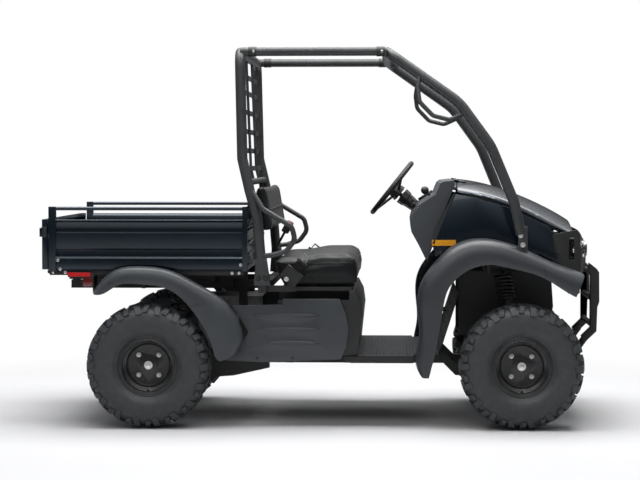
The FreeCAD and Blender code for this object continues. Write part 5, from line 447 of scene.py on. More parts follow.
@dataclass(frozen=True)
class Metal(Finish):
    """Bare or cast metal."""

    gloss: ClassVar[float] = 0.5
    grain: float = 300.0
    depth: float = 0.0002

    def dress(self, graph: Surface) -> None:
        """Metal with a fine grain, stains and a roughness that varies with them.

        Args:
            graph: The material's nodes.
        """
        fine = graph.noise(self.grain, 4.0)
        stain = graph.patches(26.0, 5.0, 0.4, 0.75)
        colour = self.tones(graph, stain, 1.0, 0.7)
        normal = graph.bump(fine, self.depth, 0.6)
        self.lay(graph, colour, fine * 0.12 + stain * 0.10, normal, Metallic=1.0 - stain * 0.15)


@dataclass(frozen=True)
class Lens(Finish):
    """Coloured lens of a lamp or reflector with pressed optics behind a smooth face."""

    gloss: ClassVar[float] = 0.4
    pitch: ClassVar[float] = 620.0

    def dress(self, graph: Surface) -> None:
        """Deep colour, painted lighter in a cell pattern as painted glints of small cube corners.

        Args:
            graph: The material's nodes.
        """
        cells = graph.cells(self.pitch)
        # Lighter cells are painted glints of the cube corners, not a colour of the lens itself.
        colour = self.tones(graph, cells.steps(0.2, 0.8), 0.75, 1.25)
        normal = graph.bump(cells, 0.0003, 0.3)
        self.lay(graph, colour, cells * 0.08, normal, Coat_Weight=1.0, Coat_Roughness=0.03)


@dataclass(frozen=True)
class ClearLens(Finish):
    """Clear lens of a head lamp."""

    gloss: ClassVar[float] = 0.5

    def dress(self, graph: Surface) -> None:
        """Clear plastic with a faint haze.

        Args:
            graph: The material's nodes.
        """
        rough = graph.noise(80.0, 4.0) * 0.04 + self.roughness
        graph.set(Base_Color=self.colour, Roughness=rough, Transmission_Weight=1.0, IOR=1.45)


@dataclass(frozen=True)
class Webbing(Finish):
    """Woven belt webbing."""

    gloss: ClassVar[float] = 0.15

    def dress(self, graph: Surface) -> None:
        """Twill of crossed ribs, with a painted highlight along the raised ribs and painted shade between them.

        Args:
            graph: The material's nodes.
        """
        leaning = {"Vector": graph.place(), "Scale": 320.0, "Distortion": 0.6}
        ribs = graph.add("ShaderNodeTexWave", {"bands_direction": "DIAGONAL"}, leaning)
        level = {"Vector": graph.place(), "Scale": 210.0}
        weave = ribs * 0.6 + graph.add("ShaderNodeTexWave", {"bands_direction": "Z"}, level) * 0.4
        # Lighter on the raised ribs and darker between them: painted highlight and painted shade.
        colour = self.tones(graph, weave, 0.7, 1.4)
        self.lay(graph, colour, weave * 0.08, graph.bump(weave, 0.0005, 0.7), Sheen_Weight=0.2)


@dataclass(frozen=True)
class TreadMat(Finish):
    """Floor with raised bars and worn dust between them."""

    gloss: ClassVar[float] = 0.08

    def dress(self, graph: Surface) -> None:
        """Raised bars in a brick pattern, with dry dust in the low places.

        Args:
            graph: The material's nodes.
        """
        across = {"Vector": graph.place(), "Rotation": (0.0, 0.0, math.radians(90))}
        inputs = {
            "Vector": graph.add("ShaderNodeMapping", inputs=across),
            "Color1": WHITE,
            "Color2": (0.9, 0.9, 0.9),
            "Mortar": (0.0, 0.0, 0.0),
            "Scale": 1.0,
            "Mortar Size": 0.0035,
            "Mortar Smooth": 0.6,
            "Brick Width": 0.030,
            "Row Height": 0.016,
        }
        bars = graph.add("ShaderNodeTexBrick", inputs=inputs)
        dust = graph.patches(40.0, 6.0, 0.4, 0.8)
        colour = self.tones(graph, bars * (1.0 - dust * 0.3), 1.9, 1.0)
        self.lay(graph, colour, dust * 0.15, graph.bump(bars, 0.0015, 0.8))


class Coat(Enum):
    """Every finish of the vehicle."""

    NAVY = GlossPaint("navy_lacquer", "navy_paint", (0.0034, 0.0080, 0.0134), 0.18, 0.45)
    TUBE = PowderSteel("black_powder", "black_steel", (0.032, 0.034, 0.036), 0.38)
    CHASSIS = PowderSteel("chassis_black", "black_steel", (0.0095, 0.0098, 0.0102), 0.5)
    GREY = MouldedPlastic("grey_moulding", "grey_plastic", (0.039, 0.044, 0.050), 0.34)
    FENDER = MouldedPlastic(
        "fender_moulding", "grey_plastic", (0.034, 0.038, 0.043), 0.32, stations=(1.062,), levels=(0.612,)
    )
    REAR_FENDER = MouldedPlastic(
        "rear_fender_moulding", "grey_plastic", (0.039, 0.044, 0.050), 0.34, levels=(0.588,)
    )
    BLACK = MouldedPlastic("black_moulding", "black_plastic", (0.0095, 0.0102, 0.011), 0.44)
    SOFT_BLACK = MouldedPlastic("soft_moulding", "black_plastic", (0.037, 0.042, 0.047), 0.46, 900.0)
    VINYL = Vinyl("seat_vinyl", "vinyl", (0.0062, 0.0070, 0.0078), 0.34)
    TYRE = TyreRubber("tyre_rubber", "tyre", (0.034, 0.0375, 0.041), 0.52)
    RIM = PowderSteel("rim_enamel", "rim_black", (0.0165, 0.0172, 0.0184), 0.22)
    GRIP = MouldedPlastic("rim_grip", "grip", (0.010, 0.0105, 0.011), 0.50, 1800.0)
    CAST = Metal("cast_alloy", "cast", (0.26, 0.265, 0.27), 0.45, 160.0, 0.0006)
    STEEL = Metal("bare_steel", "steel", (0.34, 0.34, 0.35), 0.32)
    ZINC = Metal("zinc_plate", "steel", (0.78, 0.78, 0.76), 0.24, 500.0, 0.0001)
    RED = Lens("red_optic", "red_lens", (0.58, 0.010, 0.012), 0.10)
    DARK_RED = Lens("dark_red_optic", "red_lens", (0.14, 0.004, 0.006), 0.10)
    AMBER = Lens("amber_optic", "amber_lens", (0.95, 0.36, 0.008), 0.12)
    CLEAR = ClearLens("clear_lens", "lamp", (0.96, 0.97, 0.98), 0.02)
    MIRROR = Metal("lamp_mirror", "lamp", (0.86, 0.87, 0.88), 0.10, 900.0, 0.00005)
    BELT = Webbing("belt_webbing", "webbing", (0.011, 0.011, 0.012), 0.72)
    MAT = TreadMat("floor_mat", "black_steel", (0.022, 0.0235, 0.025), 0.55)


NODES_OF_COAT: dict[Coat, str] = {
    Coat.NAVY: "bed_floor bed_sides tailgate cowl_sides hood_lid",
    Coat.FENDER: "front_fenders",
    Coat.REAR_FENDER: "rear_fenders",
    Coat.GREY: "side_covers",
    Coat.BLACK: "seat_pedestal inner_panels radiator grille_surround control_levers seat_belts",
    Coat.SOFT_BLACK: "dashboard",
    Coat.TUBE: "front_hoop rear_hoop roof_tubes rear_screen hip_guards",
    Coat.RIM: "rim_front_left rim_front_right rim_rear_left rim_rear_right",
    Coat.GRIP: "steering_wheel",
    Coat.CAST: "engine_block front_drive",
    Coat.STEEL: "lower_steering_shaft tie_rods",
    Coat.RED: "tail_lamps reflectors",
    Coat.AMBER: "side_markers",
    Coat.CLEAR: "headlamps",
    Coat.MAT: "floorboard",
}
COAT_OF_NODE = {node: coat for coat, nodes in NODES_OF_COAT.items() for node in nodes.split()}


# Making pieces


def add_object(name: str, data: bpy.types.ID) -> bpy.types.Object:
    """Links a new object to the scene.

    Args:
        name: Its name.
        data: Its mesh, lamp or camera.

    Returns:
        The object.
    """
    made = bpy.data.objects.new(name, data)
    bpy.context.scene.collection.objects.link(made)
    return made


def merged(node: bpy.types.Object, distance: float = MERGE) -> bmesh.types.BMesh:
    """Copies a node's mesh and merges its doubles.

    Args:
        node: The node.
        distance: How near two vertices are merged.

    Returns:
        The copy, ready for work.
    """
    shape = bmesh.new()
    shape.from_mesh(node.data)
    bmesh.ops.remove_doubles(shape, verts=shape.verts[:], dist=distance)
    return shape


def sharp_edges(shape: bmesh.types.BMesh, angle: float) -> list[bmesh.types.BMEdge]:
    """Edges whose two faces meet at more than an angle."""
    return [edge for edge in shape.edges if len(edge.link_faces) == 2 and edge.calc_face_angle(0.0) > angle]


def round_edges(
    shape: bmesh.types.BMesh, edges: Sequence[bmesh.types.BMEdge], radius: float, segments: int
) -> set[bmesh.types.BMVert]:
    """Rounds edges.

    Args:
        shape: The mesh.
        edges: The edges.
        radius: Their radius.
        segments: Steps of the rounding.

    Returns:
        The vertices of the new faces.
    """
    made = bmesh.ops.bevel(
        shape, geom=edges, offset=radius, segments=segments, profile=0.5, affect="EDGES", material=-1
    )
    return {vert for face in made["faces"] for vert in face.verts}


class Piece:
    """A mesh under construction that becomes one object of the scene."""

    def __init__(self, name: str, body: str, coat: Coat) -> None:
        """Starts an empty mesh.

        Args:
            name: Name of the piece.
            body: The body that it rides on.
            coat: Its finish.
        """
        self.name = name
        self.body = body
        self.coat = coat
        self.bm = bmesh.new()

    def settle(
        self, made: Sequence[bmesh.types.BMVert], place: Matrix, bevel: float, segments: int = 2, flat: bool = False
    ) -> None:
        """Rounds the edges of a new form and puts it in its place.

        Args:
            made: Vertices of the form, around the origin.
            place: Turn and place of the form.
            bevel: Radius of the edges.
            segments: Steps of the rounding.
            flat: Whether only the edges that lie flat are rounded.
        """
        if bevel:
            edges = {edge for vert in made for edge in vert.link_edges}
            if flat:
                edges = {edge for edge in edges if abs(edge.verts[0].co.z - edge.verts[1].co.z) < 1e-7}
            rounded = round_edges(self.bm, list(edges), bevel, segments)
            made = list(rounded | {vert for vert in made if vert.is_valid})
        bmesh.ops.transform(self.bm, matrix=place, verts=made)

    def blocks(self, origin: Vector, blocks: Sequence[Block], turn: Matrix = NO_TURN) -> None:
        """Adds blocks with rounded edges.

        Args:
            origin: Origin of the blocks' own frame.
            blocks: The blocks.
            turn: Turn of that frame.
        """
        for middle, size, bevel, segments in blocks:
            made = bmesh.ops.create_cube(self.bm, size=1.0)["verts"]
            bmesh.ops.scale(self.bm, vec=Vector(size), verts=made)
            place = Matrix.Translation(origin + turn @ Vector(middle)) @ turn.to_4x4()
            self.settle(made, place, bevel, segments)

    def stack(self, foot: Vector, out: Vector, discs: Sequence[Disc], scale: float = 1.0) -> None:
        """Adds round or many sided discs along an axis.

        Args:
            foot: Point of the axis at level 0.
            out: Direction of the axis.
            discs: The discs.
            scale: What all their lengths are multiplied by.
        """
        axis = out.normalized()
        turn = axis.to_track_quat("Z", "Y").to_matrix().to_4x4()
        for low, high, radius, far_radius, sides, bevel in discs:
            made = bmesh.ops.create_cone(
                self.bm,
                cap_ends=True,
                cap_tris=False,
                segments=sides,
                radius1=radius * scale,
                radius2=far_radius * scale,
                depth=(high - low) * scale,
            )["verts"]
            middle = foot + axis * ((low + high) / 2 * scale)
            self.settle(made, Matrix.Translation(middle) @ turn, bevel * scale, flat=True)

    def lathe(self, profile: Sequence[Pair], centre: Vector, axis: Vector, steps: int = 48) -> None:
        """Spins a profile round an axis.

        Args:
            profile: Points as (radius, distance along the axis).
            centre: Point on the axis at distance 0.
            axis: Direction of the axis.
            steps: Number of steps of the spin.
        """
        across = axis.orthogonal().normalized()
        along = axis.normalized()
        verts = [self.bm.verts.new(centre + across * radius + along * place) for radius, place in profile]
        edges = [self.bm.edges.new(pair) for pair in zip(verts, verts[1:])]
        bmesh.ops.spin(
            self.bm,
            geom=verts + edges,
            cent=centre,
            axis=along,
            angle=math.tau,
            steps=steps,
            use_merge=True,
            use_duplicate=False,
        )

    def tube(
        self,
        path: Sequence[Vector],
        radius: float,
        sides: int = 12,
        width: float | None = None,
        across: Vector | None = None,
    ) -> None:
        """Extrudes a round section, or a flat one where a width is given, along a path.

        Args:
            path: Points of the middle line.
            radius: Radius of the section, or half its thickness.
            sides: Number of sides of the section.
            width: Width of a flat section across its path.
            across: Direction of that width, if it isn't upward.
        """
        heading = (path[1] - path[0]).normalized()
        ring = bmesh.ops.create_circle(self.bm, cap_ends=False, segments=sides, radius=radius)["verts"]
        if width:
            bmesh.ops.scale(self.bm, vec=Vector((1.0, width / (2 * radius), 1.0)), verts=ring)
        turn = heading.to_track_quat("Z", "Y").to_matrix()
        if across:
            square = (across - heading * across.dot(heading)).normalized()
            turn = Matrix((square.cross(heading), square, heading)).transposed()
        bmesh.ops.transform(self.bm, matrix=Matrix.Translation(path[0]) @ turn.to_4x4(), verts=ring)
        edges = list({edge for vert in ring for edge in vert.link_edges})
        bmesh.ops.edgeloop_fill(self.bm, edges=edges)
        for index in range(1, len(path)):
            result = bmesh.ops.extrude_edge_only(self.bm, edges=edges)["geom"]
            ring = [item for item in result if isinstance(item, bmesh.types.BMVert)]
            edges = [item for item in result if isinstance(item, bmesh.types.BMEdge)]
            ahead = path[min(index + 1, len(path) - 1)] - path[index - 1]
            bend = heading.rotation_difference(ahead.normalized()).to_matrix()
            heading = ahead.normalized()
            shift = Matrix.Translation(path[index]) @ bend.to_4x4() @ Matrix.Translation(-path[index - 1])
            bmesh.ops.transform(self.bm, matrix=shift, verts=ring)
        bmesh.ops.edgeloop_fill(self.bm, edges=edges)

    def band(self, upper: Sequence[Vector], lower: Sequence[Vector], depth: Vector) -> None:
        """Adds a plate between two rows of points.

        Args:
            upper: One row.
            lower: The other row, point by point below it.
            depth: Way from the near face to the far one.
        """
        top, foot = ([self.bm.verts.new(point) for point in row] for row in (upper, lower))
        faces = [self.bm.faces.new(corners) for corners in zip(top, top[1:], foot[1:], foot)]
        grown = bmesh.ops.extrude_face_region(self.bm, geom=faces)["geom"]
        moved = [item for item in grown if isinstance(item, bmesh.types.BMVert)]
        bmesh.ops.translate(self.bm, verts=moved, vec=depth)

    def take(self, other: bmesh.types.BMesh) -> None:
        """Moves the contents of another mesh under construction into this one.

        Args:
            other: The other mesh.
        """
        carrier = bpy.data.meshes.new("carrier")
        other.to_mesh(carrier)
        other.free()
        self.bm.from_mesh(carrier)
        bpy.data.meshes.remove(carrier)

    def finish(self, replaces: Sequence[str] = (), smooth: bool = True) -> None:
        """Turns the mesh into a dressed object that rides on its body.

        Args:
            replaces: Nodes of the frame that the piece stands for.
            smooth: Whether gentle edges are shaded smooth.
        """
        bmesh.ops.remove_doubles(self.bm, verts=self.bm.verts[:], dist=MERGE)
        bmesh.ops.recalc_face_normals(self.bm, faces=self.bm.faces[:])
        mesh = bpy.data.meshes.new(self.name)
        self.bm.to_mesh(mesh)
        self.bm.free()
        mesh.materials.append(self.coat.value.material())
        if smooth:
            mesh.shade_smooth()
            mesh.set_sharp_from_angle(angle=SMOOTH_ANGLE)
        piece = add_object(self.name, mesh)
        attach(piece, self.body)
        if replaces:
            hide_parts(*replaces)
        LOG.info("piece %s rides on %s with %d faces", self.name, self.body, len(mesh.polygons))


@contextmanager
def making(body: str, smooth: bool = True, **coats: Coat) -> Iterator[list[Piece]]:
    """Starts pieces that ride on one body, and finishes them when their parts are in.

    Args:
        body: The body.
        smooth: Whether gentle edges are shaded smooth.
        coats: The finish of each piece, under the piece's name.

    Yields:
        The pieces.
    """
    pieces = [Piece(name, body, coat) for name, coat in coats.items()]
    yield pieces
    for piece in pieces:
        piece.finish(smooth=smooth)


class Skin:
    """Finds where details sit on the frame's own surfaces."""

    def __init__(self, nodes: dict[str, bpy.types.Object]) -> None:
        """Keeps the frame's nodes."""
        self.nodes = nodes
        self.trees: dict[str, BVHTree] = {}

    def tree(self, name: str) -> BVHTree:
        """Search tree of one node, built when it is first asked for.

        Args:
            name: The node.

        Returns:
            The tree.
        """
        if name not in self.trees:
            mesh = self.nodes[name].data
            faces = [tuple(polygon.vertices) for polygon in mesh.polygons]
            self.trees[name] = BVHTree.FromPolygons([vert.co for vert in mesh.vertices], faces)
        return self.trees[name]

    def hit(self, names: Sequence[str], start: Vector, heading: Vector) -> tuple[Vector, Vector]:
        """First point of some nodes along a heading.

        Args:
            names: The nodes.
            start: Where the search starts.
            heading: Which way it goes.

        Returns:
            The point and the surface's direction outward there.
        """
        found = []
        for name in names:
            place, normal, _, distance = self.tree(name).ray_cast(start, heading)
            if place:
                found.append((distance, place, normal))
        if not found:
            LOG.warning("nothing of %s lies ahead of %s", names, tuple(start))
            return start, -heading.normalized()
        _, place, normal = min(found, key=lambda item: item[0])
        return place, -normal if normal.dot(heading) > 0 else normal

    def side(self, names: Sequence[str], side: int, from_rear: float, z: float) -> tuple[Vector, Vector]:
        """First point of some nodes seen from one side, at a place in millimetres."""
        return self.hit(names, spot(from_rear, side * FAR_SIDE, z), Vector((0, -side, 0)))

    def lower_edge(
        self, name: str, start: Vector, heading: Vector, climb: tuple[int, float], reach: float
    ) -> Vector | None:
        """Climbs until a ray first meets a node.

        Args:
            name: The node.
            start: Where the first ray starts, below the node.
            heading: Which way the rays go.
            climb: Number of rays, and how far each starts above the last.
            reach: Length of the rays.

        Returns:
            The lowest point met, or None.
        """
        count, rise = climb
        for step in range(count):
            place = self.tree(name).ray_cast(start + UP * (step * rise), heading, reach)[0]
            if place:
                return place
        return None


# Sub-assemblies


@dataclass
class Assembly(ABC):
    """Pieces that belong together and are seated on the frame."""

    skin: Skin

    @abstractmethod
    def build(self) -> None:
        """Makes the pieces."""


@dataclass
class FrameDresser(Assembly):
    """Gives every node of the frame its finish."""

    def build(self) -> None:
        """Sets the material slots of all nodes."""
        for name, node in self.skin.nodes.items():
            coat = COAT_OF_NODE.get(name, Coat.CHASSIS)
            for slot in node.material_slots:
                slot.material = coat.value.material()


@dataclass
class SoftParts(Assembly):
    """Frame parts whose edges are rounded and whose curved faces are shaded smooth."""

    edge_angle: float = math.radians(38)
    merge: float = 2e-5
    flat: float = math.radians(0.4)
    steps: int = 3
    radii: tuple[tuple[float, str], ...] = (
        (0.0012, "front_fenders rear_fenders side_covers grille_surround tailgate"),
        (0.0010, "cowl_sides hood_lid front_hoop rear_hoop hip_guards"),
        (0.0022, "dashboard"),
        (0.0009, "bed_sides"),
        (0.0020, "brush_guard seat_pedestal"),
        (0.0008, "rim_front_left rim_front_right rim_rear_left rim_rear_right"),
    )

    def build(self) -> None:
        """Puts a rounded copy in the place of each part."""
        for radius, names in self.radii:
            for name in names.split():
                node = self.skin.nodes[name]
                shape = merged(node, self.merge)
                bmesh.ops.dissolve_limit(shape, angle_limit=self.flat, verts=shape.verts[:], edges=shape.edges[:])
                round_edges(shape, sharp_edges(shape, self.edge_angle), radius, self.steps)
                piece = Piece(f"{name}_soft", body_of(node)[0], COAT_OF_NODE.get(name, Coat.CHASSIS))
                piece.take(shape)
                piece.finish((name,))


@dataclass(frozen=True)
class TreadBlock:
    """One block of the tread's repeat, whose place and width round the tyre are shares of the pitch."""

    turn: float
    width: float
    start: float
    end: float
    skew: float
    is_mirrored: bool


@dataclass
class Tyre:
    """An all terrain tyre with blocks on its crown and shoulders."""

    place: str
    centre: Vector
    radius: float = 0.2995
    half_width: float = 0.1145
    bead_radius: float = 0.1475
    bead_lip: float = 0.006
    bead_share: float = 0.72
    ridge_share: float = 0.74
    ridge_height: float = 0.0022
    ridge_width: float = 0.0045
    block_height: float = 0.013
    block_root: float = -0.004
    block_taper: float = 0.80
    crown_share: float = 0.34
    low_share: float = 0.62
    slope_share: float = 0.02
    pitches: int = 18
    wall_steps: int = 20
    spin_steps: int = 90
    blocks: tuple[TreadBlock, ...] = (
        TreadBlock(0.00, 0.36, 0.200, 0.470, 1.5, False),
        TreadBlock(0.50, 0.30, 0.200, 0.410, -1.5, False),
        TreadBlock(0.18, 0.40, 0.015, 0.155, 6.0, True),
        TreadBlock(0.68, 0.30, 0.050, 0.170, -5.0, True),
    )
    height_shares: tuple[float, ...] = (1.0, 0.99, 0.96, 0.90, 0.82, 0.70, 0.52, 0.33, 0.16, 0.06, 0.0)
    width_shares: tuple[float, ...] = (0.0, 0.35, 0.62, 0.79, 0.89, 0.96, 1.0, 1.0, 0.945, 0.84, 0.78)

    def wall(self) -> float:
        """Height of the casing above its bead."""
        return self.radius - self.block_height - self.bead_radius

    def section(self, share: float) -> Pair:
        """Radius and offset of the casing at a share of the way from its middle to its bead.

        Args:
            share: 0 at the middle of the crown and 1 at the bead.

        Returns:
            The radius and the distance from the middle plane.
        """
        last = len(self.width_shares) - 1
        place = min(max(share, 0.0), 1.0) * last
        index = min(int(place), last - 1)
        part = place - index
        rise, width = (
            shares[index] * (1 - part) + shares[index + 1] * part for shares in (self.height_shares, self.width_shares)
        )
        return self.bead_radius + rise * self.wall(), width * self.half_width

    def casing(self, piece: Piece) -> None:
        """Spins the casing with its side wall ridge and its inner wall.

        Args:
            piece: The mesh that takes it.
        """
        ridge_radius = self.bead_radius + self.ridge_share * self.wall()
        outer = []
        for radius, offset in (self.section(index / self.wall_steps) for index in range(self.wall_steps + 1)):
            lift = self.ridge_height * math.exp(-((radius - ridge_radius) / self.ridge_width) ** 2)
            outer.append((radius, offset + lift))
        inner = [(self.bead_radius - self.bead_lip, self.half_width * self.bead_share * side) for side in (1, -1)]
        profile = outer + inner + [(radius, -offset) for radius, offset in reversed(outer)][:-1]
        piece.lathe(profile + profile[:1], self.centre, Vector((0, 1, 0)), self.spin_steps)

    def add_block(self, piece: Piece, block: TreadBlock, number: float, side: int) -> None:
        """Adds one tread block that follows the casing.

        Args:
            piece: The mesh that takes it.
            block: The block.
            number: How many pitches round the tyre its repeat starts.
            side: 1 or -1 for the side of the tyre.
        """
        pitch = 360 / self.pitches
        skew = block.skew * (side if block.is_mirrored else 1)
        cell = bmesh.new()
        bmesh.ops.create_cube(cell, size=1.0)
        long_edges = [edge for edge in cell.edges if abs(edge.verts[0].co.x - edge.verts[1].co.x) > 0.5]
        bmesh.ops.subdivide_edges(cell, edges=long_edges, cuts=2, use_grid_fill=True)
        for vert in cell.verts:
            share = vert.co.x + 0.5
            across = block.start + (block.end - block.start) * share
            radius, offset = self.section(across)
            near_radius, near_offset = self.section(across + self.slope_share)
            out = Vector((near_offset - offset, radius - near_radius)).normalized()
            rise, taper = self.block_root, 1.0
            if vert.co.z > 0:
                rise = self.block_height * (1.0 if across < self.crown_share else self.low_share)
                taper = self.block_taper
            turn = pitch * (number + block.turn + block.width * vert.co.y * taper) + skew * share
            reach = min(radius + out.x * rise, self.radius)
            place = side * min(offset + out.y * rise, self.half_width)
            theta = math.radians(turn)
            vert.co = self.centre + Vector((reach * math.sin(theta), place, reach * math.cos(theta)))
        bmesh.ops.recalc_face_normals(cell, faces=cell.faces[:])
        piece.take(cell)

    def build(self) -> None:
        """Makes the tyre and puts it in the place of its node."""
        piece = Piece(f"tyre_{self.place}_dressed", f"wheel_{self.place}", Coat.TYRE)
        self.casing(piece)
        for index in range(self.pitches):
            for side in SIDES:
                for block in self.blocks:
                    self.add_block(piece, block, index + (0.5 if side < 0 else 0.0), side)
        piece.finish((f"tyre_{self.place}",))


@dataclass
class Wheel:
    """Fasteners, ring lines and valve of one wheel."""

    place: str
    centre: Vector
    side: int
    skin: Skin
    face_offset: float = 0.0225
    outside: float = 0.5
    nut_count: int = 4
    first_nut: float = 45.0
    nut_circle: float = 0.0685
    nut: Discs = (
        (0.0, 0.0040, 0.0118, 0.0112, 20, 0.0),
        (0.0040, 0.0165, 0.0106, 0.0104, 6, 0.0008),
        (0.0165, 0.0200, 0.0072, 0.0040, 16, 0.0),
    )
    centre_nut: Discs = (
        (-0.0005, 0.0030, 0.0205, 0.0200, 32, 0.0),
        (0.0030, 0.0165, 0.0150, 0.0148, 6, 0.0010),
        (0.0165, 0.0225, 0.0085, 0.0075, 20, 0.0008),
    )
    valve_circle: float = 0.121
    valve_offset: float = 0.050
    valve: Discs = ((0.0, 0.012, 0.0075, 0.006, 16, 0.001), (0.012, 0.030, 0.0042, 0.0038, 12, 0.0008))
    ring_radii: tuple[float, ...] = (0.1300, 0.1405)
    ring_half: float = 0.0026
    ring_steps: int = 72
    ring_turns: tuple[float, ...] = (0.0, 0.8, 1.57, 2.34, 3.14)

    def rings(self, piece: Piece, out: Vector) -> None:
        """Lays the rolled ring lines on the rim.

        Args:
            piece: The mesh that takes them.
            out: Direction away from the vehicle.
        """
        for radius in self.ring_radii:
            start = self.centre + UP * radius + out * self.outside
            place, _ = self.skin.hit((f"rim_{self.place}",), start, -out)
            level = (place - self.centre).dot(out)
            bends = [(math.cos(turn) * self.ring_half, math.sin(turn) * self.ring_half) for turn in self.ring_turns]
            arc = [(radius + across, level + rise) for across, rise in bends]
            piece.lathe(arc + arc[:1], self.centre, out, self.ring_steps)

    def build(self) -> None:
        """Adds the four nuts, the centre nut with its washer, the ring lines and the valve."""
        out = Vector((0, self.side, 0))
        name = f"wheel_{self.place}"
        coats = {f"{name}_nuts": Coat.ZINC, f"{name}_rings": Coat.RIM, f"{name}_valve": Coat.BLACK}
        with making(name, **coats) as (nuts, rings, valve):
            for index in range(self.nut_count):
                angle = math.radians(self.first_nut + 360 / self.nut_count * index)
                around = Vector((math.cos(angle), 0, math.sin(angle))) * self.nut_circle
                nuts.stack(self.centre + out * self.face_offset + around, out, self.nut)
            middle, _ = self.skin.hit((f"rim_{self.place}",), self.centre + out * self.outside, -out)
            nuts.stack(middle, out, self.centre_nut)
            self.rings(rings, out)
            valve.stack(self.centre + out * self.valve_offset - UP * self.valve_circle, out, self.valve)


@dataclass
class Wheels(Assembly):
    """The four tyres and what stands on their rims."""

    def build(self) -> None:
        """Dresses each wheel about its own axle."""
        for end, x in (("front", REAR_AXLE_X + WHEELBASE), ("rear", REAR_AXLE_X)):
            for side, word in zip(SIDES, ("right", "left")):
                low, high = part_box(f"tyre_{end}_{word}")
                centre = Vector((x, (low.y + high.y) / 2, AXLE_Z))
                Tyre(f"{end}_{word}", centre).build()
                Wheel(f"{end}_{word}", centre, side, self.skin).build()


def bake_modifiers(piece: bpy.types.Object) -> None:
    """Replaces a piece's mesh with the result of its modifiers.

    Args:
        piece: The piece.
    """
    bpy.context.view_layer.update()
    evaluated = piece.evaluated_get(bpy.context.evaluated_depsgraph_get())
    mesh = bpy.data.meshes.new_from_object(evaluated)
    piece.modifiers.clear()
    old = piece.data
    piece.data = mesh
    bpy.data.meshes.remove(old)


def apply_modifier(piece: bpy.types.Object, kind: str, **settings: object) -> None:
    """Adds a modifier, sets it and applies it.

    Args:
        piece: The piece.
        kind: Blender's name of the modifier's type.
        settings: The modifier's properties.
    """
    modifier = piece.modifiers.new(kind.lower(), kind)
    for key, value in settings.items():
        setattr(modifier, key, value)
    bake_modifiers(piece)


@dataclass
class Cushion:
    """A padded seat part that is puffed up by cloth simulation, with one sewn welt round it."""

    name: str
    node: str
    shrink: float
    pressure: float
    reach: float
    welt_share: float
    fill: float = 0.8
    edge: float = 0.015
    merge: float = 1e-5
    voxel: float = 0.009
    frames: int = 20
    quality: int = 5
    welt_radius: float = 0.0032
    welt_rise: float = 0.0006
    welt_steps: int = 160
    welt_power: int = 8

    def base(self, node: bpy.types.Object) -> bpy.types.Object:
        """Copies the node's solid, merged and slightly smaller.

        Args:
            node: The frame's solid for this part.

        Returns:
            The new object.
        """
        work = merged(node, self.merge)
        low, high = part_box(self.node)
        middle = (low + high) / 2
        factor = Vector([(extent - self.shrink) / extent for extent in (high - low) / 2])
        bmesh.ops.translate(work, vec=-middle, verts=work.verts[:])
        bmesh.ops.scale(work, vec=factor, verts=work.verts[:])
        bmesh.ops.translate(work, vec=middle, verts=work.verts[:])
        mesh = bpy.data.meshes.new(self.name)
        work.to_mesh(mesh)
        work.free()
        return add_object(self.name, mesh)

    def puff(self, piece: bpy.types.Object) -> None:
        """Runs the cloth simulation and caps how far each point moves.

        Args:
            piece: The padded piece.
        """
        rest = [vert.co.copy() for vert in piece.data.vertices]
        cloth = piece.modifiers.new("cloth", "CLOTH")
        cloth.settings.use_pressure = True
        cloth.settings.uniform_pressure_force = self.pressure
        cloth.settings.effector_weights.gravity = 0.0
        cloth.settings.quality = self.quality
        cloth.point_cache.frame_start = 1
        cloth.point_cache.frame_end = self.frames
        scene = bpy.context.scene
        for frame in range(1, self.frames + 1):
            scene.frame_set(frame)
        bake_modifiers(piece)
        scene.frame_set(1)
        for vert, start in zip(piece.data.vertices, rest):
            move = vert.co - start
            if move.length > self.reach:
                vert.co = start + move.normalized() * self.reach

    def welt(self, piece: bpy.types.Object) -> None:
        """Lays the sewn welt on the puffed surface, along a rounded rectangle round it.

        Args:
            piece: The padded piece.
        """
        shape = bmesh.new()
        shape.from_mesh(piece.data)
        tree = BVHTree.FromBMesh(shape)
        low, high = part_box(self.node)
        middle, half = (low + high) / 2, (high - low) / 2
        z = low.z + (high.z - low.z) * self.welt_share
        seated = []
        for index in range(self.welt_steps):
            angle = math.tau * index / self.welt_steps
            across, along = math.cos(angle), math.sin(angle)
            power = self.welt_power
            reach = 1.0 / (abs(across) ** power + abs(along) ** power) ** (1 / power)
            near = Vector((middle.x + half.x * across * reach, middle.y + half.y * along * reach, z))
            found, normal, _, _ = tree.find_nearest(near)
            seated.append(found + normal * self.welt_rise)
        shape.free()
        seated.append(seated[0])
        smooth = [(before + 2 * here + after) / 4 for before, here, after in zip(seated, seated[1:], seated[2:])]
        with making("chassis", **{f"{self.name}_welt_0": Coat.VINYL}) as (welt,):
            welt.tube([seated[0], *smooth, seated[0]], self.welt_radius, 8)

    def build(self, node: bpy.types.Object) -> None:
        """Makes the padded piece and its welt.

        Args:
            node: The frame's solid for this part.
        """
        piece = self.base(node)
        apply_modifier(piece, "BEVEL", width=self.edge, segments=4, limit_method="ANGLE", angle_limit=0.5)
        apply_modifier(piece, "REMESH", mode="VOXEL", voxel_size=self.voxel)
        apply_modifier(piece, "SMOOTH", factor=0.5, iterations=3)
        self.puff(piece)
        apply_modifier(piece, "SMOOTH", factor=0.5, iterations=2)
        apply_modifier(piece, "SUBSURF", levels=1, render_levels=1)
        piece.data.shade_smooth()
        piece.data.materials.append(Coat.VINYL.value.material())
        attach(piece, "chassis")
        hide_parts(self.node)
        LOG.info("cushion %s has %d points", self.name, len(piece.data.vertices))
        self.welt(piece)


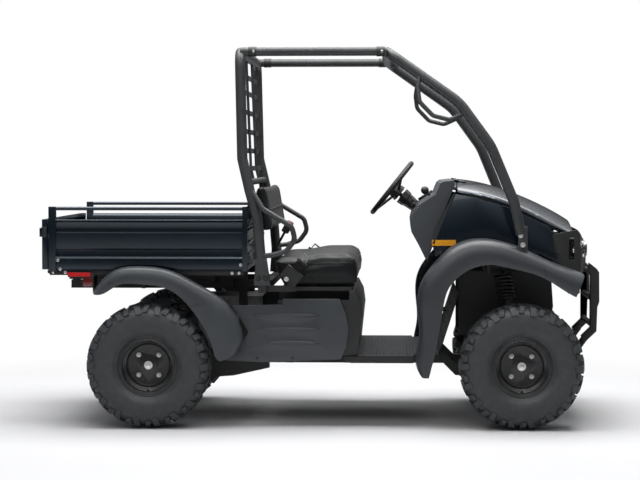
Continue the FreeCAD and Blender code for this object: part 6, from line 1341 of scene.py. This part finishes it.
@dataclass
class BenchSeat(Assembly):
    """The bench seat's cushion and back."""

    parts: tuple[Cushion, ...] = (
        Cushion("bench_cushion", "seat_cushion", shrink=0.006, pressure=1.8, reach=0.0075, welt_share=0.74),
        Cushion("bench_back", "seat_back", shrink=0.005, pressure=1.5, reach=0.006, welt_share=0.5),
    )

    def build(self) -> None:
        """Makes both padded parts."""
        for part in self.parts:
            part.build(self.skin.nodes[part.node])


@dataclass(frozen=True)
class SideRow:
    """Like fasteners that sit on a side face, the same on both sides."""

    name: str
    coat: Coat
    size: float
    nodes: tuple[str, ...]
    places: Pairs
    head: Discs = BOLT_HEAD
    body: str = "chassis"


@dataclass
class Fasteners(Assembly):
    """Bolts, rivets and plugs that show on the sides."""

    rows: tuple[SideRow, ...] = (
        SideRow("hoop_bolts", Coat.ZINC, 0.020, ("front_hoop",), ((1776.0, 926.0), (1787.0, 881.0))),
        SideRow("hoop_foot_bolts", Coat.CHASSIS, 0.020, ("rear_hoop",), ((530.0, 720.0), (565.0, 720.0))),
        SideRow("clamp_bolts", Coat.ZINC, 0.013, ("roof_tubes",), ((505.0, 1801.0), (1118.0, 1801.0))),
        SideRow(
            "bed_bolts",
            Coat.ZINC,
            0.013,
            ("bed_sides", "bed_subframe"),
            tuple(zip((-439, -428, -463, -405, 400, 434, 442), (802, 759, 743, 743, 741, 741, 781))),
            body="cargo_bed",
        ),
        SideRow("cover_rivets", Coat.BLACK, 0.016, ("side_covers",), ((520.0, 335.0), (690.0, 335.0)), PLUG_HEAD),
        SideRow("cowl_rivets", Coat.BLACK, 0.015, ("cowl_sides",), ((1400.0, 838.0),), PLUG_HEAD),
        SideRow("nose_rivets", Coat.BLACK, 0.015, ("grille_surround", "cowl_sides"), ((1965.0, 838.0),), PLUG_HEAD),
    )

    def build(self) -> None:
        """Adds every row on both sides."""
        for row in self.rows:
            with making(row.body, **{row.name: row.coat}) as (piece,):
                for side in SIDES:
                    for from_rear, z in row.places:
                        place, outward = self.skin.side(row.nodes, side, from_rear, z)
                        piece.stack(place, outward, row.head, row.size)


@dataclass
class SeatBelts(Assembly):
    """Webbing, tongues, anchor bolts and buckles of both seats."""

    tilt: float = 38.0
    webbing_foot: Triple = (700.0, 590.0, 748.0)
    webbing_step: float = 0.014
    webbing_points: int = 5
    webbing_size: Pair = (0.0012, 0.046)
    tongue: Blocks = (((0, 0, 0.062), (0.058, 0.014, 0.012), 0.003, 2),)
    loop: Blocks = (
        ((-0.014, 0, 0.082), (0.006, 0.0025, 0.032), 0.0008, 2),
        ((0.014, 0, 0.082), (0.006, 0.0025, 0.032), 0.0008, 2),
        ((0, 0, 0.098), (0.034, 0.0025, 0.008), 0.0008, 2),
    )
    anchor: Pair = (664.0, 716.0)
    anchor_size: float = 0.016
    anchor_rise: float = 0.0020
    anchor_washer: Discs = ((0.0, 0.0025, 0.012, 0.0115, 24, 0.0),)
    stalk_size: Pair = (0.005, 0.022)
    buckle: Blocks = (((0, 0, 0.028), (0.022, 0.036, 0.060), 0.005, 3),)
    button: Blocks = (((0, 0, 0.0575), (0.010, 0.024, 0.005), 0.0015, 2),)
    buckle_y: float = 45.0
    buckle_low: Pair = (582.0, 848.0)
    buckle_top: Pair = (622.0, 920.0)

    def build(self) -> None:
        """Adds the parts of both belts."""
        turn = Matrix.Rotation(math.radians(self.tilt), 3, "Y")
        across, rise = turn @ Vector((1, 0, 0)), turn @ UP
        thickness, width = self.webbing_size
        coats = {"belt_webbing": Coat.BELT, "belt_tongues": Coat.BLACK, "belt_loops": Coat.STEEL}
        coats |= {"belt_bolts": Coat.ZINC, "buckle_stalks": Coat.BLACK, "buckle_buttons": Coat.RED}
        with making("chassis", **coats) as (webbing, tongues, loops, bolts, stalks, buttons):
            for side in SIDES:
                from_rear, y, z = self.webbing_foot
                foot = spot(from_rear, side * y, z)
                path = [foot + rise * step * self.webbing_step for step in range(self.webbing_points)]
                webbing.tube(path, thickness, 8, width, across)
                tongues.blocks(foot, self.tongue, turn)
                loops.blocks(foot, self.loop, turn)
                place, outward = self.skin.side(("seat_belts",), side, *self.anchor)
                bolts.stack(place, outward, self.anchor_washer)
                bolts.stack(place + outward * self.anchor_rise, outward, BOLT_HEAD, self.anchor_size)
                low, top = (spot(x, side * self.buckle_y, z) for x, z in (self.buckle_low, self.buckle_top))
                stalks.tube([low, (low + top) / 2, top], self.stalk_size[0], 12, self.stalk_size[1], Vector((0, 1, 0)))
                level = (top - low).to_track_quat("Z", "Y").to_matrix()
                stalks.blocks(top, self.buckle, level)
                buttons.blocks(top, self.button, level)


@dataclass
class SteeringTrim(Assembly):
    """Pad and cover on the steering wheel, and the shroud round its column."""

    centre: Vector = spot(1164.0, 280.0, 1140.0)
    lean: float = 38.5
    behind: float = 0.3
    pad: Discs = ((0.0, 0.008, 0.030, 0.026, 32, 0.002), (0.008, 0.011, 0.019, 0.016, 32, 0.0))
    cover: Discs = ((0.012, 0.052, 0.037, 0.043, 8, 0.002),)
    shroud: Discs = ((0.064, 0.099, 0.043, 0.040, 8, 0.003), (0.099, 0.179, 0.036, 0.027, 8, 0.003))

    def build(self) -> None:
        """Adds the pad, the many sided cover and the column's shroud."""
        lean = math.radians(self.lean)
        down = Vector((math.cos(lean), 0, -math.sin(lean)))
        face, _ = self.skin.hit(("steering_wheel",), self.centre - down * self.behind, down)
        with making("steering_wheel", wheel_pad=Coat.GRIP) as (pad,):
            pad.stack(face, -down, self.pad)
        with making("steering_wheel", smooth=False, wheel_cover=Coat.BLACK) as (cover,):
            cover.stack(self.centre, down, self.cover)
        with making("chassis", smooth=False, column_shroud=Coat.BLACK) as (shroud,):
            shroud.stack(self.centre, down, self.shroud)


@dataclass
class Dash(Assembly):
    """Gauge, switches, key, lid, trim strips and lever boot of the dashboard."""

    low_face: tuple[float, float, float, float] = (1266.0, 1022.0, 1305.0, 1073.0)
    high_face: tuple[float, float, float, float] = (1305.0, 1073.0, 1376.0, 1119.0)
    outside: float = 0.12
    gauge_y: float = 280.0
    gauge_share: float = 0.5
    bezel: Pairs = ((0.043, -0.004), (0.043, 0.010), (0.040, 0.013), (0.036, 0.012), (0.034, 0.005), (0.0, 0.005))
    hub: Discs = ((0.0055, 0.0085, 0.0035, 0.0028, 16, 0.0),)
    needle: Blocks = (((0.010, 0, 0.0064), (0.026, 0.0016, 0.0010), 0.0003, 2),)
    mark: Blocks = (((0.028, 0, 0.0056), (0.006, 0.0014, 0.0008), 0.0, 2),)
    mark_turns: tuple[int, ...] = tuple(range(-130, 131, 26))
    switch_y: tuple[float, ...] = (120.0, 90.0, 60.0)
    switch_share: float = 0.55
    switch_frame: Blocks = (((0, 0, 0.001), (0.040, 0.025, 0.005), 0.0015, 2),)
    rocker: Blocks = (((0, 0, 0), (0.031, 0.017, 0.008), 0.002, 2),)
    rocker_turn: Matrix = Matrix.Rotation(math.radians(9), 3, "Y")
    rocker_rise: float = 0.005
    key_y: float = 165.0
    key_share: float = 0.60
    key_blade: Blocks = (((0, 0, 0.014), (0.010, 0.0022, 0.018), 0.0008, 2),)
    key_bow: Blocks = (((0, 0, 0.030), (0.028, 0.006, 0.020), 0.0028, 3),)
    key_hole: Discs = ((-0.002, 0.006, 0.014, 0.012, 28, 0.001),)
    knob_y: tuple[float, ...] = (20.0, -20.0)
    knob: Discs = ((-0.001, 0.010, 0.006, 0.006, 20, 0.0), (0.010, 0.024, 0.011, 0.013, 28, 0.002))
    lid_y: float = -270.0
    lid_share: float = 0.5
    lid_plate: Blocks = (((0, 0, 0.0015), (0.046, 0.240, 0.007), 0.003, 3),)
    lid_catch: Blocks = (((0.008, 0, 0.006), (0.016, 0.036, 0.006), 0.002, 2),)
    lever: tuple[Vector, Vector] = (spot(1385.0, -60.0, 1075.0), spot(1330.0, -60.0, 1132.0))
    boot_foot: Pairs = ((0.0, -0.012), (0.030, -0.012), (0.030, 0.0))
    boot_height: float = 0.034
    boot_radii: Pair = (0.027, 0.009)
    boot_rise: float = 0.006
    boot_cap: float = 0.002
    boot_steps: int = 12
    boot_sides: int = 40
    pleat: float = 0.0022
    pleats: int = 3
    strip_size: Pair = (0.0022, 0.013)
    strip_lift: float = 0.0006
    strip_across: Vector = Vector((-0.85, 0, 0.5))
    strip_from_rear: tuple[float, ...] = (1467.0, 1450.0, 1432.0, 1416.0, 1396.0, 1378.0, 1366.0)
    strip_z: tuple[float, ...] = (1120.0, 1085.0, 1048.0, 1010.0, 962.0, 915.0, 881.0)

    def seat(self, face: tuple[float, float, float, float], share: float, y: float) -> tuple[Vector, Matrix]:
        """Finds a place on a face of the dashboard.

        Args:
            face: The face's lower and upper edge.
            share: How far up the face.
            y: Millimetres to the left.

        Returns:
            The point, and a turn whose Z points away from the face and X up along it.
        """
        low, high = spot(face[0], y, face[1]), spot(face[2], y, face[3])
        along = (high - low).normalized()
        outward = Vector((0, 1, 0)).cross(along) * -1
        place, _ = self.skin.hit(("dashboard",), low + (high - low) * share + outward * self.outside, -outward)
        return place, Matrix((along, outward.cross(along), outward)).transposed()

    def gauge(self) -> None:
        """Adds the round gauge with its bezel, marks and needle."""
        place, turn = self.seat(self.high_face, self.gauge_share, self.gauge_y)
        with making("chassis", gauge_bezel=Coat.BLACK, gauge_dial=Coat.MIRROR) as (bezel, dial):
            bezel.lathe(self.bezel, place, turn @ UP)
            for angle in self.mark_turns:
                dial.blocks(place, self.mark, turn @ Matrix.Rotation(math.radians(angle), 3, "Z"))
            dial.blocks(place, self.needle, turn)
            dial.stack(place, turn @ UP, self.hub)

    def switches(self) -> None:
        """Adds rocker switches, the key and two knobs."""
        coats = {"switch_frames": Coat.BLACK, "switch_rockers": Coat.GRIP, "key": Coat.STEEL}
        coats |= {"key_bow": Coat.BLACK, "dash_knobs": Coat.BLACK}
        with making("chassis", **coats) as (frames, rockers, key, bow, knobs):
            for y in self.switch_y:
                place, turn = self.seat(self.low_face, self.switch_share, y)
                frames.blocks(place, self.switch_frame, turn)
                rockers.blocks(place + turn @ UP * self.rocker_rise, self.rocker, turn @ self.rocker_turn)
            place, turn = self.seat(self.low_face, self.key_share, self.key_y)
            key.stack(place, turn @ UP, self.key_hole)
            key.blocks(place, self.key_blade, turn)
            bow.blocks(place, self.key_bow, turn)
            for y in self.knob_y:
                place, turn = self.seat(self.low_face, self.switch_share, y)
                knobs.stack(place, turn @ UP, self.knob)

    def lid(self) -> None:
        """Adds the lid of the box in front of the passenger, with its catch."""
        place, turn = self.seat(self.low_face, self.lid_share, self.lid_y)
        with making("chassis", glove_lid=Coat.SOFT_BLACK, glove_catch=Coat.BLACK) as (lid, catch):
            lid.blocks(place, self.lid_plate, turn)
            catch.blocks(place, self.lid_catch, turn)

    def boot(self) -> None:
        """Adds the pleated boot at the foot of the shift lever."""
        foot, top = self.lever
        up = (top - foot).normalized()
        low, high = self.boot_radii
        outline = list(self.boot_foot)
        for share in (index / self.boot_steps for index in range(self.boot_steps + 1)):
            radius = low + (high - low) * share + self.pleat * math.cos(share * math.tau * self.pleats)
            outline.append((radius, self.boot_height * share))
        outline.append((0.0, self.boot_height + self.boot_cap))
        with making("chassis", lever_boot=Coat.GRIP) as (boot,):
            boot.lathe(outline, foot + up * self.boot_rise, up, self.boot_sides)

    def strips(self) -> None:
        """Lays the trim strips along the rear edges of the cowl."""
        thickness, width = self.strip_size
        with making("chassis", cowl_strips=Coat.BLACK) as (piece,):
            for side in SIDES:
                lift = Vector((0, side * self.strip_lift, 0))
                places = zip(self.strip_from_rear, self.strip_z)
                path = [self.skin.side(("cowl_sides", "dashboard"), side, *place)[0] + lift for place in places]
                piece.tube(path, thickness, 10, width, self.strip_across)

    def build(self) -> None:
        """Adds all parts of the dashboard."""
        for part in (self.gauge, self.switches, self.lid, self.boot, self.strips):
            part()


@dataclass
class HeadLamps(Assembly):
    """Bowls, bulbs and housings behind the clear head lamp covers."""

    lamp_y: float = 0.320
    housing: Blocks = (((0.006, 0, 0), (0.010, 0.146, 0.086), 0.003, 2),)
    bowl_depth: float = 0.042
    bowl_radius: float = 0.034
    bowl_lip: float = 0.0015
    bowl_front: float = 0.002
    bowl_shift: float = 0.036
    bowl_inset: float = 0.012
    bowl_steps: int = 10
    bulb: Discs = ((0.0, 0.020, 0.007, 0.006, 20, 0.002),)

    def build(self) -> None:
        """Adds two bowls with bulbs and a dark housing to each lamp."""
        low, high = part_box("headlamps")
        z = (low.z + high.z) / 2
        ahead = Vector((1, 0, 0))
        curve = [(self.bowl_radius + self.bowl_lip, self.bowl_front)]
        for share in (1 - index / self.bowl_steps for index in range(self.bowl_steps + 1)):
            curve.append((self.bowl_radius * share, -self.bowl_depth * (1 - share**2)))
        coats = {"lamp_bowls": Coat.MIRROR, "lamp_bulbs": Coat.ZINC, "lamp_housings": Coat.BLACK}
        with making("chassis", **coats) as (bowls, bulbs, housings):
            for side in SIDES:
                housings.blocks(Vector((low.x, side * self.lamp_y, z)), self.housing)
                for shift in SIDES:
                    mouth = Vector((high.x - self.bowl_inset, side * self.lamp_y + shift * self.bowl_shift, z))
                    bowls.lathe(curve, mouth, ahead)
                    bulbs.stack(mouth - ahead * self.bowl_depth, ahead, self.bulb)


@dataclass
class GrilleScreen(Assembly):
    """Dark screen behind the grille's bars and the lip that closes the hood's front."""

    screen_place: Vector = Vector((1.188, 0, 0.802))
    screen: Blocks = (((0, 0, 0), (0.003, 0.470, 0.240), 0.001, 2),)
    fin_size: Triple = (0.008, 0.0016, 0.2304)
    fin_ahead: float = 0.005
    fin_reach: float = 0.4606
    fins: int = 40
    lip_half: float = 0.400
    lip_foot: float = 0.930
    lip_steps: int = 32
    lip_climb: tuple[int, float] = (260, 0.0005)
    lip_ahead: float = 1.6
    lip_reach: float = 0.5
    lip_least: float = 0.004
    lip_shift: Vector = Vector((-0.006, 0, 0.002))
    lip_depth: Vector = Vector((-0.003, 0, 0))

    def build(self) -> None:
        """Adds the screen with its fins, and the lip."""
        places = [self.fin_reach * ((index + 0.5) / self.fins - 0.5) for index in range(self.fins)]
        with making("chassis", grille_screen=Coat.BLACK) as (screen,):
            screen.blocks(self.screen_place, self.screen)
            screen.blocks(self.screen_place, [((self.fin_ahead, y, 0), self.fin_size, 0.0, 2) for y in places])
        edge = []
        for index in range(self.lip_steps + 1):
            start = Vector((self.lip_ahead, self.lip_half * (2 * index / self.lip_steps - 1), self.lip_foot))
            found = self.skin.lower_edge("hood_lid", start, Vector((-1, 0, 0)), self.lip_climb, self.lip_reach)
            if found and found.z > self.lip_foot + self.lip_least:
                edge.append(found + self.lip_shift)
        if len(edge) < 3:
            LOG.warning("the hood's front edge was not found")
            return
        with making("hood", hood_lip=Coat.BLACK) as (lip,):
            lip.band(edge, [Vector((point.x, point.y, self.lip_foot)) for point in edge], self.lip_depth)


@dataclass
class TailLamps(Assembly):
    """Rear lamps apart from the brackets that carry them."""

    bracket_top: float = 0.735
    lens_edge: float = 0.003
    lens_angle: float = 0.5
    lens_steps: int = 3

    def build(self) -> None:
        """Splits the node into its lamps and its brackets."""
        parts = (("rear_lamp_lenses", Coat.DARK_RED, False), ("lamp_brackets", Coat.CHASSIS, True))
        for name, coat, is_bracket in parts:
            part = merged(self.skin.nodes["tail_lamps"])
            loose = [vert for vert in part.verts if (self.top_of(vert) > self.bracket_top) != is_bracket]
            bmesh.ops.delete(part, geom=loose, context="VERTS")
            if not is_bracket:
                round_edges(part, sharp_edges(part, self.lens_angle), self.lens_edge, self.lens_steps)
            piece = Piece(name, "chassis", coat)
            piece.take(part)
            piece.finish(("tail_lamps",))

    @staticmethod
    def top_of(vert: bmesh.types.BMVert) -> float:
        """Highest point of the solid that a vertex belongs to.

        Args:
            vert: The vertex.

        Returns:
            The height of that point.
        """
        seen = {vert}
        waiting = [vert]
        while waiting:
            here = waiting.pop()
            others = {edge.other_vert(here) for edge in here.link_edges} - seen
            seen |= others
            waiting.extend(others)
        return max(point.co.z for point in seen)


@dataclass
class HoodTrim(Assembly):
    """Rubber catches on the hood's rear edge and the seals along its sides."""

    catch_place: Pair = (1496.0, 225.0)
    above: float = 1400.0
    catch: Blocks = (
        ((0, 0, 0.002), (0.070, 0.030, 0.008), 0.003, 3),
        ((-0.016, 0, 0.008), (0.026, 0.044, 0.007), 0.003, 3),
    )
    seal_ends: Pair = (1500.0, 2030.0)
    seal_low: float = 900.0
    seal_climb: tuple[int, float] = (300, MM)
    seal_steps: int = 36
    seal_radius: float = 0.009
    seal_inset: float = 0.016
    seal_drop_share: float = 0.45

    def seals(self) -> None:
        """Lays the rubber seals that close the gap between the cowl and the hood's side edges."""
        start, end = self.seal_ends
        with making("chassis", hood_seals=Coat.GRIP) as (piece,):
            for side in SIDES:
                path = []
                for index in range(self.seal_steps):
                    from_rear = start + (end - start) * index / (self.seal_steps - 1)
                    outside = spot(from_rear, side * FAR_SIDE, self.seal_low)
                    edge = self.skin.lower_edge("hood_lid", outside, Vector((0, -side, 0)), self.seal_climb, 1.0)
                    if edge:
                        path.append(edge - Vector((0, side * self.seal_inset, self.seal_radius * self.seal_drop_share)))
                piece.tube(path, self.seal_radius, 12)

    def build(self) -> None:
        """Adds the catches and the seals."""
        self.seals()
        from_rear, y = self.catch_place
        with making("hood", hood_catches=Coat.GRIP) as (catches,):
            for side in SIDES:
                place, outward = self.skin.hit(("hood_lid",), spot(from_rear, side * y, self.above), -UP)
                catches.blocks(place, self.catch, UP.rotation_difference(outward).to_matrix())


@dataclass
class BedTrim(Assembly):
    """Pivots and latches of the tailgate."""

    latch: Pair = (-500.0, 936.0)
    latch_rise: float = 0.002
    lever: Blocks = (
        ((0, 0, 0), (0.020, 0.008, 0.048), 0.002, 2),
        ((-0.002, 0, 0.022), (0.026, 0.010, 0.010), 0.002, 2),
    )
    pivot: Pair = (-497.0, 743.0)
    pivot_wall: Pair = (-489.0, 748.0)
    pivot_cap: Discs = ((-0.002, 0.005, 0.0105, 0.0098, 28, 0.001),)

    def build(self) -> None:
        """Adds the latch levers and the pivot caps."""
        coats = {"tailgate_latches": Coat.CHASSIS, "tailgate_pivots": Coat.CHASSIS}
        with making("tailgate", **coats) as (levers, pivots):
            for side in SIDES:
                place, outward = self.skin.side(("tailgate",), side, *self.latch)
                levers.blocks(place + outward * self.latch_rise, self.lever)
                wall, outward = self.skin.side(("tailgate", "bed_sides"), side, *self.pivot_wall)
                pivot = spot(self.pivot[0], 0.0, self.pivot[1])
                pivots.stack(Vector((pivot.x, wall.y, pivot.z)), outward, self.pivot_cap)


@dataclass
class BodyTrim(Assembly):
    """Grommets in the front hoop's feet, plugs along the fenders' lips and collars of the roof tubes."""

    collar_places: Pairs = ((-0.350, -0.312), (0.262, 0.300))
    collar_wall: float = 0.0028
    grommet_place: Pair = (1788.0, 860.0)
    grommet: Discs = ((-0.004, 0.003, 0.013, 0.012, 28, 0.0015),)
    plug_size: float = 0.012
    plugs: tuple[tuple[str, float, float], ...] = (
        ("front_fenders", 1328.0, 700.0),
        ("front_fenders", 1385.0, 800.0),
        ("rear_fenders", -180.0, 700.0),
        ("rear_fenders", 240.0, 600.0),
    )

    def collars(self) -> None:
        """Adds the clamp collars at both ends of the roof tubes."""
        low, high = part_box("roof_tubes")
        radius = (high.z - low.z) / 2
        wide = radius + self.collar_wall
        with making("chassis", roof_collars=Coat.CHASSIS) as (piece,):
            for side in SIDES:
                foot = Vector((0, side * (high.y - radius), (low.z + high.z) / 2))
                discs = [(start, end, wide, wide, 40, 0.001) for start, end in self.collar_places]
                piece.stack(foot, Vector((1, 0, 0)), discs)

    def build(self) -> None:
        """Adds the grommets, the plugs and the collars on both sides."""
        self.collars()
        with making("chassis", hoop_grommets=Coat.GRIP, fender_plugs=Coat.BLACK) as (grommets, plugs):
            for side in SIDES:
                place, _ = self.skin.side(("front_hoop", "cowl_sides", "front_fenders"), side, *self.grommet_place)
                grommets.stack(place, Vector((0, side, 0)), self.grommet)
                for node, from_rear, z in self.plugs:
                    plugs.stack(*self.skin.side((node,), side, from_rear, z), PLUG_HEAD, self.plug_size)


# Studio


@dataclass
class Studio:
    """Pale floor, soft lamps and the camera of the photograph."""

    lens: float = 109.62
    sensor: float = 36.0
    camera_place: Vector = Vector((0.3648, -9.870, 1.2788))
    yaw: float = 2.290
    pitch: float = 2.321
    floor_size: float = 400.0
    # Grey rather than white near the vehicle: a painted shade that deepens the vehicle's shadow; beyond shadow_edge the
    # floor turns plain white.
    shade_darkened_floor_colour: Colour = (0.66, 0.66, 0.67)
    shadow_edge: Pair = (1.9, 3.4)
    surround: float = 0.15
    surround_colour: Colour = (0.94, 0.97, 1.0)
    gloss_rise: tuple[float, float, float, float] = (0.0, 0.9, 0.06, 0.9)
    overhead_height: float = 5.0
    overhead_size: Pair = (5.0, 4.0)
    overhead_watts: float = 470.0
    side_place: Triple = (0.8, 4.8, 4.4)
    side_aim: float = 0.8
    side_size: Pair = (5.0, 2.2)
    side_watts: float = 76.0

    def camera(self) -> None:
        """Sets the camera of the photograph."""
        data = bpy.data.cameras.new("camera")
        data.lens = self.lens
        data.sensor_width = self.sensor
        camera = add_object("camera", data)
        camera.location = self.camera_place
        camera.rotation_euler = (math.radians(90 - self.pitch), 0.0, math.radians(self.yaw))
        bpy.context.scene.camera = camera

    def floor(self) -> None:
        """Lays the floor: grey near the vehicle, a painted shade that deepens its shadow, and plain white far off for
        the camera.
        """
        mesh = bpy.data.meshes.new("floor")
        work = bmesh.new()
        bmesh.ops.create_grid(work, x_segments=1, y_segments=1, size=self.floor_size / 2)
        work.to_mesh(mesh)
        work.free()
        graph = Surface("pale_floor")
        # The grey base colour is a painted shade that deepens the shadow near the vehicle.
        graph.set(Base_Color=self.shade_darkened_floor_colour, Roughness=0.6, Specular_IOR_Level=0.1)
        reach = graph.add("ShaderNodeVectorMath", {"operation": "LENGTH"}, {0: graph.place()}, "Value")
        white = graph.add("ShaderNodeEmission", inputs={"Color": WHITE, "Strength": 1.0})
        seen = graph.ray("Camera").highest(graph.ray("Transmission"))
        graph.show(graph.blend(reach.steps(*self.shadow_edge) * seen, graph.shaded(), white))
        mesh.materials.append(graph.owner)
        add_object("floor", mesh)

    def world(self) -> None:
        """White to the camera and through glass, a softer surround for light and a graded one in gloss."""
        world = bpy.data.worlds.new("studio")
        graph = Graph(world, "ShaderNodeOutputWorld")
        height = graph.axis(graph.add("ShaderNodeTexCoord", output="Generated"), "Z")
        seen = graph.ray("Camera").highest(graph.ray("Transmission"))
        light, graded, white = (
            graph.add("ShaderNodeBackground", inputs={"Color": colour, "Strength": strength})
            for colour, strength in (
                (self.surround_colour, self.surround),
                (WHITE, height.steps(*self.gloss_rise)),
                (WHITE, 1.0),
            )
        )
        graph.show(graph.blend(seen, graph.blend(graph.ray("Glossy"), light, graded), white))
        bpy.context.scene.world = world

    def lamp(self, name: str, place: Vector, aim_height: float, size: Pair, watts: float) -> None:
        """Hangs a soft rectangular lamp that faces a point above the origin.

        Args:
            name: Name of the lamp.
            place: Where it hangs.
            aim_height: Height of the point that it faces.
            size: Its two sides.
            watts: Its power.
        """
        data = bpy.data.lights.new(name, "AREA")
        data.shape = "RECTANGLE"
        data.size, data.size_y = size
        data.energy = watts
        lamp = add_object(name, data)
        lamp.location = place
        lamp.rotation_euler = (UP * aim_height - place).to_track_quat("-Z", "Y").to_euler()

    def build(self) -> None:
        """Sets up the camera, the floor, the surround and the lamps."""
        bpy.context.scene.view_settings.view_transform = "Standard"
        self.camera()
        self.floor()
        self.world()
        self.lamp("overhead", UP * self.overhead_height, 0.0, self.overhead_size, self.overhead_watts)
        ahead, apart, height = self.side_place
        for side, name in zip(SIDES, ("near_side", "far_side")):
            place = Vector((side * ahead, side * apart, height))
            self.lamp(name, place, self.side_aim, self.side_size, self.side_watts)


ASSEMBLIES: tuple[type[Assembly], ...] = (
    FrameDresser,
    SoftParts,
    Wheels,
    BenchSeat,
    Fasteners,
    SeatBelts,
    SteeringTrim,
    Dash,
    HeadLamps,
    GrilleScreen,
    TailLamps,
    HoodTrim,
    BedTrim,
    BodyTrim,
)


def main() -> None:
    """Builds the scene."""
    logging.basicConfig(level=logging.INFO, format="%(name)s: %(message)s")
    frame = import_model()
    Studio().build()
    skin = Skin(frame["nodes"])
    for assembly in ASSEMBLIES:
        assembly(skin).build()


if __name__ == "__main__":
    main()
